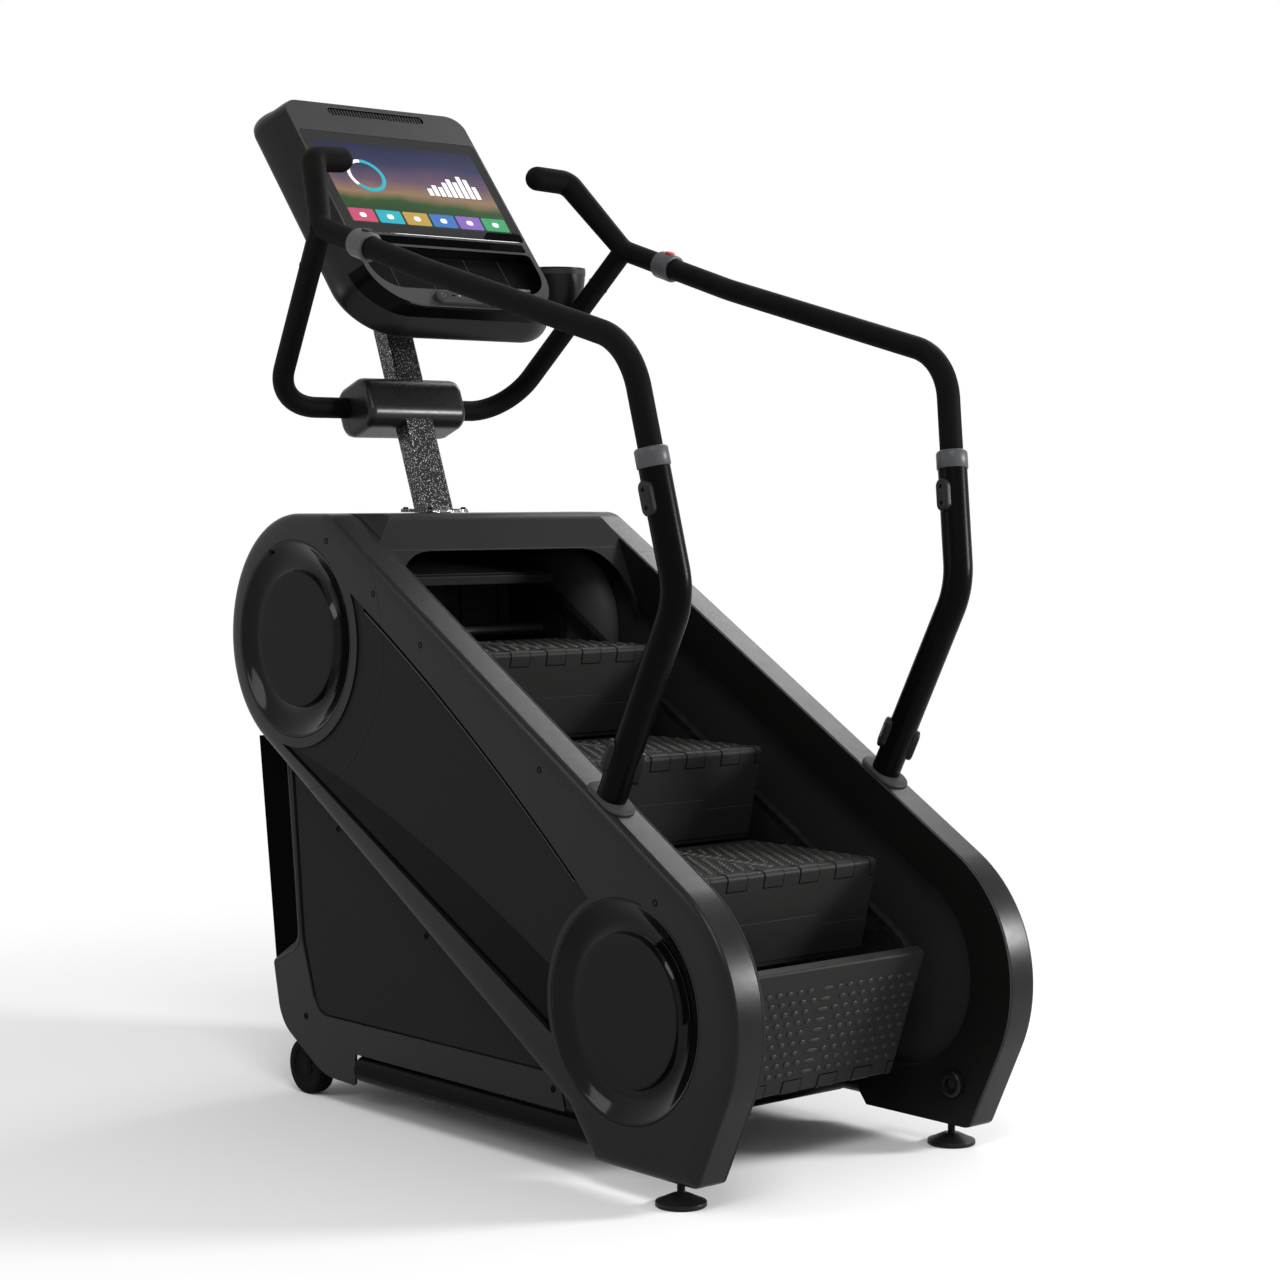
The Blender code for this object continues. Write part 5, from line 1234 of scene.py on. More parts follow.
    def _paint(self, skin: Mesh) -> None:
        """Give the panel and the gloss band their own finishes.

        Args:
            skin: The half's mesh.
        """
        for face in skin.faces:
            middle = face.calc_center_median()
            outward = face.normal.x * self.sign > 0.9
            panel = abs(middle.x - self.sign * self.panel_floor) < LEVEL
            band = abs(middle.x - self.sign * self.band_floor(middle.yz)) < LEVEL
            face.material_index = 1 if outward and panel else 2 if outward and band else 0


@dataclass
class DiscCover(SidePart):
    """One dished round cover with its flat face."""

    half: End
    radius: float = 0.2165
    face_radius: float = 0.148
    face_sink: float = 0.003
    dish: float = 0.0195
    dish_radius: float = 0.172
    back: float = 0.0255
    slot_angles: Pair = (radians(118), radians(181))
    slot_radii: Pair = (0.1515, 0.1715)
    slot_taper: float = 0.055
    slot_depths: Pair = (0.0205, 0.0172)
    lip_depth: float = 0.0170
    lip_radius: float = 0.0012

    def profile(self) -> list[Pair]:
        """The turned section, from the centre of the face to the back.

        Returns:
            Points of (radius, height).
        """
        face, sink, dish, rim = self.face_radius, -self.face_sink, -self.dish, self.radius
        start, width = self.dish_radius, rim - 0.0055 - self.dish_radius
        rise = [(start + width * t, -0.0188 + 0.0178 * t**1.5) for t in (0.1 * k for k in range(11))]
        return [
            (0.0, sink), (0.130, sink), (face - 0.0030, sink), (face - 0.0010, sink - 0.0006),
            (face, sink - 0.0022), (face + 0.0026, dish + 0.0012), (face + 0.0045, dish), (0.166, dish),
            *rise, (rim - 0.0035, -0.0004), (rim - 0.0012, -0.0003), (rim, -0.0014), (rim, -0.0085),
            (rim - 0.046, -self.back), (0.0, -self.back),
        ]

    def build(self) -> None:
        """Turn the cover and, on the lower one, set a dark crescent of painted shade in its dish."""
        centre = self.half.centre
        base = Vector((self.sign * PLAN.outer_x, *centre))
        cover = lathe(self.profile(), base, (self.sign, 0.0, 0.0), 128)
        for face in cover.faces:
            middle = face.calc_center_median()
            reach = hypot(middle.y - centre.x, middle.z - centre.y)
            depth = (middle.x - base.x) * self.sign
            face.material_index = 1 if reach < self.face_radius - 0.0005 and depth > -0.012 else 0
        self.skin(f"{self.half.value}_disc_cover", cover, (GLOSS_BLACK, PANEL_SKIN), angle=50.0)
        if self.half is End.LOWER:
            self._slot(base.x)

    def _slot(self, x: float) -> None:
        """A dark crescent on the dish that stands for a slot, painted shade for its inside, with a raised
        lip.

        Args:
            x: X of the cover's rim.
        """
        (inner, outer), (start, end) = self.slot_radii, self.slot_angles
        outline = arc(PLAN.lower, outer, start + self.slot_taper, end - self.slot_taper, FINE / 2)
        outline += arc(PLAN.lower, inner, end, start, FINE / 2)
        # Painted shade: a near-black crescent plate on the dish stands in for the shaded inside of the slot.
        slot_shade = prism(outline, *[x - self.sign * depth for depth in self.slot_depths])
        self.trim("disc_slot", slot_shade, REAR_BLACK, bevel=0.0006)
        path = at_x(outline, x - self.sign * self.lip_depth)
        self.trim("disc_slot_lip", sweep([*path, path[0]], self.lip_radius, 8), GLOSS_BLACK, angle=60.0)


@dataclass
class InnerSkirt(SidePart):
    """The flat inner wall of one side, with the long pocket that the step ends run in."""

    inner: float = 0.333
    outer: float = 0.339
    pocket_radius: float = 0.203
    pocket_floor: float = 0.358
    pocket_skin: Pair = (0.003, 0.004)
    cut_from: float = 0.30
    shaft_hole: float = 0.0190
    hole_x: Pair = (0.35, 0.37)
    beam_x: Pair = (0.32, 0.37)
    beam_y: Pair = (-0.0895, 0.0655)
    beam_z: Pair = (1.2475, 1.2705)
    guard_dome: Pairs = (
        (0.118, 0.0425), (0.140, 0.0405), (0.165, 0.0340), (0.185, 0.0220), (0.197, 0.0060), (0.2005, -0.012),
    )
    guard_bore: float = 0.072
    guard_x: Pair = (0.25, 0.38)
    guard_drop: float = 0.030
    port_radius: float = 0.027
    port_bore: float = 0.014
    port_length: float = 0.014
    port_z: float = 0.136

    def build(self) -> None:
        """Cut the wall with its pocket and holes, and make the guard and the leg port."""
        sign = self.sign
        side, floor = self.pocket_skin
        wall = prism(shell_outline(0.0003), sign * self.inner, sign * self.outer)
        pan = belt_loop(PLAN.upper, PLAN.lower, self.pocket_radius + side)
        pan = prism(pan, sign * (self.outer - 0.002), sign * (self.pocket_floor + floor))
        wall = carved(wall, pan, Cut.JOIN)
        pocket = belt_loop(PLAN.upper, PLAN.lower, self.pocket_radius)
        wall = carved(wall, prism(pocket, sign * self.cut_from, sign * self.pocket_floor))
        for centre in (PLAN.upper, PLAN.lower):
            wall = carved(wall, rod(self.shaft_hole, *[(sign * x, *centre) for x in self.hole_x]))
        low, high = [PLAN.upper.x + y for y in self.beam_y]
        bottom, top = self.beam_z
        beam = [(low, bottom), (high, bottom), (high, top), (low, top)]
        wall = carved(wall, prism(beam, *[sign * x for x in self.beam_x]))
        # Painted shade: the pocket's faces, the same plastic as the wall, take a flat tone of their own, set
        # to how the shaded pocket looks.
        for face in wall.faces:
            depth = abs(face.calc_center_median().x)
            face.material_index = 1 if self.inner + 0.001 < depth < self.pocket_floor + 0.0045 else 0
        self.skin("inner_skirt", wall, (SHELL_SKIN, INSIDE_DARK_AND_SHADE), bevel=0.0010, angle=38.0)
        self._guard()
        self._port()

    def _guard(self) -> None:
        """The domed guard over the upper sprocket, open round the shaft and below."""
        inside = [(r - 0.002, h - 0.003) for r, h in reversed(self.guard_dome)]
        profile = [(self.guard_bore, 0.0395), (self.guard_bore, 0.0425), *self.guard_dome, *inside]
        dome = lathe(profile, (self.sign * (self.inner + 0.0015), *PLAN.upper), (-self.sign, 0.0, 0.0), 96)
        low = PLAN.upper.y - self.guard_drop
        below = ((0.0, 0.5), (1.0, 0.5), (1.0, low), (0.0, low))
        dome = carved(dome, prism(below, *[self.sign * x for x in self.guard_x]))
        # The guard's grey is partly painted light for the dim inside.
        self.trim("drive_guard", dome, GUARD_WITH_PAINTED_LIGHT, angle=45.0)

    def _port(self) -> None:
        """The round port on the inner face of the leg."""
        toe = min(p.x for p in shell_outline(0.0063) if p.y < self.port_z)
        base = Vector((self.sign * (self.inner - HAIR), toe + self.port_radius + 0.012, self.port_z))
        axis = (-self.sign, 0.0, 0.0)
        r, b, h = self.port_radius, self.port_bore, self.port_length
        profile = [(b, 0.0), (r, 0.0), (r, h - 0.005), (r - 0.0015, h - 0.0018), (r - 0.004, h - 0.0004)]
        profile += [(r - 0.006, h), (b + 0.0025, h), (b + 0.0006, h - 0.0008), (b, h - 0.003)]
        self.skin("leg_port", lathe(profile, base, axis), SHELL_SKIN, angle=40.0)
        wide = b - 0.0004
        profile = [(0.0, 0.001), (wide, 0.001), (wide, 0.004), (b - 0.004, 0.0055), (0.0, 0.0055)]
        self.trim("leg_port_plug", lathe(profile, base, axis, 48), INSIDE_DARK_AND_SHADE)


@dataclass
class LowerCover(SidePart):
    """The side cover below the belt line, with its corner over the wheel."""

    inner: float = 0.379
    outer: float = 0.385
    tuck: float = 0.023
    sink: float = 0.0028
    rail_top: float = 0.121
    corner_y: float = 0.344
    edge: Pairs = ((0.6005, 0.765), (0.5540, 0.330), (0.6450, 0.2890))
    edge_bend: float = 0.045
    edge_radius: float = 0.0038
    cut_to: float = 0.40
    screw_size: Pair = (0.008, 0.0022)
    channel: Pairs = (
        (0.5940, 0.820), (0.5480, 0.345), (0.492, 0.188), (-0.40, 0.193),
        (-0.40, 0.1965), (0.4830, 0.1925), (0.5350, 0.350), (0.5810, 0.820),
    )
    channel_radii: tuple[float, ...] = (0.0, 0.120, 0.060, 0.0, 0.0, 0.050, 0.110, 0.0)
    screw_spots: Pairs = ((0.4045, 0.6054), (0.0841, 0.4119), (0.5338, 0.1771), (-0.3359, 0.1611))

    def outline(self) -> Outline:
        """The cover's outline.

        Returns:
            Its points.
        """
        end = PLAN.upper.x
        belt = PLAN.lower.dot(PLAN.above) - PLAN.belt_offset + self.tuck
        rear, front = end + 0.078, PLAN.lower_y + 0.235
        corners = [(y, (belt - PLAN.above.x * y) / PLAN.above.y) for y in (rear, front)]
        corners += [(front - 0.028, self.rail_top), (self.corner_y, self.rail_top), (self.corner_y, 0.052)]
        corners += [(self.corner_y + 0.120, 0.056), (end + 0.105, 0.150)]
        corners += [(end + 0.135, 0.285), (end + 0.034, 0.345)]
        return rounded(corners, [0.0, 0.0, 0.004, 0.003, 0.010, 0.150, 0.100, 0.012, 0.030])

    def build(self) -> None:
        """Press the cover with its border line, a light round strip along its edge that is partly painted
        highlight, and its screws.
        """
        cover = prism(self.outline(), self.sign * self.inner, self.sign * self.outer)
        channel = rounded(self.channel, self.channel_radii)
        cover = carved(cover, prism(channel, self.sign * (self.outer - self.sink), self.sign * self.cut_to))
        cover.normal_update()
        facing = [face for face in cover.faces if face.normal.x * self.sign > 0.9]
        for face in facing:
            face.material_index = 2 if abs(face.calc_center_median().x) < self.outer - LEVEL else 0
        max(facing, key=lambda face: face.calc_area()).material_index = 1
        finishes = (SHELL_SKIN, PANEL_SKIN, TREAD_DARK)
        self.skin("lower_cover", cover, finishes, bevel=0.0022, segments=3, angle=40.0)
        # A raised strip along the edge whose light grey is partly painted highlight.
        corners = [Vector((self.sign * (self.outer - 0.0012), *spot)) for spot in self.edge]
        bead = sweep(bent_path(corners, [self.edge_bend]), self.edge_radius, 12, (True, True))
        self.trim("lower_cover_edge", bead, BOOT_GREY, angle=60.0)
        self.screws("lower_cover_screws", self.outer - HAIR, self.screw_spots, *self.screw_size)


@dataclass
class Hood(Assembly):
    """The hood over the upper end of the steps."""

    mast: "Mast"
    wall: float = 0.008
    half: float = 0.3327
    lip_drop: float = 0.082
    lip_y: float = -0.228
    lip_radius: float = 0.003
    brow: float = 0.036
    brow_radius: float = 0.030
    corner: Pair = (0.115, 0.165)
    corner_depth: float = 0.030
    cheek: Pair = (0.200, 0.090)
    end_width: float = 0.150
    swell: float = 0.066
    rear_angle: float = radians(-50)
    passage: Triple = (0.001, 1.255, 1.300)

    def build(self) -> None:
        """Form the hood with its rounded brow and the mast's passage."""
        outer = PLAN.belt_offset - HAIR
        lip = Vector((PLAN.upper.x + self.lip_y, PLAN.top_z - self.lip_drop))
        brow = Vector((lip.x + self.brow, PLAN.top_z - HAIR))
        rear = rear_arc(outer, self.rear_angle)
        inner = rear_arc(outer - self.wall, self.rear_angle)[::-1]
        front = [brow, lip, lip + Vector((self.wall, -0.0005)), brow + Vector((self.wall, -self.wall))]
        radii = [self.brow_radius, self.lip_radius, self.lip_radius, self.brow_radius - 0.006]
        radii = [0.0] * len(rear) + radii + [0.0] * len(inner)
        hood = prism(rounded(rear + front + inner, radii), -self.half, self.half)
        hood = carved(hood, self.mast.prism(*self.passage))
        down = (lip - brow).normalized()
        far, near = self.cheek
        steps = ((brow, far, 0.0), (brow, 0.0, 0.0), (lip, 0.0, 0.0), (lip, near, 0.0), (brow, far, -0.020))
        corners = [p + Vector((y, z)) for p, y, z in steps]
        cheek = rounded(corners, [0.0, self.brow_radius, self.lip_radius, 0.0, 0.0])
        for sign in (-1.0, 1.0):
            hood = carved(hood, prism(cheek, sign * (self.half - self.end_width), sign * self.half), Cut.JOIN)
            hood = carved(hood, self._corner(lip, down, sign), Cut.JOIN)
        hood = carved(hood, self._end_trim(), Cut.LIMIT)
        # The hood takes the lighter copy of the shells' plastic: painted light.
        self.skin("top_hood", hood, HOOD_PAINTED_LIGHT, bevel=0.0020, segments=3, angle=30.0)

    def _end_trim(self) -> Mesh:
        """The shells' outline, swollen in the middle, to which the hood's ends are rounded.

        Returns:
            The new mesh.
        """
        half, wide = self.half + 0.002, self.end_width
        reach = [half - wide * (1 - sin(radians(7.5 * k))) for k in range(13)]
        sections = []
        for x in [-x for x in reversed(reach)] + reach:
            share = (abs(x) - half + wide) / wide
            swell = self.swell * (1.0 - share * share)
            sections.append(at_x(shell_outline(-swell), x))
        return loft(sections)

    def _corner(self, lip: Vector, down: Vector, sign: float) -> Mesh:
        """The rounded corner in which the hood's face runs into a side wall.

        Args:
            lip: The lower end of the hood's face.
            down: The way down the face.
            sign: The sign of the side's X.

        Returns:
            The new mesh.
        """
        wide, tall = self.corner
        turns = [radians(6 * k) for k in range(15, -1, -1)]
        ring = [(self.half, -0.001)]
        ring += [(self.half - wide * (1 - sin(a)), tall * (1 - cos(a))) for a in turns]
        front = [Vector((sign * x, *(lip + down * t))) for x, t in ring]
        depth = Vector((0.0, *(PLAN.along * self.corner_depth)))
        return loft([front, [p + depth for p in front]])


@dataclass
class Flight(Assembly):
    """The eight steps, with their patterned treads, nosing tabs and risers."""

    half_width: float = 0.258
    first_along: float = 0.107
    nosing_height: float = 0.210
    tread: float = 0.028
    riser: float = 0.022
    rake: float = radians(13.7)
    foot_clearance: float = 0.004
    back_clearance: float = 0.004
    nosing_radius: float = 0.010
    turning_depth: float = 0.284
    turning_offset: float = 0.120
    turning_lead: float = 0.177
    lower_turn: float = radians(199.6)
    upper_turn: float = radians(-2.0)
    return_behind: float = 0.0904
    tab_count: int = 5
    tab_pitch: float = 0.0985
    tab_width: float = 0.050
    tab_start: float = -0.2525
    tab_top: float = 0.034
    tab_front: float = 0.033
    tab_height: float = 0.0014
    tab_gap: float = 0.0024
    tab_root: float = 0.0006
    panel_half: float = 0.117
    panel_drops: Triple = (0.107, 0.129, 0.193)
    stud_size: Pair = (0.017, 0.011)
    stud_pitch: Pair = (0.028, 0.023)
    stud_columns: int = 8
    field_x: float = 0.138
    field_shift: float = 0.007
    field_start: float = 0.018
    long_stud: Pair = (0.032, 0.009)
    rib_depth: float = 0.012
    rib_thick: float = 0.003
    rib_x: float = 0.220
    rib_pitch: float = 0.110
    rib_start: float = 0.050
    beam_half: float = 0.246

    @property
    def down(self) -> Vector:
        """The way down a riser."""
        return Vector((sin(self.rake), -cos(self.rake)))

    @property
    def outward(self) -> Vector:
        """The way out of a riser."""
        return -heading(self.rake)

    def step_outline(self, depth: float) -> Outline:
        """Tread and riser in section, from the nosing at the origin.

        Args:
            depth: Depth of the tread.

        Returns:
            The points of the section.
        """
        foot = self.down * (PLAN.rise / cos(self.rake) - self.foot_clearance)
        back = heading(self.rake) * self.riser
        drop = (self.tread + back.y) / cos(self.rake)
        corners = [(0.0, 0.0), foot, back + foot, back + self.down * drop, (depth, -self.tread), (depth, 0.0)]
        return rounded(corners, [self.nosing_radius, 0.003, 0.003, 0.006, 0.006, 0.006], radians(9))

    def build(self) -> None:
        """Make every step where the solids have it."""
        depth = PLAN.run + (PLAN.rise - self.foot_clearance) * tan(self.rake) - self.back_clearance
        last = PLAN.axis_length + (self.return_behind - self.nosing_height * PLAN.along.y) / PLAN.along.x
        for i in range(3):
            nosing = PLAN.spot(self.first_along + i * PLAN.pitch, self.nosing_height)
            self._step(f"step_{i + 1}", depth, nosing, 0.0)
            nosing = PLAN.spot(last - (2 - i) * PLAN.pitch, -self.nosing_height)
            self._step(f"step_return_{i + 1}", depth, nosing, pi)
        for end, angle in ((End.LOWER, self.lower_turn), (End.UPPER, self.upper_turn)):
            lead = heading(angle + pi / 2) * self.turning_lead
            nosing = end.centre + heading(angle) * self.turning_offset + lead
            self._step(f"step_turning_{end.value}", self.turning_depth, nosing, angle - pi / 2)

    def _step(self, name: str, depth: float, nosing: Vector, angle: float) -> None:
        """One step: body, studs, tabs with a dark rim of painted shade round them, riser panel and ribs.

        Args:
            name: The step's CAD node.
            depth: Depth of its tread.
            nosing: Where its nosing is.
            angle: How far it is turned about X.
        """
        place = Matrix.Translation((0.0, *nosing)) @ Matrix.Rotation(angle, 4, "X")
        body = prism(self.step_outline(depth), -self.half_width, self.half_width)
        # Painted shade: a dark, lower copy of the tabs, grown a little, rims each tab where the shade would
        # fall.
        gap_shade = self._tabs(self.tab_gap, 0.35 * self.tab_height, TREAD_DARK)
        parts = (
            ("tread", body, TREAD, 0.0030, 3),
            # The studs take the lighter copy of the tread plastic: painted light.
            ("studs", self._studs(depth), STUD_PAINTED_LIGHT, 0.0, 0),
            ("tabs", self._tabs(0.0, self.tab_height, TREAD), TREAD, 0.0005, 1),
            ("tab_gaps", gap_shade, TREAD_DARK, 0.0, 0),
            ("riser_panel", self._riser_panel(), TREAD, 0.0007, 2),
            ("ribs", self._ribs(depth), TREAD, 0.0006, 1),
        )
        for label, mesh, finish, bevel, segments in parts:
            mesh.transform(place)
            nodes = [name] if label == "tread" else []
            self.piece(f"{name}_{label}", mesh, finish, f"{name}_body", nodes, bevel, segments, 35.0)

    @staticmethod
    def _stud(length: float, width: float) -> Mesh:
        """One low oval stud.

        Args:
            length: Its size along X.
            width: Its size along Y.

        Returns:
            The new mesh.
        """
        circle = arc(Vector((0.0, 0.0)), 1.0, 0.0, 2 * pi, pi / 6)[:-1]
        oval = [(length / 2 * p.x, width / 2 * p.y) for p in circle]
        levels = ((1.0, -0.0004), (0.92, 0.0016), (0.70, 0.0026))
        return loft([[Vector((scale * x, scale * y, height)) for x, y in oval] for scale, height in levels])

    def _studs(self, depth: float) -> Mesh:
        """The staggered field of studs, with longer ones down the middle.

        Args:
            depth: Depth of the tread.

        Returns:
            The new mesh.
        """
        wide, deep = self.stud_pitch
        rows = int((depth - self.tab_top - 0.030) / deep)
        start = self.tab_top + self.field_start
        values = {"Columns": self.stud_columns, "Rows": rows, "Stagger": wide / 2}
        values |= {"Width": (self.stud_columns - 1) * wide, "Depth": (rows - 1) * deep}
        parts = []
        for sign in (-1.0, 1.0):
            field = repeated(field_group(), self._stud(*self.stud_size), TREAD, values)
            move = (sign * self.field_x - self.field_shift, start + (rows - 1) * deep / 2, 0.0)
            bmesh.ops.translate(field, verts=field.verts, vec=move)
            parts.append(field)
        column = row(self._stud(*self.long_stud), rows, (0.0, deep, 0.0), TREAD)
        bmesh.ops.translate(column, verts=column.verts, vec=(0.0, start, 0.0))
        return joined([*parts, column])

    def _tab_section(self, reach: float, height: float) -> Outline:
        """A tab's section, wrapped over the nosing.

        Args:
            reach: How far its ends are grown.
            height: How far it stands out.

        Returns:
            The points of the section.
        """
        ends = (self.tab_top + reach, 0.0), (0.0, 0.0), self.down * (self.tab_front + reach)
        top: Outline = []
        root: Outline = []
        for p in rounded(ends, [0.0, self.nosing_radius, 0.0], radians(12)):
            share = max(0.0, min(1.0, -p.y / self.nosing_radius))
            away = (Vector((0.0, 1.0)) * (1.0 - share) + self.outward * share).normalized()
            top.append(p + away * height)
            root.append(p - away * self.tab_root)
        return top + root[::-1]

    def _tabs(self, reach: float, height: float, finish: Finish) -> Mesh:
        """The full tabs along the nosing and one that the step's end cuts.

        Args:
            reach: How far each is grown.
            height: How far they stand out.
            finish: Their finish.

        Returns:
            The new mesh.
        """
        section = self._tab_section(reach, height)
        full = prism(section, self.tab_start - reach, self.tab_start + self.tab_width + reach)
        tabs = row(full, self.tab_count, (self.tab_pitch, 0.0, 0.0), finish)
        last = self.tab_start + self.tab_count * self.tab_pitch - reach
        return joined([tabs, prism(section, last, self.half_width - 0.004)])

    def _riser_panel(self) -> Mesh:
        """The slightly proud lower part of the riser, raised to a panel in the middle.

        Returns:
            The new mesh.
        """
        high, shoulder, low = self.panel_drops
        wide, half = self.half_width - 0.0035, self.panel_half
        corners = [(-wide, low), (wide, low), (wide, shoulder), (half, shoulder), (half, high)]
        corners += [(-half, high), (-half, shoulder), (-wide, shoulder)]
        ring = rounded(corners, [0.003, 0.003, 0.003, 0.008, 0.012, 0.012, 0.008, 0.003], radians(10))
        faces = [[(p.x, self.down * p.y + self.outward * proud) for p in ring] for proud in (-0.0006, 0.0026)]
        return loft([[Vector((x, *spot)) for x, spot in face] for face in faces])

    def _ribs(self, depth: float) -> Mesh:
        """The stiffening ribs under the tread.

        Args:
            depth: Depth of the tread.

        Returns:
            The new mesh.
        """
        top, low = -self.tread + 0.0005, -self.tread - self.rib_depth
        start, end, thick = self.rib_start, depth - 0.016, self.rib_thick
        plate = [(start, low), (end, low), (end, top), (start, top)]
        long_rib = prism(plate, -self.rib_x - thick / 2, -self.rib_x + thick / 2)
        ribs = row(long_rib, 5, (self.rib_pitch, 0.0, 0.0), TREAD)
        bar = [(start, low), (start + thick, low), (start + thick, top), (start, top)]
        step = (0.0, (end - start - thick) / 3, 0.0)
        return joined([ribs, row(prism(bar, -self.beam_half, self.beam_half), 4, step, TREAD)])


@dataclass
class Mast(Assembly):
    """The leaning mast, its foot flange, the console bracket and the clamp cover round it."""

    console: "Console"
    half_width: float = 0.0381
    half_depth: float = 0.0254
    lean: float = radians(21.0)
    foot_behind: float = 0.035
    seat_z: float = 1.2688
    top_z: float = 1.820
    corner: float = 0.006
    flange_half: float = 0.058
    flange: float = 0.008
    bracket_half: Triple = (0.0495, 0.100, 0.025)
    bracket_behind: float = 0.024
    clamp_above: float = 0.51312
    clamp_behind: float = 0.033
    clamp_half: Triple = (0.137, 0.066, 0.060)
    clamp_corner: float = 0.040
    clamp_ends: Pairs = ((0.0, 0.016), (0.002, 0.008), (0.008, 0.002), (0.018, 0.0))
    cut_up: float = 0.12
    cut_across: float = 0.16
    split_at: float = 0.030
    split_half: float = 0.0005
    split_up: float = 0.08
    split_ends: Pairs = ((-0.15, -0.1345), (0.1345, 0.15))
    loop_behind: float = 0.065
    loop_bore: float = 0.0243

    @property
    def clamp_z(self) -> float:
        """Height of the clamp's middle."""
        return PLAN.upper.y + self.clamp_above

    @property
    def loop_y(self) -> float:
        """Y of the handrails' loop in the clamp."""
        return self.axis_y(self.clamp_z) + self.loop_behind

    def axis_y(self, z: float) -> float:
        """Y of the mast's centre line at a height."""
        return PLAN.upper.x + self.foot_behind + (z - self.seat_z) * tan(self.lean)

    def section(self, z: float, grow: float) -> list[Vector]:
        """The mast's level section at a height.

        Args:
            z: The height.
            grow: How far the section is grown.

        Returns:
            The points of the section.
        """
        half_y = (self.half_depth + grow) / cos(self.lean)
        ring = slab_outline(self.half_width + grow, -half_y, half_y, self.corner, radians(15))
        return [Vector((p.x, self.axis_y(z) + p.y, z)) for p in ring]

    def prism(self, grow: float, z_from: float, z_to: float) -> Mesh:
        """The mast's leaning box between two heights."""
        return loft([self.section(z_from, grow), self.section(z_to, grow)])

    def build(self) -> None:
        """Make the mast with its foot, its bracket and its bolts, and the clamp cover."""
        post = self.prism(0.0, self.seat_z + HAIR, self.top_z)
        foot_y = self.axis_y(PLAN.top_z)
        plate = slab_outline(self.flange_half, -self.flange_half, self.flange_half, 0.010)
        low = PLAN.top_z + HAIR
        levels = [(low, 1.0), (low + self.flange - 0.002, 1.0), (low + self.flange, 0.97)]
        foot = loft([[Vector((p.x * s, foot_y + p.y * s, z)) for p in plate] for z, s in levels])
        post = carved(post, foot, Cut.JOIN)
        wide, reach, tall = self.bracket_half
        start, end = [self.console.point(0.0, up, -self.console.back - HAIR).yz for up in (-reach, reach)]
        top_y = self.axis_y(self.top_z) + self.bracket_behind
        bracket = [start, (top_y, self.top_z - tall), (top_y, self.top_z + tall), end]
        post = carved(post, prism(bracket, -wide, wide), Cut.JOIN)
        self.skin("mast", post, HAMMERED, bevel=0.0016, angle=40.0)
        reach = self.flange_half - 0.011
        spots = [(a * reach, b * reach) for a in (-1, 1) for b in (-1, 1)]
        places = [Vector((x, foot_y + y, low + self.flange)) for x, y in spots]
        heads = scatter(screw_head(0.0065, 0.004), places, (0.0, -pi / 2, 0.0), SCREW_METAL)
        self.piece("mast_foot_bolts", heads, SCREW_METAL)
        self._clamp()

    def _clamp_box(self, across: Pair, up: Pair) -> Outline:
        """The corners of a box in the clamp's leaning axes.

        Args:
            across: Its span across the mast.
            up: Its span along the mast.

        Returns:
            The four corners.
        """
        lean = Vector((sin(self.lean), cos(self.lean)))
        side = Vector((cos(self.lean), -sin(self.lean)))
        centre = Vector((self.axis_y(self.clamp_z) + self.clamp_behind, self.clamp_z))
        spots = ((across[0], up[0]), (across[1], up[0]), (across[1], up[1]), (across[0], up[1]))
        return [centre + side * a + lean * b for a, b in spots]

    def _clamp_ring(self, inset: float) -> Outline:
        """The clamp cover's section, drawn in by an inset."""
        deep, tall = [half - inset for half in self.clamp_half[1:]]
        return rounded(self._clamp_box((-deep, deep), (-tall, tall)), [self.clamp_corner - inset] * 4)

    def _clamp(self) -> None:
        """The clamp cover, with a split line at its ends."""
        z, length = self.clamp_z, self.clamp_half[0]
        ends = [(length - short, inset) for short, inset in self.clamp_ends]
        stations = [(-x, inset) for x, inset in ends] + ends[::-1]
        cover = loft([at_x(self._clamp_ring(inset), x) for x, inset in stations])
        cover = carved(cover, self.prism(HAIR, z - self.cut_up, z + self.cut_up))
        ends = [(x, self.loop_y, z) for x in (-self.cut_across, self.cut_across)]
        cover = carved(cover, rod(self.loop_bore, *ends))
        across = (self.split_at - self.split_half, self.split_at + self.split_half)
        split = self._clamp_box(across, (-self.split_up, self.split_up))
        for end in self.split_ends:
            cover = carved(cover, prism(split, *end))
        nodes = ["mast_clamp_cover"]
        self.piece("mast_clamp_skin", cover, CLAMP_BLACK, stands_for=nodes, bevel=0.0012, angle=40.0)


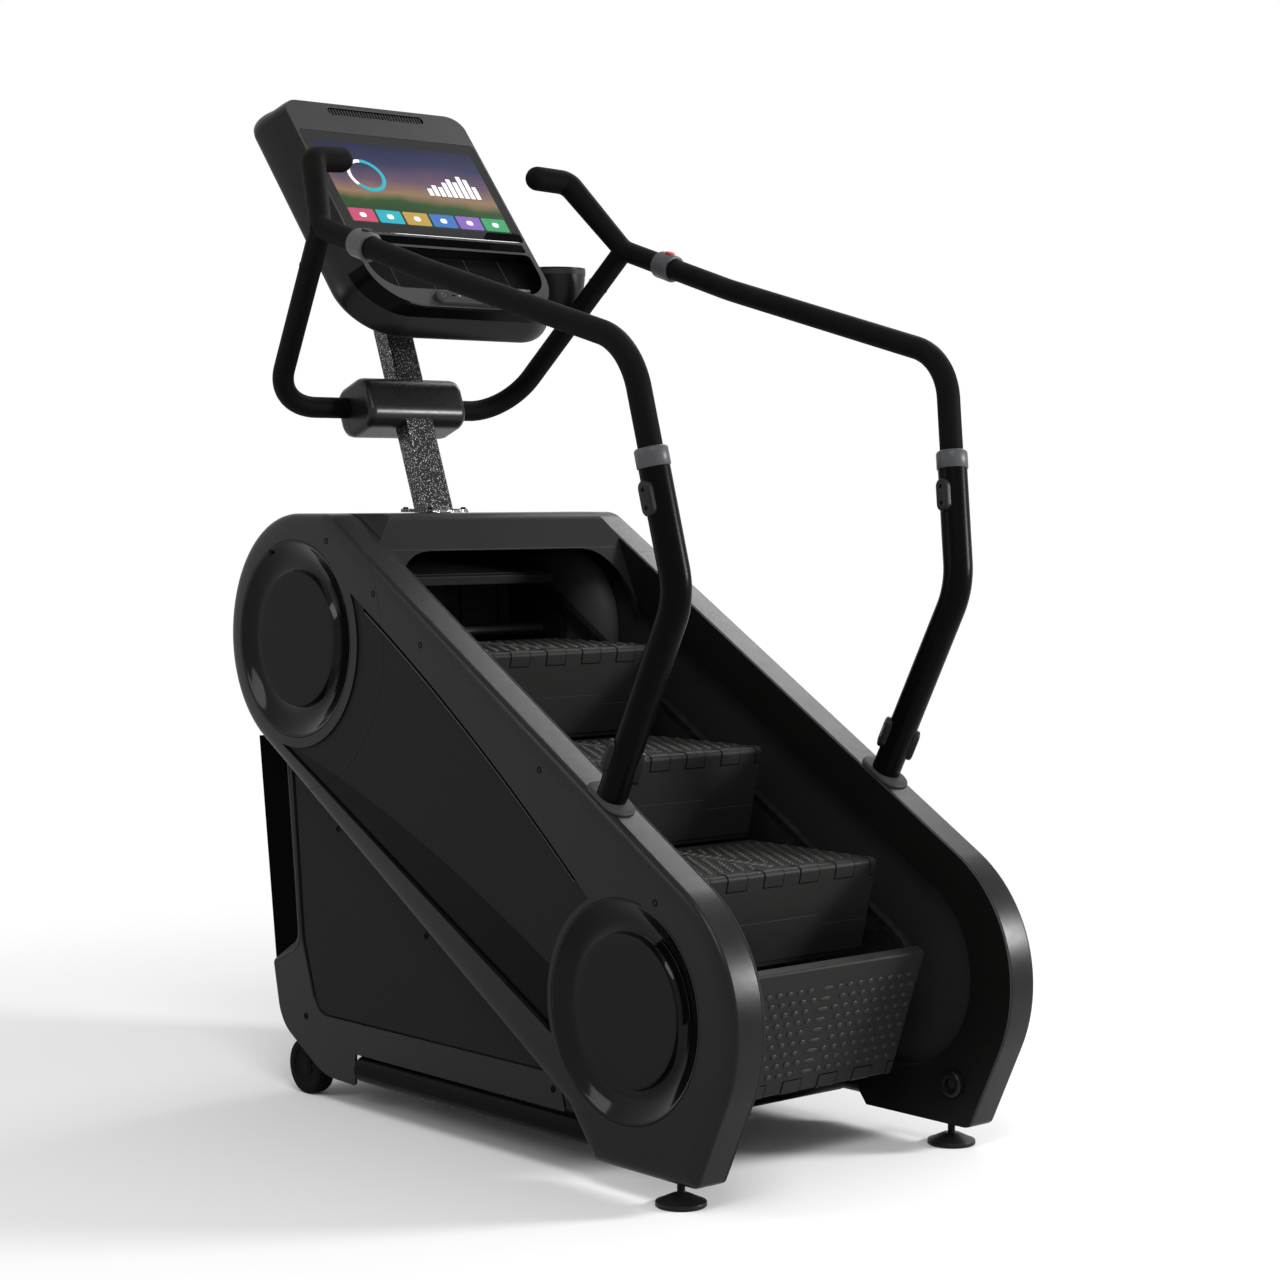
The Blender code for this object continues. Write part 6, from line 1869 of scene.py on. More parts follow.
@dataclass
class Handrail(SidePart):
    """One side's upright, collar, forked grip bar with its lower loop, ring and ring button."""

    mast: Mast
    upright_radius: float = 0.03015
    grip_radius: float = 0.024
    foot_x: float = 0.375
    foot_along: float = 0.270
    kink_step: Triple = (0.0051, -0.2022, 0.3946)
    collar_step: Triple = (0.0259, 0.0460, 0.2572)
    bend_rise: float = 0.2126
    fork: Triple = (0.04871, -0.12992, 0.88329)
    fork_step: Triple = (0.0060, 0.3708, 0.1129)
    elbow_step: Triple = (-0.0658, 0.1272, 0.1622)
    tip_step: Triple = (-0.0806, 0.0117, 0.0053)
    bends: tuple[float, ...] = (0.136, 0.900, 0.050, 0.032)
    bend_step: float = radians(3)
    kink_bend: float = 0.150
    loop_bend: float = 0.135
    loop_corner_x: float = 0.329
    boot_half: Pair = (0.0345, 0.056)
    boot_levels: Pairs = (
        (0.0003, 0.0), (0.0022, 0.0), (0.0045, 0.0016), (0.0062, 0.0050), (0.0075, 0.012), (0.0080, 0.020),
    )
    pad_low: float = 0.078
    pad_high: float = 0.075
    pad_half: Pair = (0.0155, 0.034)
    pad_levels: Pairs = (
        (-0.008, 0.0), (0.0045, 0.0), (0.0070, 0.0008), (0.0085, 0.0026), (0.0090, 0.0050),
    )
    pad_screw: float = 0.0042
    collar_radius: float = 0.0325
    collar_length: float = 0.038
    cuff_along: float = 0.105
    head_reach: float = 0.085
    head_seam: float = 0.050
    head_swell: float = 0.0042
    ring_radius: float = 0.031
    ring_length: float = 0.052
    ring_back: float = 0.190
    button_radius: float = 0.011
    pocket_depth: float = 0.0035
    button_height: float = 0.0045
    travel: float = 0.002

    @cached_property
    def at(self) -> dict[str, Vector]:
        """The bar's centre line on this side.

        Returns:
            Its points by name.
        """
        collar = Vector(self.collar_step)
        place = Vector((self.foot_x, *PLAN.spot(self.foot_along, PLAN.crest_offset)))
        found = {"foot": place}
        steps = {"kink": Vector(self.kink_step), "collar": collar, "bend": collar * self.bend_rise / collar.z}
        for name, step in steps.items():
            place = place + step
            found[name] = place
        fork = Vector((self.foot_x, *PLAN.upper)) + Vector(self.fork)
        found["fork"] = fork
        found["middle"] = fork - Vector(self.fork_step)
        found["elbow"] = fork + Vector(self.elbow_step)
        found["tip"] = found["elbow"] + Vector(self.tip_step)
        return {name: Vector((p.x * self.sign, p.y, p.z)) for name, p in found.items()}

    def way(self, start: str, end: str) -> Vector:
        """The direction from one point of the bar to another."""
        return (self.at[end] - self.at[start]).normalized()

    @property
    def seam(self) -> Vector:
        """Where the upright ends in the collar."""
        return self.at["collar"] - self.way("kink", "collar") * self.collar_length / 2

    def build(self) -> None:
        """Bend the bars and fit what sits on them."""
        self._upright()
        self._pads()
        self._collar()
        self._rail()
        self._ring()

    def _upright(self) -> None:
        """The painted upright with the soft boot at its foot."""
        foot = self.at["foot"]
        route = [foot + self.way("foot", "kink") * 0.004, self.at["kink"], self.seam]
        tube = sweep(bent_path(route, [self.kink_bend], self.bend_step), self.upright_radius, 48)
        node = f"{self.prefix}upright"
        self.piece(f"{node}_tube", tube, GLOSS_PAINT, stands_for=[node])
        rings = []
        for up, inset in self.boot_levels:
            half = self.boot_half[0] - min(inset, 0.012) * 0.35
            reach = self.boot_half[1] - inset
            ring = slab_outline(half, -reach, reach, min(half, reach) * 0.9, radians(6))
            spots = [(p.x, PLAN.spot(self.foot_along + p.y, PLAN.crest_offset + up)) for p in ring]
            rings.append([Vector((foot.x + x, *spot)) for x, spot in spots])
        self.trim("upright_boot", loft(rings), BOOT_GREY, angle=50.0)

    def _pads(self) -> None:
        """The screwed blocks on the upright, two at its foot and one under its collar."""
        rise, upper = self.way("foot", "kink"), self.way("kink", "collar")
        low = self.at["foot"] + rise * self.pad_low
        high = self.at["collar"] - upper * self.pad_high
        ahead, inward = Vector((0.75, -0.66, 0.0)), Vector((-1.0, 0.0, 0.0))
        half, tall = self.pad_half
        pad = slab_outline(half, -tall, tall, half)
        blocks = []
        screws = []
        spots = ((low, rise, ahead), (low + rise * 0.012, rise, -ahead), (high, upper, inward))
        for centre, along, facing in spots:
            out = (facing - along * facing.dot(along)).normalized()
            across = along.cross(out).normalized()
            rings = []
            for up, inset in self.pad_levels:
                middle = centre + out * (self.upright_radius + up)
                shape = [(p.x * (1 - inset / half), p.y * (1 - inset / tall)) for p in pad]
                rings.append([middle + across * x + along * y for x, y in shape])
            blocks.append(loft(rings))
            for shift in (-0.5 * tall, 0.5 * tall):
                head = centre + along * shift + out * (self.upright_radius + self.pad_levels[-1][0])
                screws.append(rod(self.pad_screw, head - out * 0.002, head + out * 0.0004, 20))
        self.trim("upright_pads", joined(blocks), BLACK_MOULDING, angle=50.0)
        self.trim("upright_pad_screws", joined(screws), TREAD_DARK)

    def _collar(self) -> None:
        """The grey collar between the upright and the grip."""
        bore = self.grip_radius + HAIR
        r, h = self.collar_radius, self.collar_length
        profile = [(bore, HAIR), (r - 0.0012, HAIR), (r, 0.0015), (r, h - 0.006), (r - 0.0012, h - 0.0028)]
        profile += [(r - 0.0034, h - 0.0008), (r - 0.005, h), (bore, h)]
        self.skin("collar", lathe(profile, self.seam, self.way("kink", "collar"), 56), RING_GREY, angle=45.0)

    def _rail(self) -> None:
        """The rubber bar from the collar to the tip, with its loop to the clamp."""
        fork = self.at["fork"]
        route = [self.seam + self.way("kink", "collar") * HAIR]
        route += [self.at[name] for name in ("bend", "middle", "fork", "elbow", "tip")]
        path = bent_path(route, self.bends, self.bend_step)
        bar = sweep(path, [self._girth(p) for p in path], 36, (False, True))
        corner = Vector((self.sign * self.loop_corner_x, self.mast.loop_y, self.mast.clamp_z))
        inner = Vector((self.sign * HAIR, corner.y, corner.z))
        loop = sweep(bent_path([fork, corner, inner], [self.loop_bend], self.bend_step), self.grip_radius, 36)
        self.skin("handrail", carved(bar, loop, Cut.JOIN), GRIP, angle=50.0)
        along = (corner - fork).normalized()
        r = self.grip_radius
        profile = [(r - 0.002, 0.0), (r + 0.0005, 0.0), (r + 0.0012, 0.0008)]
        profile += [(r + 0.0012, 0.0030), (r + 0.0005, 0.0038), (r - 0.002, 0.0038)]
        cuff = lathe(profile, fork + along * self.cuff_along, along, 48)
        self.trim("handrail_seam", cuff, GRIP, angle=60.0)
        arm = self.way("fork", "elbow")
        r += 0.0022
        profile = [(r - 0.004, 0.0), (r, 0.0), (r, 0.0016), (r - 0.004, 0.0016)]
        line = lathe(profile, self.at["elbow"] - arm * self.head_seam, arm, 48)
        self.trim("handrail_head_line", line, TREAD_DARK, angle=60.0)

    def _girth(self, place: Vector) -> float:
        """The bar's radius, a little thicker at the elbow of the grip.

        Args:
            place: A point of its centre line.

        Returns:
            The radius there.
        """
        offset = place - self.at["elbow"]
        head = self.at["tip"] - self.at["elbow"]
        share = max(0.0, min(1.0, offset.dot(head) / head.length_squared))
        near = max(0.0, 1.0 - (offset - head * share).length / self.head_reach)
        return self.grip_radius + self.head_swell * sin(near * pi / 2) ** 2

    def _ring(self) -> None:
        """The grey ring with its pocket, and the button in it."""
        along = self.way("middle", "fork")
        base = self.at["fork"] - along * self.ring_back
        bore = self.grip_radius + HAIR
        r, h = self.ring_radius, self.ring_length
        profile = [(bore, 0.0), (r - 0.0035, 0.0), (r - 0.001, 0.0010), (r, 0.0035), (r, h - 0.0035)]
        profile += [(r - 0.001, h - 0.0010), (r - 0.0035, h), (bore, h)]
        up = (Vector((0.0, 0.0, 1.0)) - along * along.z).normalized()
        middle = base + along * h / 2
        floor = r - self.pocket_depth
        pocket = rod(self.button_radius + HAIR, middle + up * floor, middle + up * (r + 0.02), 40)
        ring = carved(lathe(profile, base, along), pocket)
        self.skin("grip_ring", ring, RING_GREY, bevel=0.0004, angle=45.0)
        b, t = self.button_radius, self.button_height
        dome = [(0.0, 0.0), (b, 0.0), (b, t - 0.0016), (b - 0.0006, t - 0.0006)]
        dome += [(b - 0.0022, t - 0.0002), (0.4 * b, t), (0.0, t)]
        button = lathe(dome, middle + up * (floor + self.travel + 2 * HAIR), up, 40)
        right = self.side is Side.RIGHT
        node = "right_stop_button" if right else "left_pace_button"
        finish = KEY_RED if right else BLACK_MOULDING
        self.piece(f"{node}_cap", button, finish, f"{node}_body", [node], angle=40.0)


@dataclass
class Console(Assembly):
    """The console: housing, bezel, screen, keypad, start button and port bar."""

    lean: float = radians(39.5)
    behind: float = 0.030
    above: float = 0.912
    half_width: float = 0.296
    top: float = 0.400
    bottom: float = -0.236
    top_corner: float = 0.048
    top_bulge: float = 0.0160
    bottom_corner: float = 0.118
    back: float = 0.105
    bezel_depth: float = 0.036
    bezel_edge: float = 0.005
    bezel_flare: float = 0.019
    face_flare: float = 0.040
    clear: float = 0.02
    glass: Triple = (0.247, -0.015, 0.300)
    glass_corner: float = 0.010
    glass_thickness: float = 0.0037
    glass_edge: float = 0.0008
    tray: Triple = (0.240, -0.182, -0.055)
    tray_depth: float = 0.030
    pad: float = 0.004
    pad_lines: tuple[float, ...] = (-0.16, -0.06, 0.06, 0.16)
    rest_bar: tuple[float, ...] = (0.166, 0.045, 0.030, 0.038)
    key_half: Pair = (0.026, 0.016)
    key_v: float = -0.115
    key_height: float = 0.0055
    key_corner: float = 0.012
    key_levels: Pairs = (
        (0.0055, 0.0), (0.0022, 0.0), (0.0008, 0.0006), (0.0002, 0.0018), (0.0, 0.0040),
    )
    port: Triple = (0.106, -0.229, -0.193)
    port_height: float = 0.012
    jack_in: float = 0.018
    socket_in: float = 0.046
    lamp_in: float = 0.063
    vent: Triple = (0.135, 0.358, 0.382)
    vent_corner: float = 0.010
    vent_depth: float = 0.008
    fin_count: int = 32
    fin_margin: float = 0.008
    label: Triple = (0.235, -0.047, -0.023)
    picture: Triple = (0.224, 0.012, 0.268)
    lit: Pair = (0.0, 0.0006)
    lit_high: Pair = (0.0, 0.0009)
    dial: Pair = (-0.120, 0.165)
    bars: tuple[float, ...] = (0.022, 0.034, 0.030, 0.046, 0.058, 0.050, 0.070, 0.062, 0.040)
    bar_start: Pair = (0.045, 0.118)
    bar_pitch: float = 0.017

    @property
    def face_up(self) -> Vector:
        """The way up the face, as (y, z)."""
        return heading(pi / 2 - self.lean)

    @property
    def face_out(self) -> Vector:
        """The way out of the face, as (y, z)."""
        return Vector((-self.face_up.y, self.face_up.x))

    @property
    def origin(self) -> Vector:
        """The origin of the console's own axes, as (y, z)."""
        return PLAN.upper + Vector((self.behind, self.above))

    def point(self, across: float, up: float, out: float) -> Vector:
        """A point in the console's own axes, in the machine's frame."""
        return Vector((across, *(self.origin + self.face_up * up + self.face_out * out)))

    def local(self, place: Vector) -> Vector:
        """A point of the machine's frame in the console's own axes."""
        offset = place.yz - self.origin
        return Vector((place.x, offset.dot(self.face_up), offset.dot(self.face_out)))

    def turned(self, profile: Sequence[Pair], across: float, up: float, out: float, sides: int) -> Mesh:
        """A profile turned about an axis that stands on the face."""
        return lathe(profile, self.point(across, up, out), (0.0, *self.face_out), sides)

    def outline(self, side_inset: float, end_inset: float) -> Outline:
        """The console's outline.

        Args:
            side_inset: How far it is drawn in at its sides.
            end_inset: How far it is drawn in at its ends.

        Returns:
            Its points.
        """
        half = self.half_width - side_inset
        low, high = self.bottom + end_inset, self.top - end_inset
        wide, tight = self.bottom_corner - end_inset, self.top_corner - end_inset
        return rounded([(half, low), (half, high), (-half, high), (-half, low)], [wide, tight, tight, wide])

    def slab(self, layers: Sequence[tuple[Outline, float]]) -> Mesh:
        """A loft through face outlines, each at its height out of the face."""
        return loft([[self.point(p.x, p.y, out) for p in ring] for ring, out in layers])

    def tile(self, middle: float, half: float, span: Pair, corner: float, levels: Pair) -> Mesh:
        """A thin plate on the face, given by its middle, half width and span up the face."""
        ring = [p + Vector((middle, 0.0)) for p in slab_outline(half, *span, corner)]
        return self.slab([(ring, level) for level in levels])

    def border(self, plate: tuple, line: float, levels: Pair) -> Mesh:
        """A thin outline on the face, drawn outside a plate.

        Args:
            plate: The plate's middle, half width, span and corner.
            line: Width of the outline.
            levels: Where it starts and ends, out of the face.

        Returns:
            The new mesh.
        """
        middle, half, (low, high), corner = plate
        outer = self.tile(middle, half + line, (low - line, high + line), corner + line, levels)
        return carved(outer, self.tile(*plate, (levels[0] - 0.01, levels[1] + 0.01)))

    def tray_outline(self, grow: float) -> Outline:
        """The keypad's recess, with wide lower corners.

        Args:
            grow: How far it is grown.

        Returns:
            Its points.
        """
        half, low, high = self.tray[0] + grow, self.tray[1] - grow, self.tray[2] + grow
        return rounded([(half, low), (half, high), (-half, high), (-half, low)], [0.070, 0.014, 0.014, 0.070])

    def build(self) -> None:
        """Make every piece of the console."""
        self._housing()
        self._bezel()
        self._face()
        self._screen()
        self._picture()
        self._keypad()
        self._start_button()
        self._ports()

    def _housing(self) -> None:
        """The deep back shell, grey where it meets the bezel."""
        join = -self.bezel_depth
        front = join - HAIR
        widest = 0.6 * (join - self.back)
        layers = []
        for k in range(13):
            out = -self.back + (front + self.back) * (k / 12)
            if out < widest:
                bend = sin((out + self.back) / (widest + self.back) * pi / 2)
                end_inset = self.bezel_flare - (self.bezel_flare + self.top_bulge) * bend
                ring = self.outline(self.bezel_flare * (1 - bend), end_inset)
            else:
                bend = 1 - cos((out - widest) / (front - widest) * pi / 2)
                ring = self.outline(self.bezel_flare * bend, -self.top_bulge * (1 - bend))
            layers.append((ring, out))
        shell = self.slab(layers)
        for face in shell.faces:
            face.material_index = 1 if self.local(face.calc_center_median()).z > widest + 0.004 else 0
        self.skin("console_housing", shell, (BLACK_MOULDING, SHELL_SKIN), angle=50.0)

    def _bezel(self) -> None:
        """The grey face with its seats for screen, tray and vent."""
        edge, flare = self.bezel_edge, self.face_flare
        insets = [
            (self.bezel_flare, 0.0, -self.bezel_depth), (flare - 0.004, 0.0, -edge - 0.004),
            (flare, 0.0005, -edge), (flare + 0.0010, 0.0022, -edge * 0.35), (flare + edge / 2, edge, 0.0),
        ]
        bezel = self.slab([(self.outline(side, end), out) for side, end, out in insets])
        half, low, high = self.glass
        seat = slab_outline(half + HAIR, low - HAIR, high + HAIR, self.glass_corner)
        bezel = carved(bezel, self.slab([(seat, -self.glass_thickness - HAIR), (seat, self.clear)]))
        tray = self.tray_outline(HAIR)
        bezel = carved(bezel, self.slab([(tray, -self.tray_depth), (tray, self.clear)]))
        half, *span = self.vent
        bezel = carved(bezel, self.tile(0.0, half, span, self.vent_corner, (-self.vent_depth, self.clear)))
        self._paint(bezel)
        finishes = (CONSOLE_GREY, BAND_BLACK, TREAD_DARK, SHELL_SKIN)
        self.skin("console_bezel", bezel, finishes, bevel=0.0009, angle=35.0)

    def _face(self) -> None:
        """The fins and the rim of the vent, and the strip above the tray."""
        half, low, high = self.vent
        fin_span = (low + 0.003, high - 0.003)
        fin = self.tile(-half + self.fin_margin, 0.0016, fin_span, 0.0008, (-self.vent_depth, -0.0012))
        step = (2 * half - 2 * self.fin_margin) / (self.fin_count - 1)
        fins = row(fin, self.fin_count, (step, 0.0, 0.0), CONSOLE_GREY)
        self.piece("console_vent_fins", fins, CONSOLE_GREY)
        rim = self.border((0.0, half, (low, high), self.vent_corner), 0.0016, (-0.001, 0.0007))
        self.piece("console_vent_rim", rim, RING_GREY, bevel=0.0003, segments=1)
        half, low, high = self.label
        strip = self.tile(0.0, half, (low, high), 0.003, (-0.0006, 0.0006))
        self.piece("console_label_strip", strip, REAR_BLACK)
        box = self.tile(half - 0.050, 0.048, (low + 0.002, high - 0.002), 0.003, (0.0, 0.0011))
        self.piece("console_label_box", box, BAND_BLACK)

    def _paint(self, bezel: Mesh) -> None:
        """Painted shade on the vent's floor, black for the tray's walls and for the lower rim, dark for the
        sides, grey for the rest.

        Args:
            bezel: The bezel's mesh.
        """
        near = 0.001
        bezel.normal_update()
        for face in bezel.faces:
            x, up, out = self.local(face.calc_center_median())
            sunk = out < -near and abs(x) < self.tray[0] + near
            over_glass = up > self.glass[2] + 0.01 and abs(x) < self.vent[0] + near
            vent_shade = sunk and over_glass and out > -self.vent_depth - near
            in_tray = sunk and self.tray[1] - near < up < self.tray[2] + near
            side = face.normal.yz.dot(self.face_out) < 0.8 and out > -self.bezel_depth + near
            rim = side and up < self.bottom + self.bottom_corner
            # The vent's floor takes the near black of painted shade.
            face.material_index = 2 if vent_shade else 1 if in_tray or rim else 3 if side else 0

    def _screen(self) -> None:
        """The black glass."""
        half, low, high = self.glass
        edge = self.glass_edge
        glass = slab_outline(half, low, high, self.glass_corner)
        soft = slab_outline(half - edge, low + edge, high - edge, 0.0094)
        pane = self.slab([(glass, -self.glass_thickness), (glass, -edge), (soft, 0.0)])
        self.piece("display_screen_pane", pane, GLASS, stands_for=["display_screen"], angle=40.0)

    def _picture(self) -> None:
        """What the display shows: a dial, bars and a row of coloured keys."""
        half, low, high = self.picture
        self.piece("display_picture", self.tile(0.0, half, (low, high), 0.002, (-0.0002, 0.0002)), PICTURE)
        ring = [(0.041, 0.0), (0.050, 0.0), (0.050, self.lit[1]), (0.041, self.lit[1])]
        self.piece("display_dial", self.turned(ring, *self.dial, 0.0, 64), PIXEL_WHITE)
        turns = [radians(90 - 6 * k) for k in range(39)]
        share = [Vector(self.dial) + heading(a) * 0.0505 for a in turns]
        share += [Vector(self.dial) + heading(a) * 0.0405 for a in reversed(turns)]
        share = self.slab([(share, level) for level in self.lit_high])
        self.piece("display_dial_share", share, PIXEL_COLOURS[1])
        first, foot = self.bar_start
        spots = [(first + self.bar_pitch * k, (foot, foot + tall)) for k, tall in enumerate(self.bars)]
        bars = [self.tile(middle, 0.0062, span, 0.001, self.lit) for middle, span in spots]
        self.piece("display_bars", joined(bars), PIXEL_WHITE)
        pitch = 2 * half / len(PIXEL_COLOURS)
        for k, colour in enumerate(PIXEL_COLOURS):
            middle = -half + pitch * (k + 0.5)
            key = self.tile(middle, 0.46 * pitch, (low + 0.004, low + 0.044), 0.004, self.lit)
            self.piece(f"display_key_{k}", key, colour)
            mark = self.tile(middle, 0.12 * pitch, (low + 0.017, low + 0.031), 0.0065, self.lit_high)
            self.piece(f"display_key_mark_{k}", mark, PIXEL_WHITE)

    def key_span(self, grow: float) -> Pair:
        """The start button's span up the face, grown at both ends."""
        return self.key_v - self.key_half[1] - grow, self.key_v + self.key_half[1] + grow

    def _keypad(self) -> None:
        """The sunk keypad round the start button, with its lines and its bar."""
        floor = -self.tray_depth + HAIR
        top = floor + self.pad
        outline = self.tray_outline(-HAIR)
        plate = self.slab([(outline, floor), (outline, top)])
        wide = self.key_half[0]
        hole = self.tile(0.0, wide + HAIR, self.key_span(HAIR), self.key_corner, (-0.06, self.clear))
        self.piece("keypad_plate", carved(plate, hole), BAND_BLACK, stands_for=["keypad_panel"], bevel=0.0006)
        _, low, high = self.tray
        span = (low + 0.004, high - 0.004)
        lines = [self.tile(x, 0.0004, span, 0.0003, (floor, top + 0.0003)) for x in self.pad_lines]
        self.piece("keypad_lines", joined(lines), RING_GREY)
        edge = self.border((0.0, wide + 0.002, self.key_span(0.002), 0.013), 0.0022, (floor, top + 0.0005))
        self.piece("keypad_start_frame", edge, KEY_WHITE)
        middle, half, start, end = self.rest_bar
        bar = self.tile(middle, half, (low + start, low + end), 0.003, (floor, top + 0.004))
        self.piece("keypad_rest_bar", bar, TRIM_SILVER, bevel=0.0010)

    def _start_button(self) -> None:
        """The green start button and its mark."""
        body = "start_button_body"
        rest = -self.tray_depth + 0.002 + HAIR
        wide, tall = self.key_half[0], self.key_height
        rings = []
        for drop, inset in self.key_levels:
            ring = slab_outline(wide - inset, *self.key_span(-inset), self.key_corner - inset * 0.6)
            rings.append((ring, rest + tall - drop))
        self.piece("start_button_cap", self.slab(rings), KEY_GREEN, body, ["start_button"], angle=40.0)
        span = (self.key_v - 0.007, self.key_v + 0.007)
        mark = self.tile(0.0, 0.0016, span, 0.0012, (rest + tall - 0.001, rest + tall + 0.0003))
        self.piece("start_button_mark", mark, KEY_WHITE, body)

    def _ports(self) -> None:
        """The round-ended bar below the tray, with its jack, its socket and its lamp."""
        half, low, high = self.port
        tall = self.port_height
        levels = ((HAIR, 0.0), (tall - 0.004, 0.0), (tall - 0.0015, 0.0010), (tall, 0.0035))
        rings = [(slab_outline(half - i, low + i, high - i, 0.0175 - i), up) for up, i in levels]
        self.skin("port_bar", self.slab(rings), CONSOLE_GREY, angle=40.0)
        middle = (low + high) / 2
        bore, low, proud, flush = 0.0030, tall - 0.001, tall + 0.0006, tall + 0.0002
        collar = [(bore, -0.001), (0.0058, -0.001), (0.0058, 0.0006), (bore, 0.0006)]
        jack = self.turned(collar, self.jack_in - half, middle, tall, 32)
        hole = [(0.0, -0.001), (bore, -0.001), (bore, 0.0002), (0.0, 0.0002)]
        hole = self.turned(hole, self.jack_in - half, middle, tall, 24)
        opening = (self.socket_in - half, 0.0062, (middle - 0.003, middle + 0.003), 0.001)
        socket = self.border(opening, 0.0012, (low, proud))
        self.piece("port_bar_collars", joined([jack, socket]), RING_GREY, angle=50.0)
        # Painted shade: near-black discs stand in for the shaded insides of the jack and the socket.
        self.piece("port_bar_holes", joined([hole, self.tile(*opening, (low, flush))]), TREAD_DARK)
        span = (middle - 0.0016, middle + 0.0016)
        lamp = self.tile(self.lamp_in - half, 0.0016, span, 0.0014, (low, proud))
        self.piece("port_bar_lamp", lamp, LAMP_GREEN)


@dataclass
class CupHolder(Assembly):
    """The bowl on the right of the console, with its arm."""

    radius: float = 0.0695
    foot: float = 0.026
    height: float = 0.112
    wall: float = 0.004
    x: float = 0.382
    behind: float = 0.070
    rim_z: float = 1.86488
    arm: float = 0.024
    arm_start: float = 0.2963

    def build(self) -> None:
        """Turn the bowl and fix its arm."""
        base = (self.x, PLAN.upper.x + self.behind, self.rim_z)
        axis = (0.0, 0.0, 1.0)
        r, h, w = self.radius, self.height, self.wall
        shares = [k / 14 for k in range(15)]
        bend = [sin(t * pi / 2) ** 0.8 for t in shares]
        outside = [(self.foot + (r - self.foot) * b, -h + h * t**1.6) for b, t in zip(bend, shares)]
        inside = [(max(radius - w, 0.002), min(z + w, 0.0)) for radius, z in reversed(outside[:-1])]
        bowl = [(0.0, -h), *outside, (r - 0.0012, 0.0), (r - w + 0.001, 0.0), *inside, (0.0, -h + w)]
        cup = lathe(bowl, base, axis, 72)
        top, y = self.rim_z - 0.5 * self.arm, base[1]
        corners = [(y - self.arm, top - self.arm), (y, top - self.arm), (y, top), (y - self.arm, top)]
        arm = prism(rounded(corners, [0.005] * 4), self.arm_start, self.x - r + 1.6 * w)
        cup = carved(cup, arm, Cut.JOIN)
        self.piece("right_cup_bowl", cup, BLACK_MOULDING, stands_for=["right_cup_holder"], angle=45.0)
        band = [(r - 0.0005, -0.016), (r + 0.0004, -0.016), (r + 0.0006, -0.008)]
        band += [(r + 0.0004, -0.004), (r - 0.0005, -0.004)]
        self.piece("right_cup_band", lathe(band, base, axis, 72), BOOT_GREY, angle=50.0)


@dataclass
class Foot(SidePart):
    """One levelling foot with its threaded stem."""

    radius: float = 0.049
    pad: float = 0.010
    cone: float = 0.014
    stem: float = 0.008
    stem_top: float = 0.0627
    thread_pitch: float = 0.00175

    def build(self) -> None:
        """Turn the foot, with the stem's thread as rings."""
        x, axis = self.sign * PLAN.foot_x, (0, 0, 1)
        r, p, s = self.radius, self.pad, self.stem
        top = p + self.cone
        profile = [(0.0, 0.0), (r - 0.002, 0.0), (r, 0.002), (r, p - 0.002), (r - 0.0008, p - 0.0005)]
        profile += [(r - 0.003, p), (s + 0.010, top - 0.001), (s + 0.006, top), (s - 0.001, top)]
        profile += [(s - 0.001, self.stem_top), (0.0, self.stem_top)]
        body = f"{self.prefix}foot_body"
        foot = lathe(profile, (x, PLAN.foot_y, 0.0), axis)
        self.skin("front_foot", foot, BLACK_MOULDING, body, angle=40.0)
        ridge = [(s - 0.0015, 0.0), (s, 0.0008), (s - 0.0015, 0.0016)]
        turn = lathe(ridge, (x, PLAN.foot_y, top + 0.001), axis, 24)
        count = int((self.stem_top - top - 0.003) / self.thread_pitch)
        thread = row(turn, count, (0.0, 0.0, self.thread_pitch), OILED_METAL)
        self.trim("front_foot_thread", thread, OILED_METAL, body, angle=60.0)


@dataclass
class TransportWheel(SidePart):
    """One rear transport wheel."""

    inner_x: float = 0.337
    y: float = 0.552
    radius: float = 0.062
    width: float = 0.041
    bore: float = 0.0083

    def build(self) -> None:
        """Turn the tyre and its hub."""
        r, w, b = self.radius, self.width, self.bore
        profile = [(b, 0.001), (r - 0.022, 0.001), (r - 0.006, 0.0), (r - 0.0018, 0.0018), (r, 0.006)]
        profile += [(r, w - 0.006), (r - 0.0018, w - 0.0018), (r - 0.006, w), (r - 0.018, w - 0.001)]
        profile += [(r - 0.022, w - 0.005), (0.022, w - 0.006), (0.020, w - 0.003), (b, w - 0.003)]
        wheel = lathe(profile, (self.sign * self.inner_x, self.y, r), (self.sign, 0, 0), 72)
        self.skin("transport_wheel", wheel, BELT_RUBBER, f"{self.prefix}wheel_body", angle=40.0)


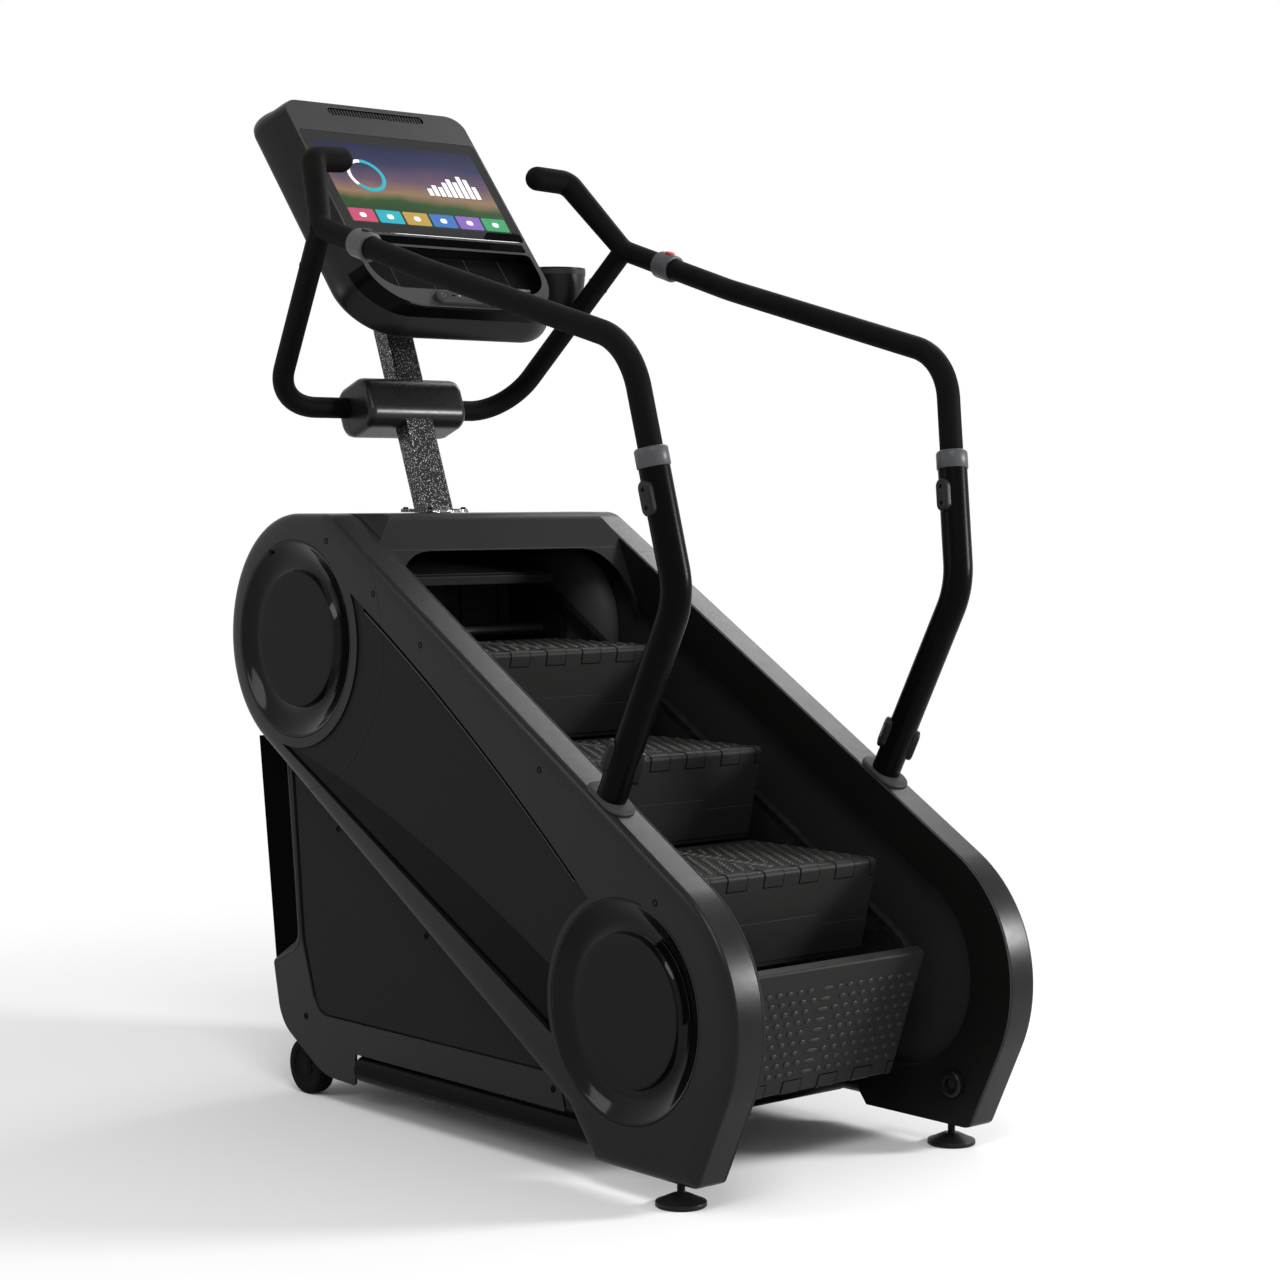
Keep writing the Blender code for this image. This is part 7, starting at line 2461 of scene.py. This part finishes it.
@dataclass
class Studio:
    """Floor, backdrop, lamps and camera."""

    camera_place: Triple = (-3.68950, -4.43506, 1.337)
    camera_turn: Triple = (radians(90 - 3.1591), 0.0, radians(-40.7384))
    lens: float = 75.98
    sensor: float = 36.0
    floor_size: float = 14.0
    floor_white: float = 0.92
    fade: Pair = (1.4, 3.2)
    world_light: float = 0.50
    lamps: tuple[tuple, ...] = (
        ("key", (-2.2, -3.0, 4.6), 2.0, 110.0),
        ("front", (3.3, -3.6, 1.9), 0.9, 235.0),
        ("top", (3.3, 1.2, 4.0), 1.9, 62.0),
        ("side", (-3.6, 1.4, 2.4), 1.2, 22.0),
    )
    aim: Triple = (0.0, 0.0, 0.9)

    def build(self) -> None:
        """Set the whole stage."""
        self._view()
        self._world()
        self._floor()
        for lamp in self.lamps:
            self._lamp(*lamp)

    def _view(self) -> None:
        """Place the camera and leave the colours as they are."""
        data = bpy.data.cameras.new("camera")
        data.lens = self.lens
        data.sensor_width = self.sensor
        camera = placed("camera", data)
        camera.location = self.camera_place
        camera.rotation_euler = Euler(self.camera_turn)
        bpy.context.scene.camera = camera
        bpy.context.scene.view_settings.view_transform = "Standard"

    def _world(self) -> None:
        """White to the camera and in reflections, softer as light."""
        world = bpy.data.worlds.new("studio")
        bpy.context.scene.world = world
        world.use_nodes = True
        wiring = Wiring(world.node_tree)
        sources = {0: self._seen(wiring), 3: self.world_light, 4: 1.0}
        level = wiring.out("ShaderNodeMapRange", sources)
        wiring.feed(world.node_tree.nodes["Background"], {"Color": WHITE, "Strength": level})

    @staticmethod
    def _seen(wiring: Wiring) -> Socket:
        """One for rays that see the stage, straight or in gloss and glass, and zero for light.

        Args:
            wiring: The wiring of the tree that needs it.

        Returns:
            The socket.
        """
        path = wiring.add("ShaderNodeLightPath").outputs
        seen = wiring.math("MAXIMUM", path["Is Camera Ray"], path["Is Glossy Ray"])
        return wiring.math("MAXIMUM", seen, path["Is Transmission Ray"])

    def _floor(self) -> None:
        """A pale floor that keeps the shadow and fades to white."""
        mesh = bmesh.new()
        bmesh.ops.create_grid(mesh, x_segments=8, y_segments=8, size=self.floor_size / 2)
        data = bpy.data.meshes.new("floor")
        mesh.to_mesh(data)
        mesh.free()
        floor = placed("floor", data)
        values = {"Base Color": (*[self.floor_white] * 3, 1.0), "Roughness": 0.9, "Specular IOR Level": 0.0}
        material, wiring, shader = new_material("floor_white", values)
        reach = wiring.add("ShaderNodeVectorMath", {0: wiring.place()}, operation="LENGTH").outputs["Value"]
        far = wiring.span(reach, *self.fade, interpolation_type="SMOOTHSTEP")
        white = wiring.out("ShaderNodeEmission", {"Color": WHITE, "Strength": 1.0})
        share = wiring.math("MULTIPLY", far, self._seen(wiring))
        mix = wiring.out("ShaderNodeMixShader", {0: share, 1: shader.outputs[0], 2: white})
        wiring.feed(material.node_tree.nodes["Material Output"], {"Surface": mix})
        data.materials.append(material)

    def _lamp(self, name: str, place: Triple, size: float, power: float) -> None:
        """A soft square lamp aimed at the machine's middle.

        Args:
            name: The lamp's name.
            place: Where it hangs.
            size: Its width.
            power: Its power.
        """
        data = bpy.data.lights.new(name, "AREA")
        data.size = size
        data.energy = power
        lamp = placed(name, data)
        lamp.location = place
        aim = Vector(self.aim) - Vector(place)
        lamp.rotation_euler = aim.to_track_quat("-Z", "Y").to_euler()


KEPT_SOLIDS = (
    (GLOSS_PAINT, ("left_side_frame", "right_side_frame", "front_cross_tube", "rear_cross_tube")),
    (INSIDE_DARK_AND_SHADE, ("mast_beam", "brake_body")),
    (OILED_METAL, ("upper_drive_shaft", "lower_idler_shaft", "brake_rotor")),
    (OILED_METAL, ("left_step_chain", "right_step_chain")),
    (BELT_RUBBER, ("drive_belt",)),
    (REAR_BLACK, ("rear_cover",)),
)


def dress_solids(nodes: dict[str, bpy.types.Object]) -> None:
    """Give the solids that stay visible their finishes.

    Args:
        nodes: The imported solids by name.
    """
    for finish, name in [(finish, name) for finish, names in KEPT_SOLIDS for name in names]:
        for slot in nodes[name].material_slots:
            slot.material = finish.material()
        LOG.info("%s: solid kept, %s", name, finish.name)


def main() -> None:
    """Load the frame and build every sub-assembly."""
    logging.basicConfig(level=logging.INFO, format="%(name)s: %(message)s")
    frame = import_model()
    console = Console()
    mast = Mast(console)
    for side in Side:
        SideShell(side).build()
        for half in End:
            DiscCover(side, half).build()
        InnerSkirt(side).build()
        LowerCover(side).build()
        Handrail(side, mast).build()
        Foot(side).build()
        TransportWheel(side).build()
    Hood(mast).build()
    Flight().build()
    mast.build()
    console.build()
    CupHolder().build()
    dress_solids(frame["nodes"])
    Studio().build()


if __name__ == "__main__":
    main()
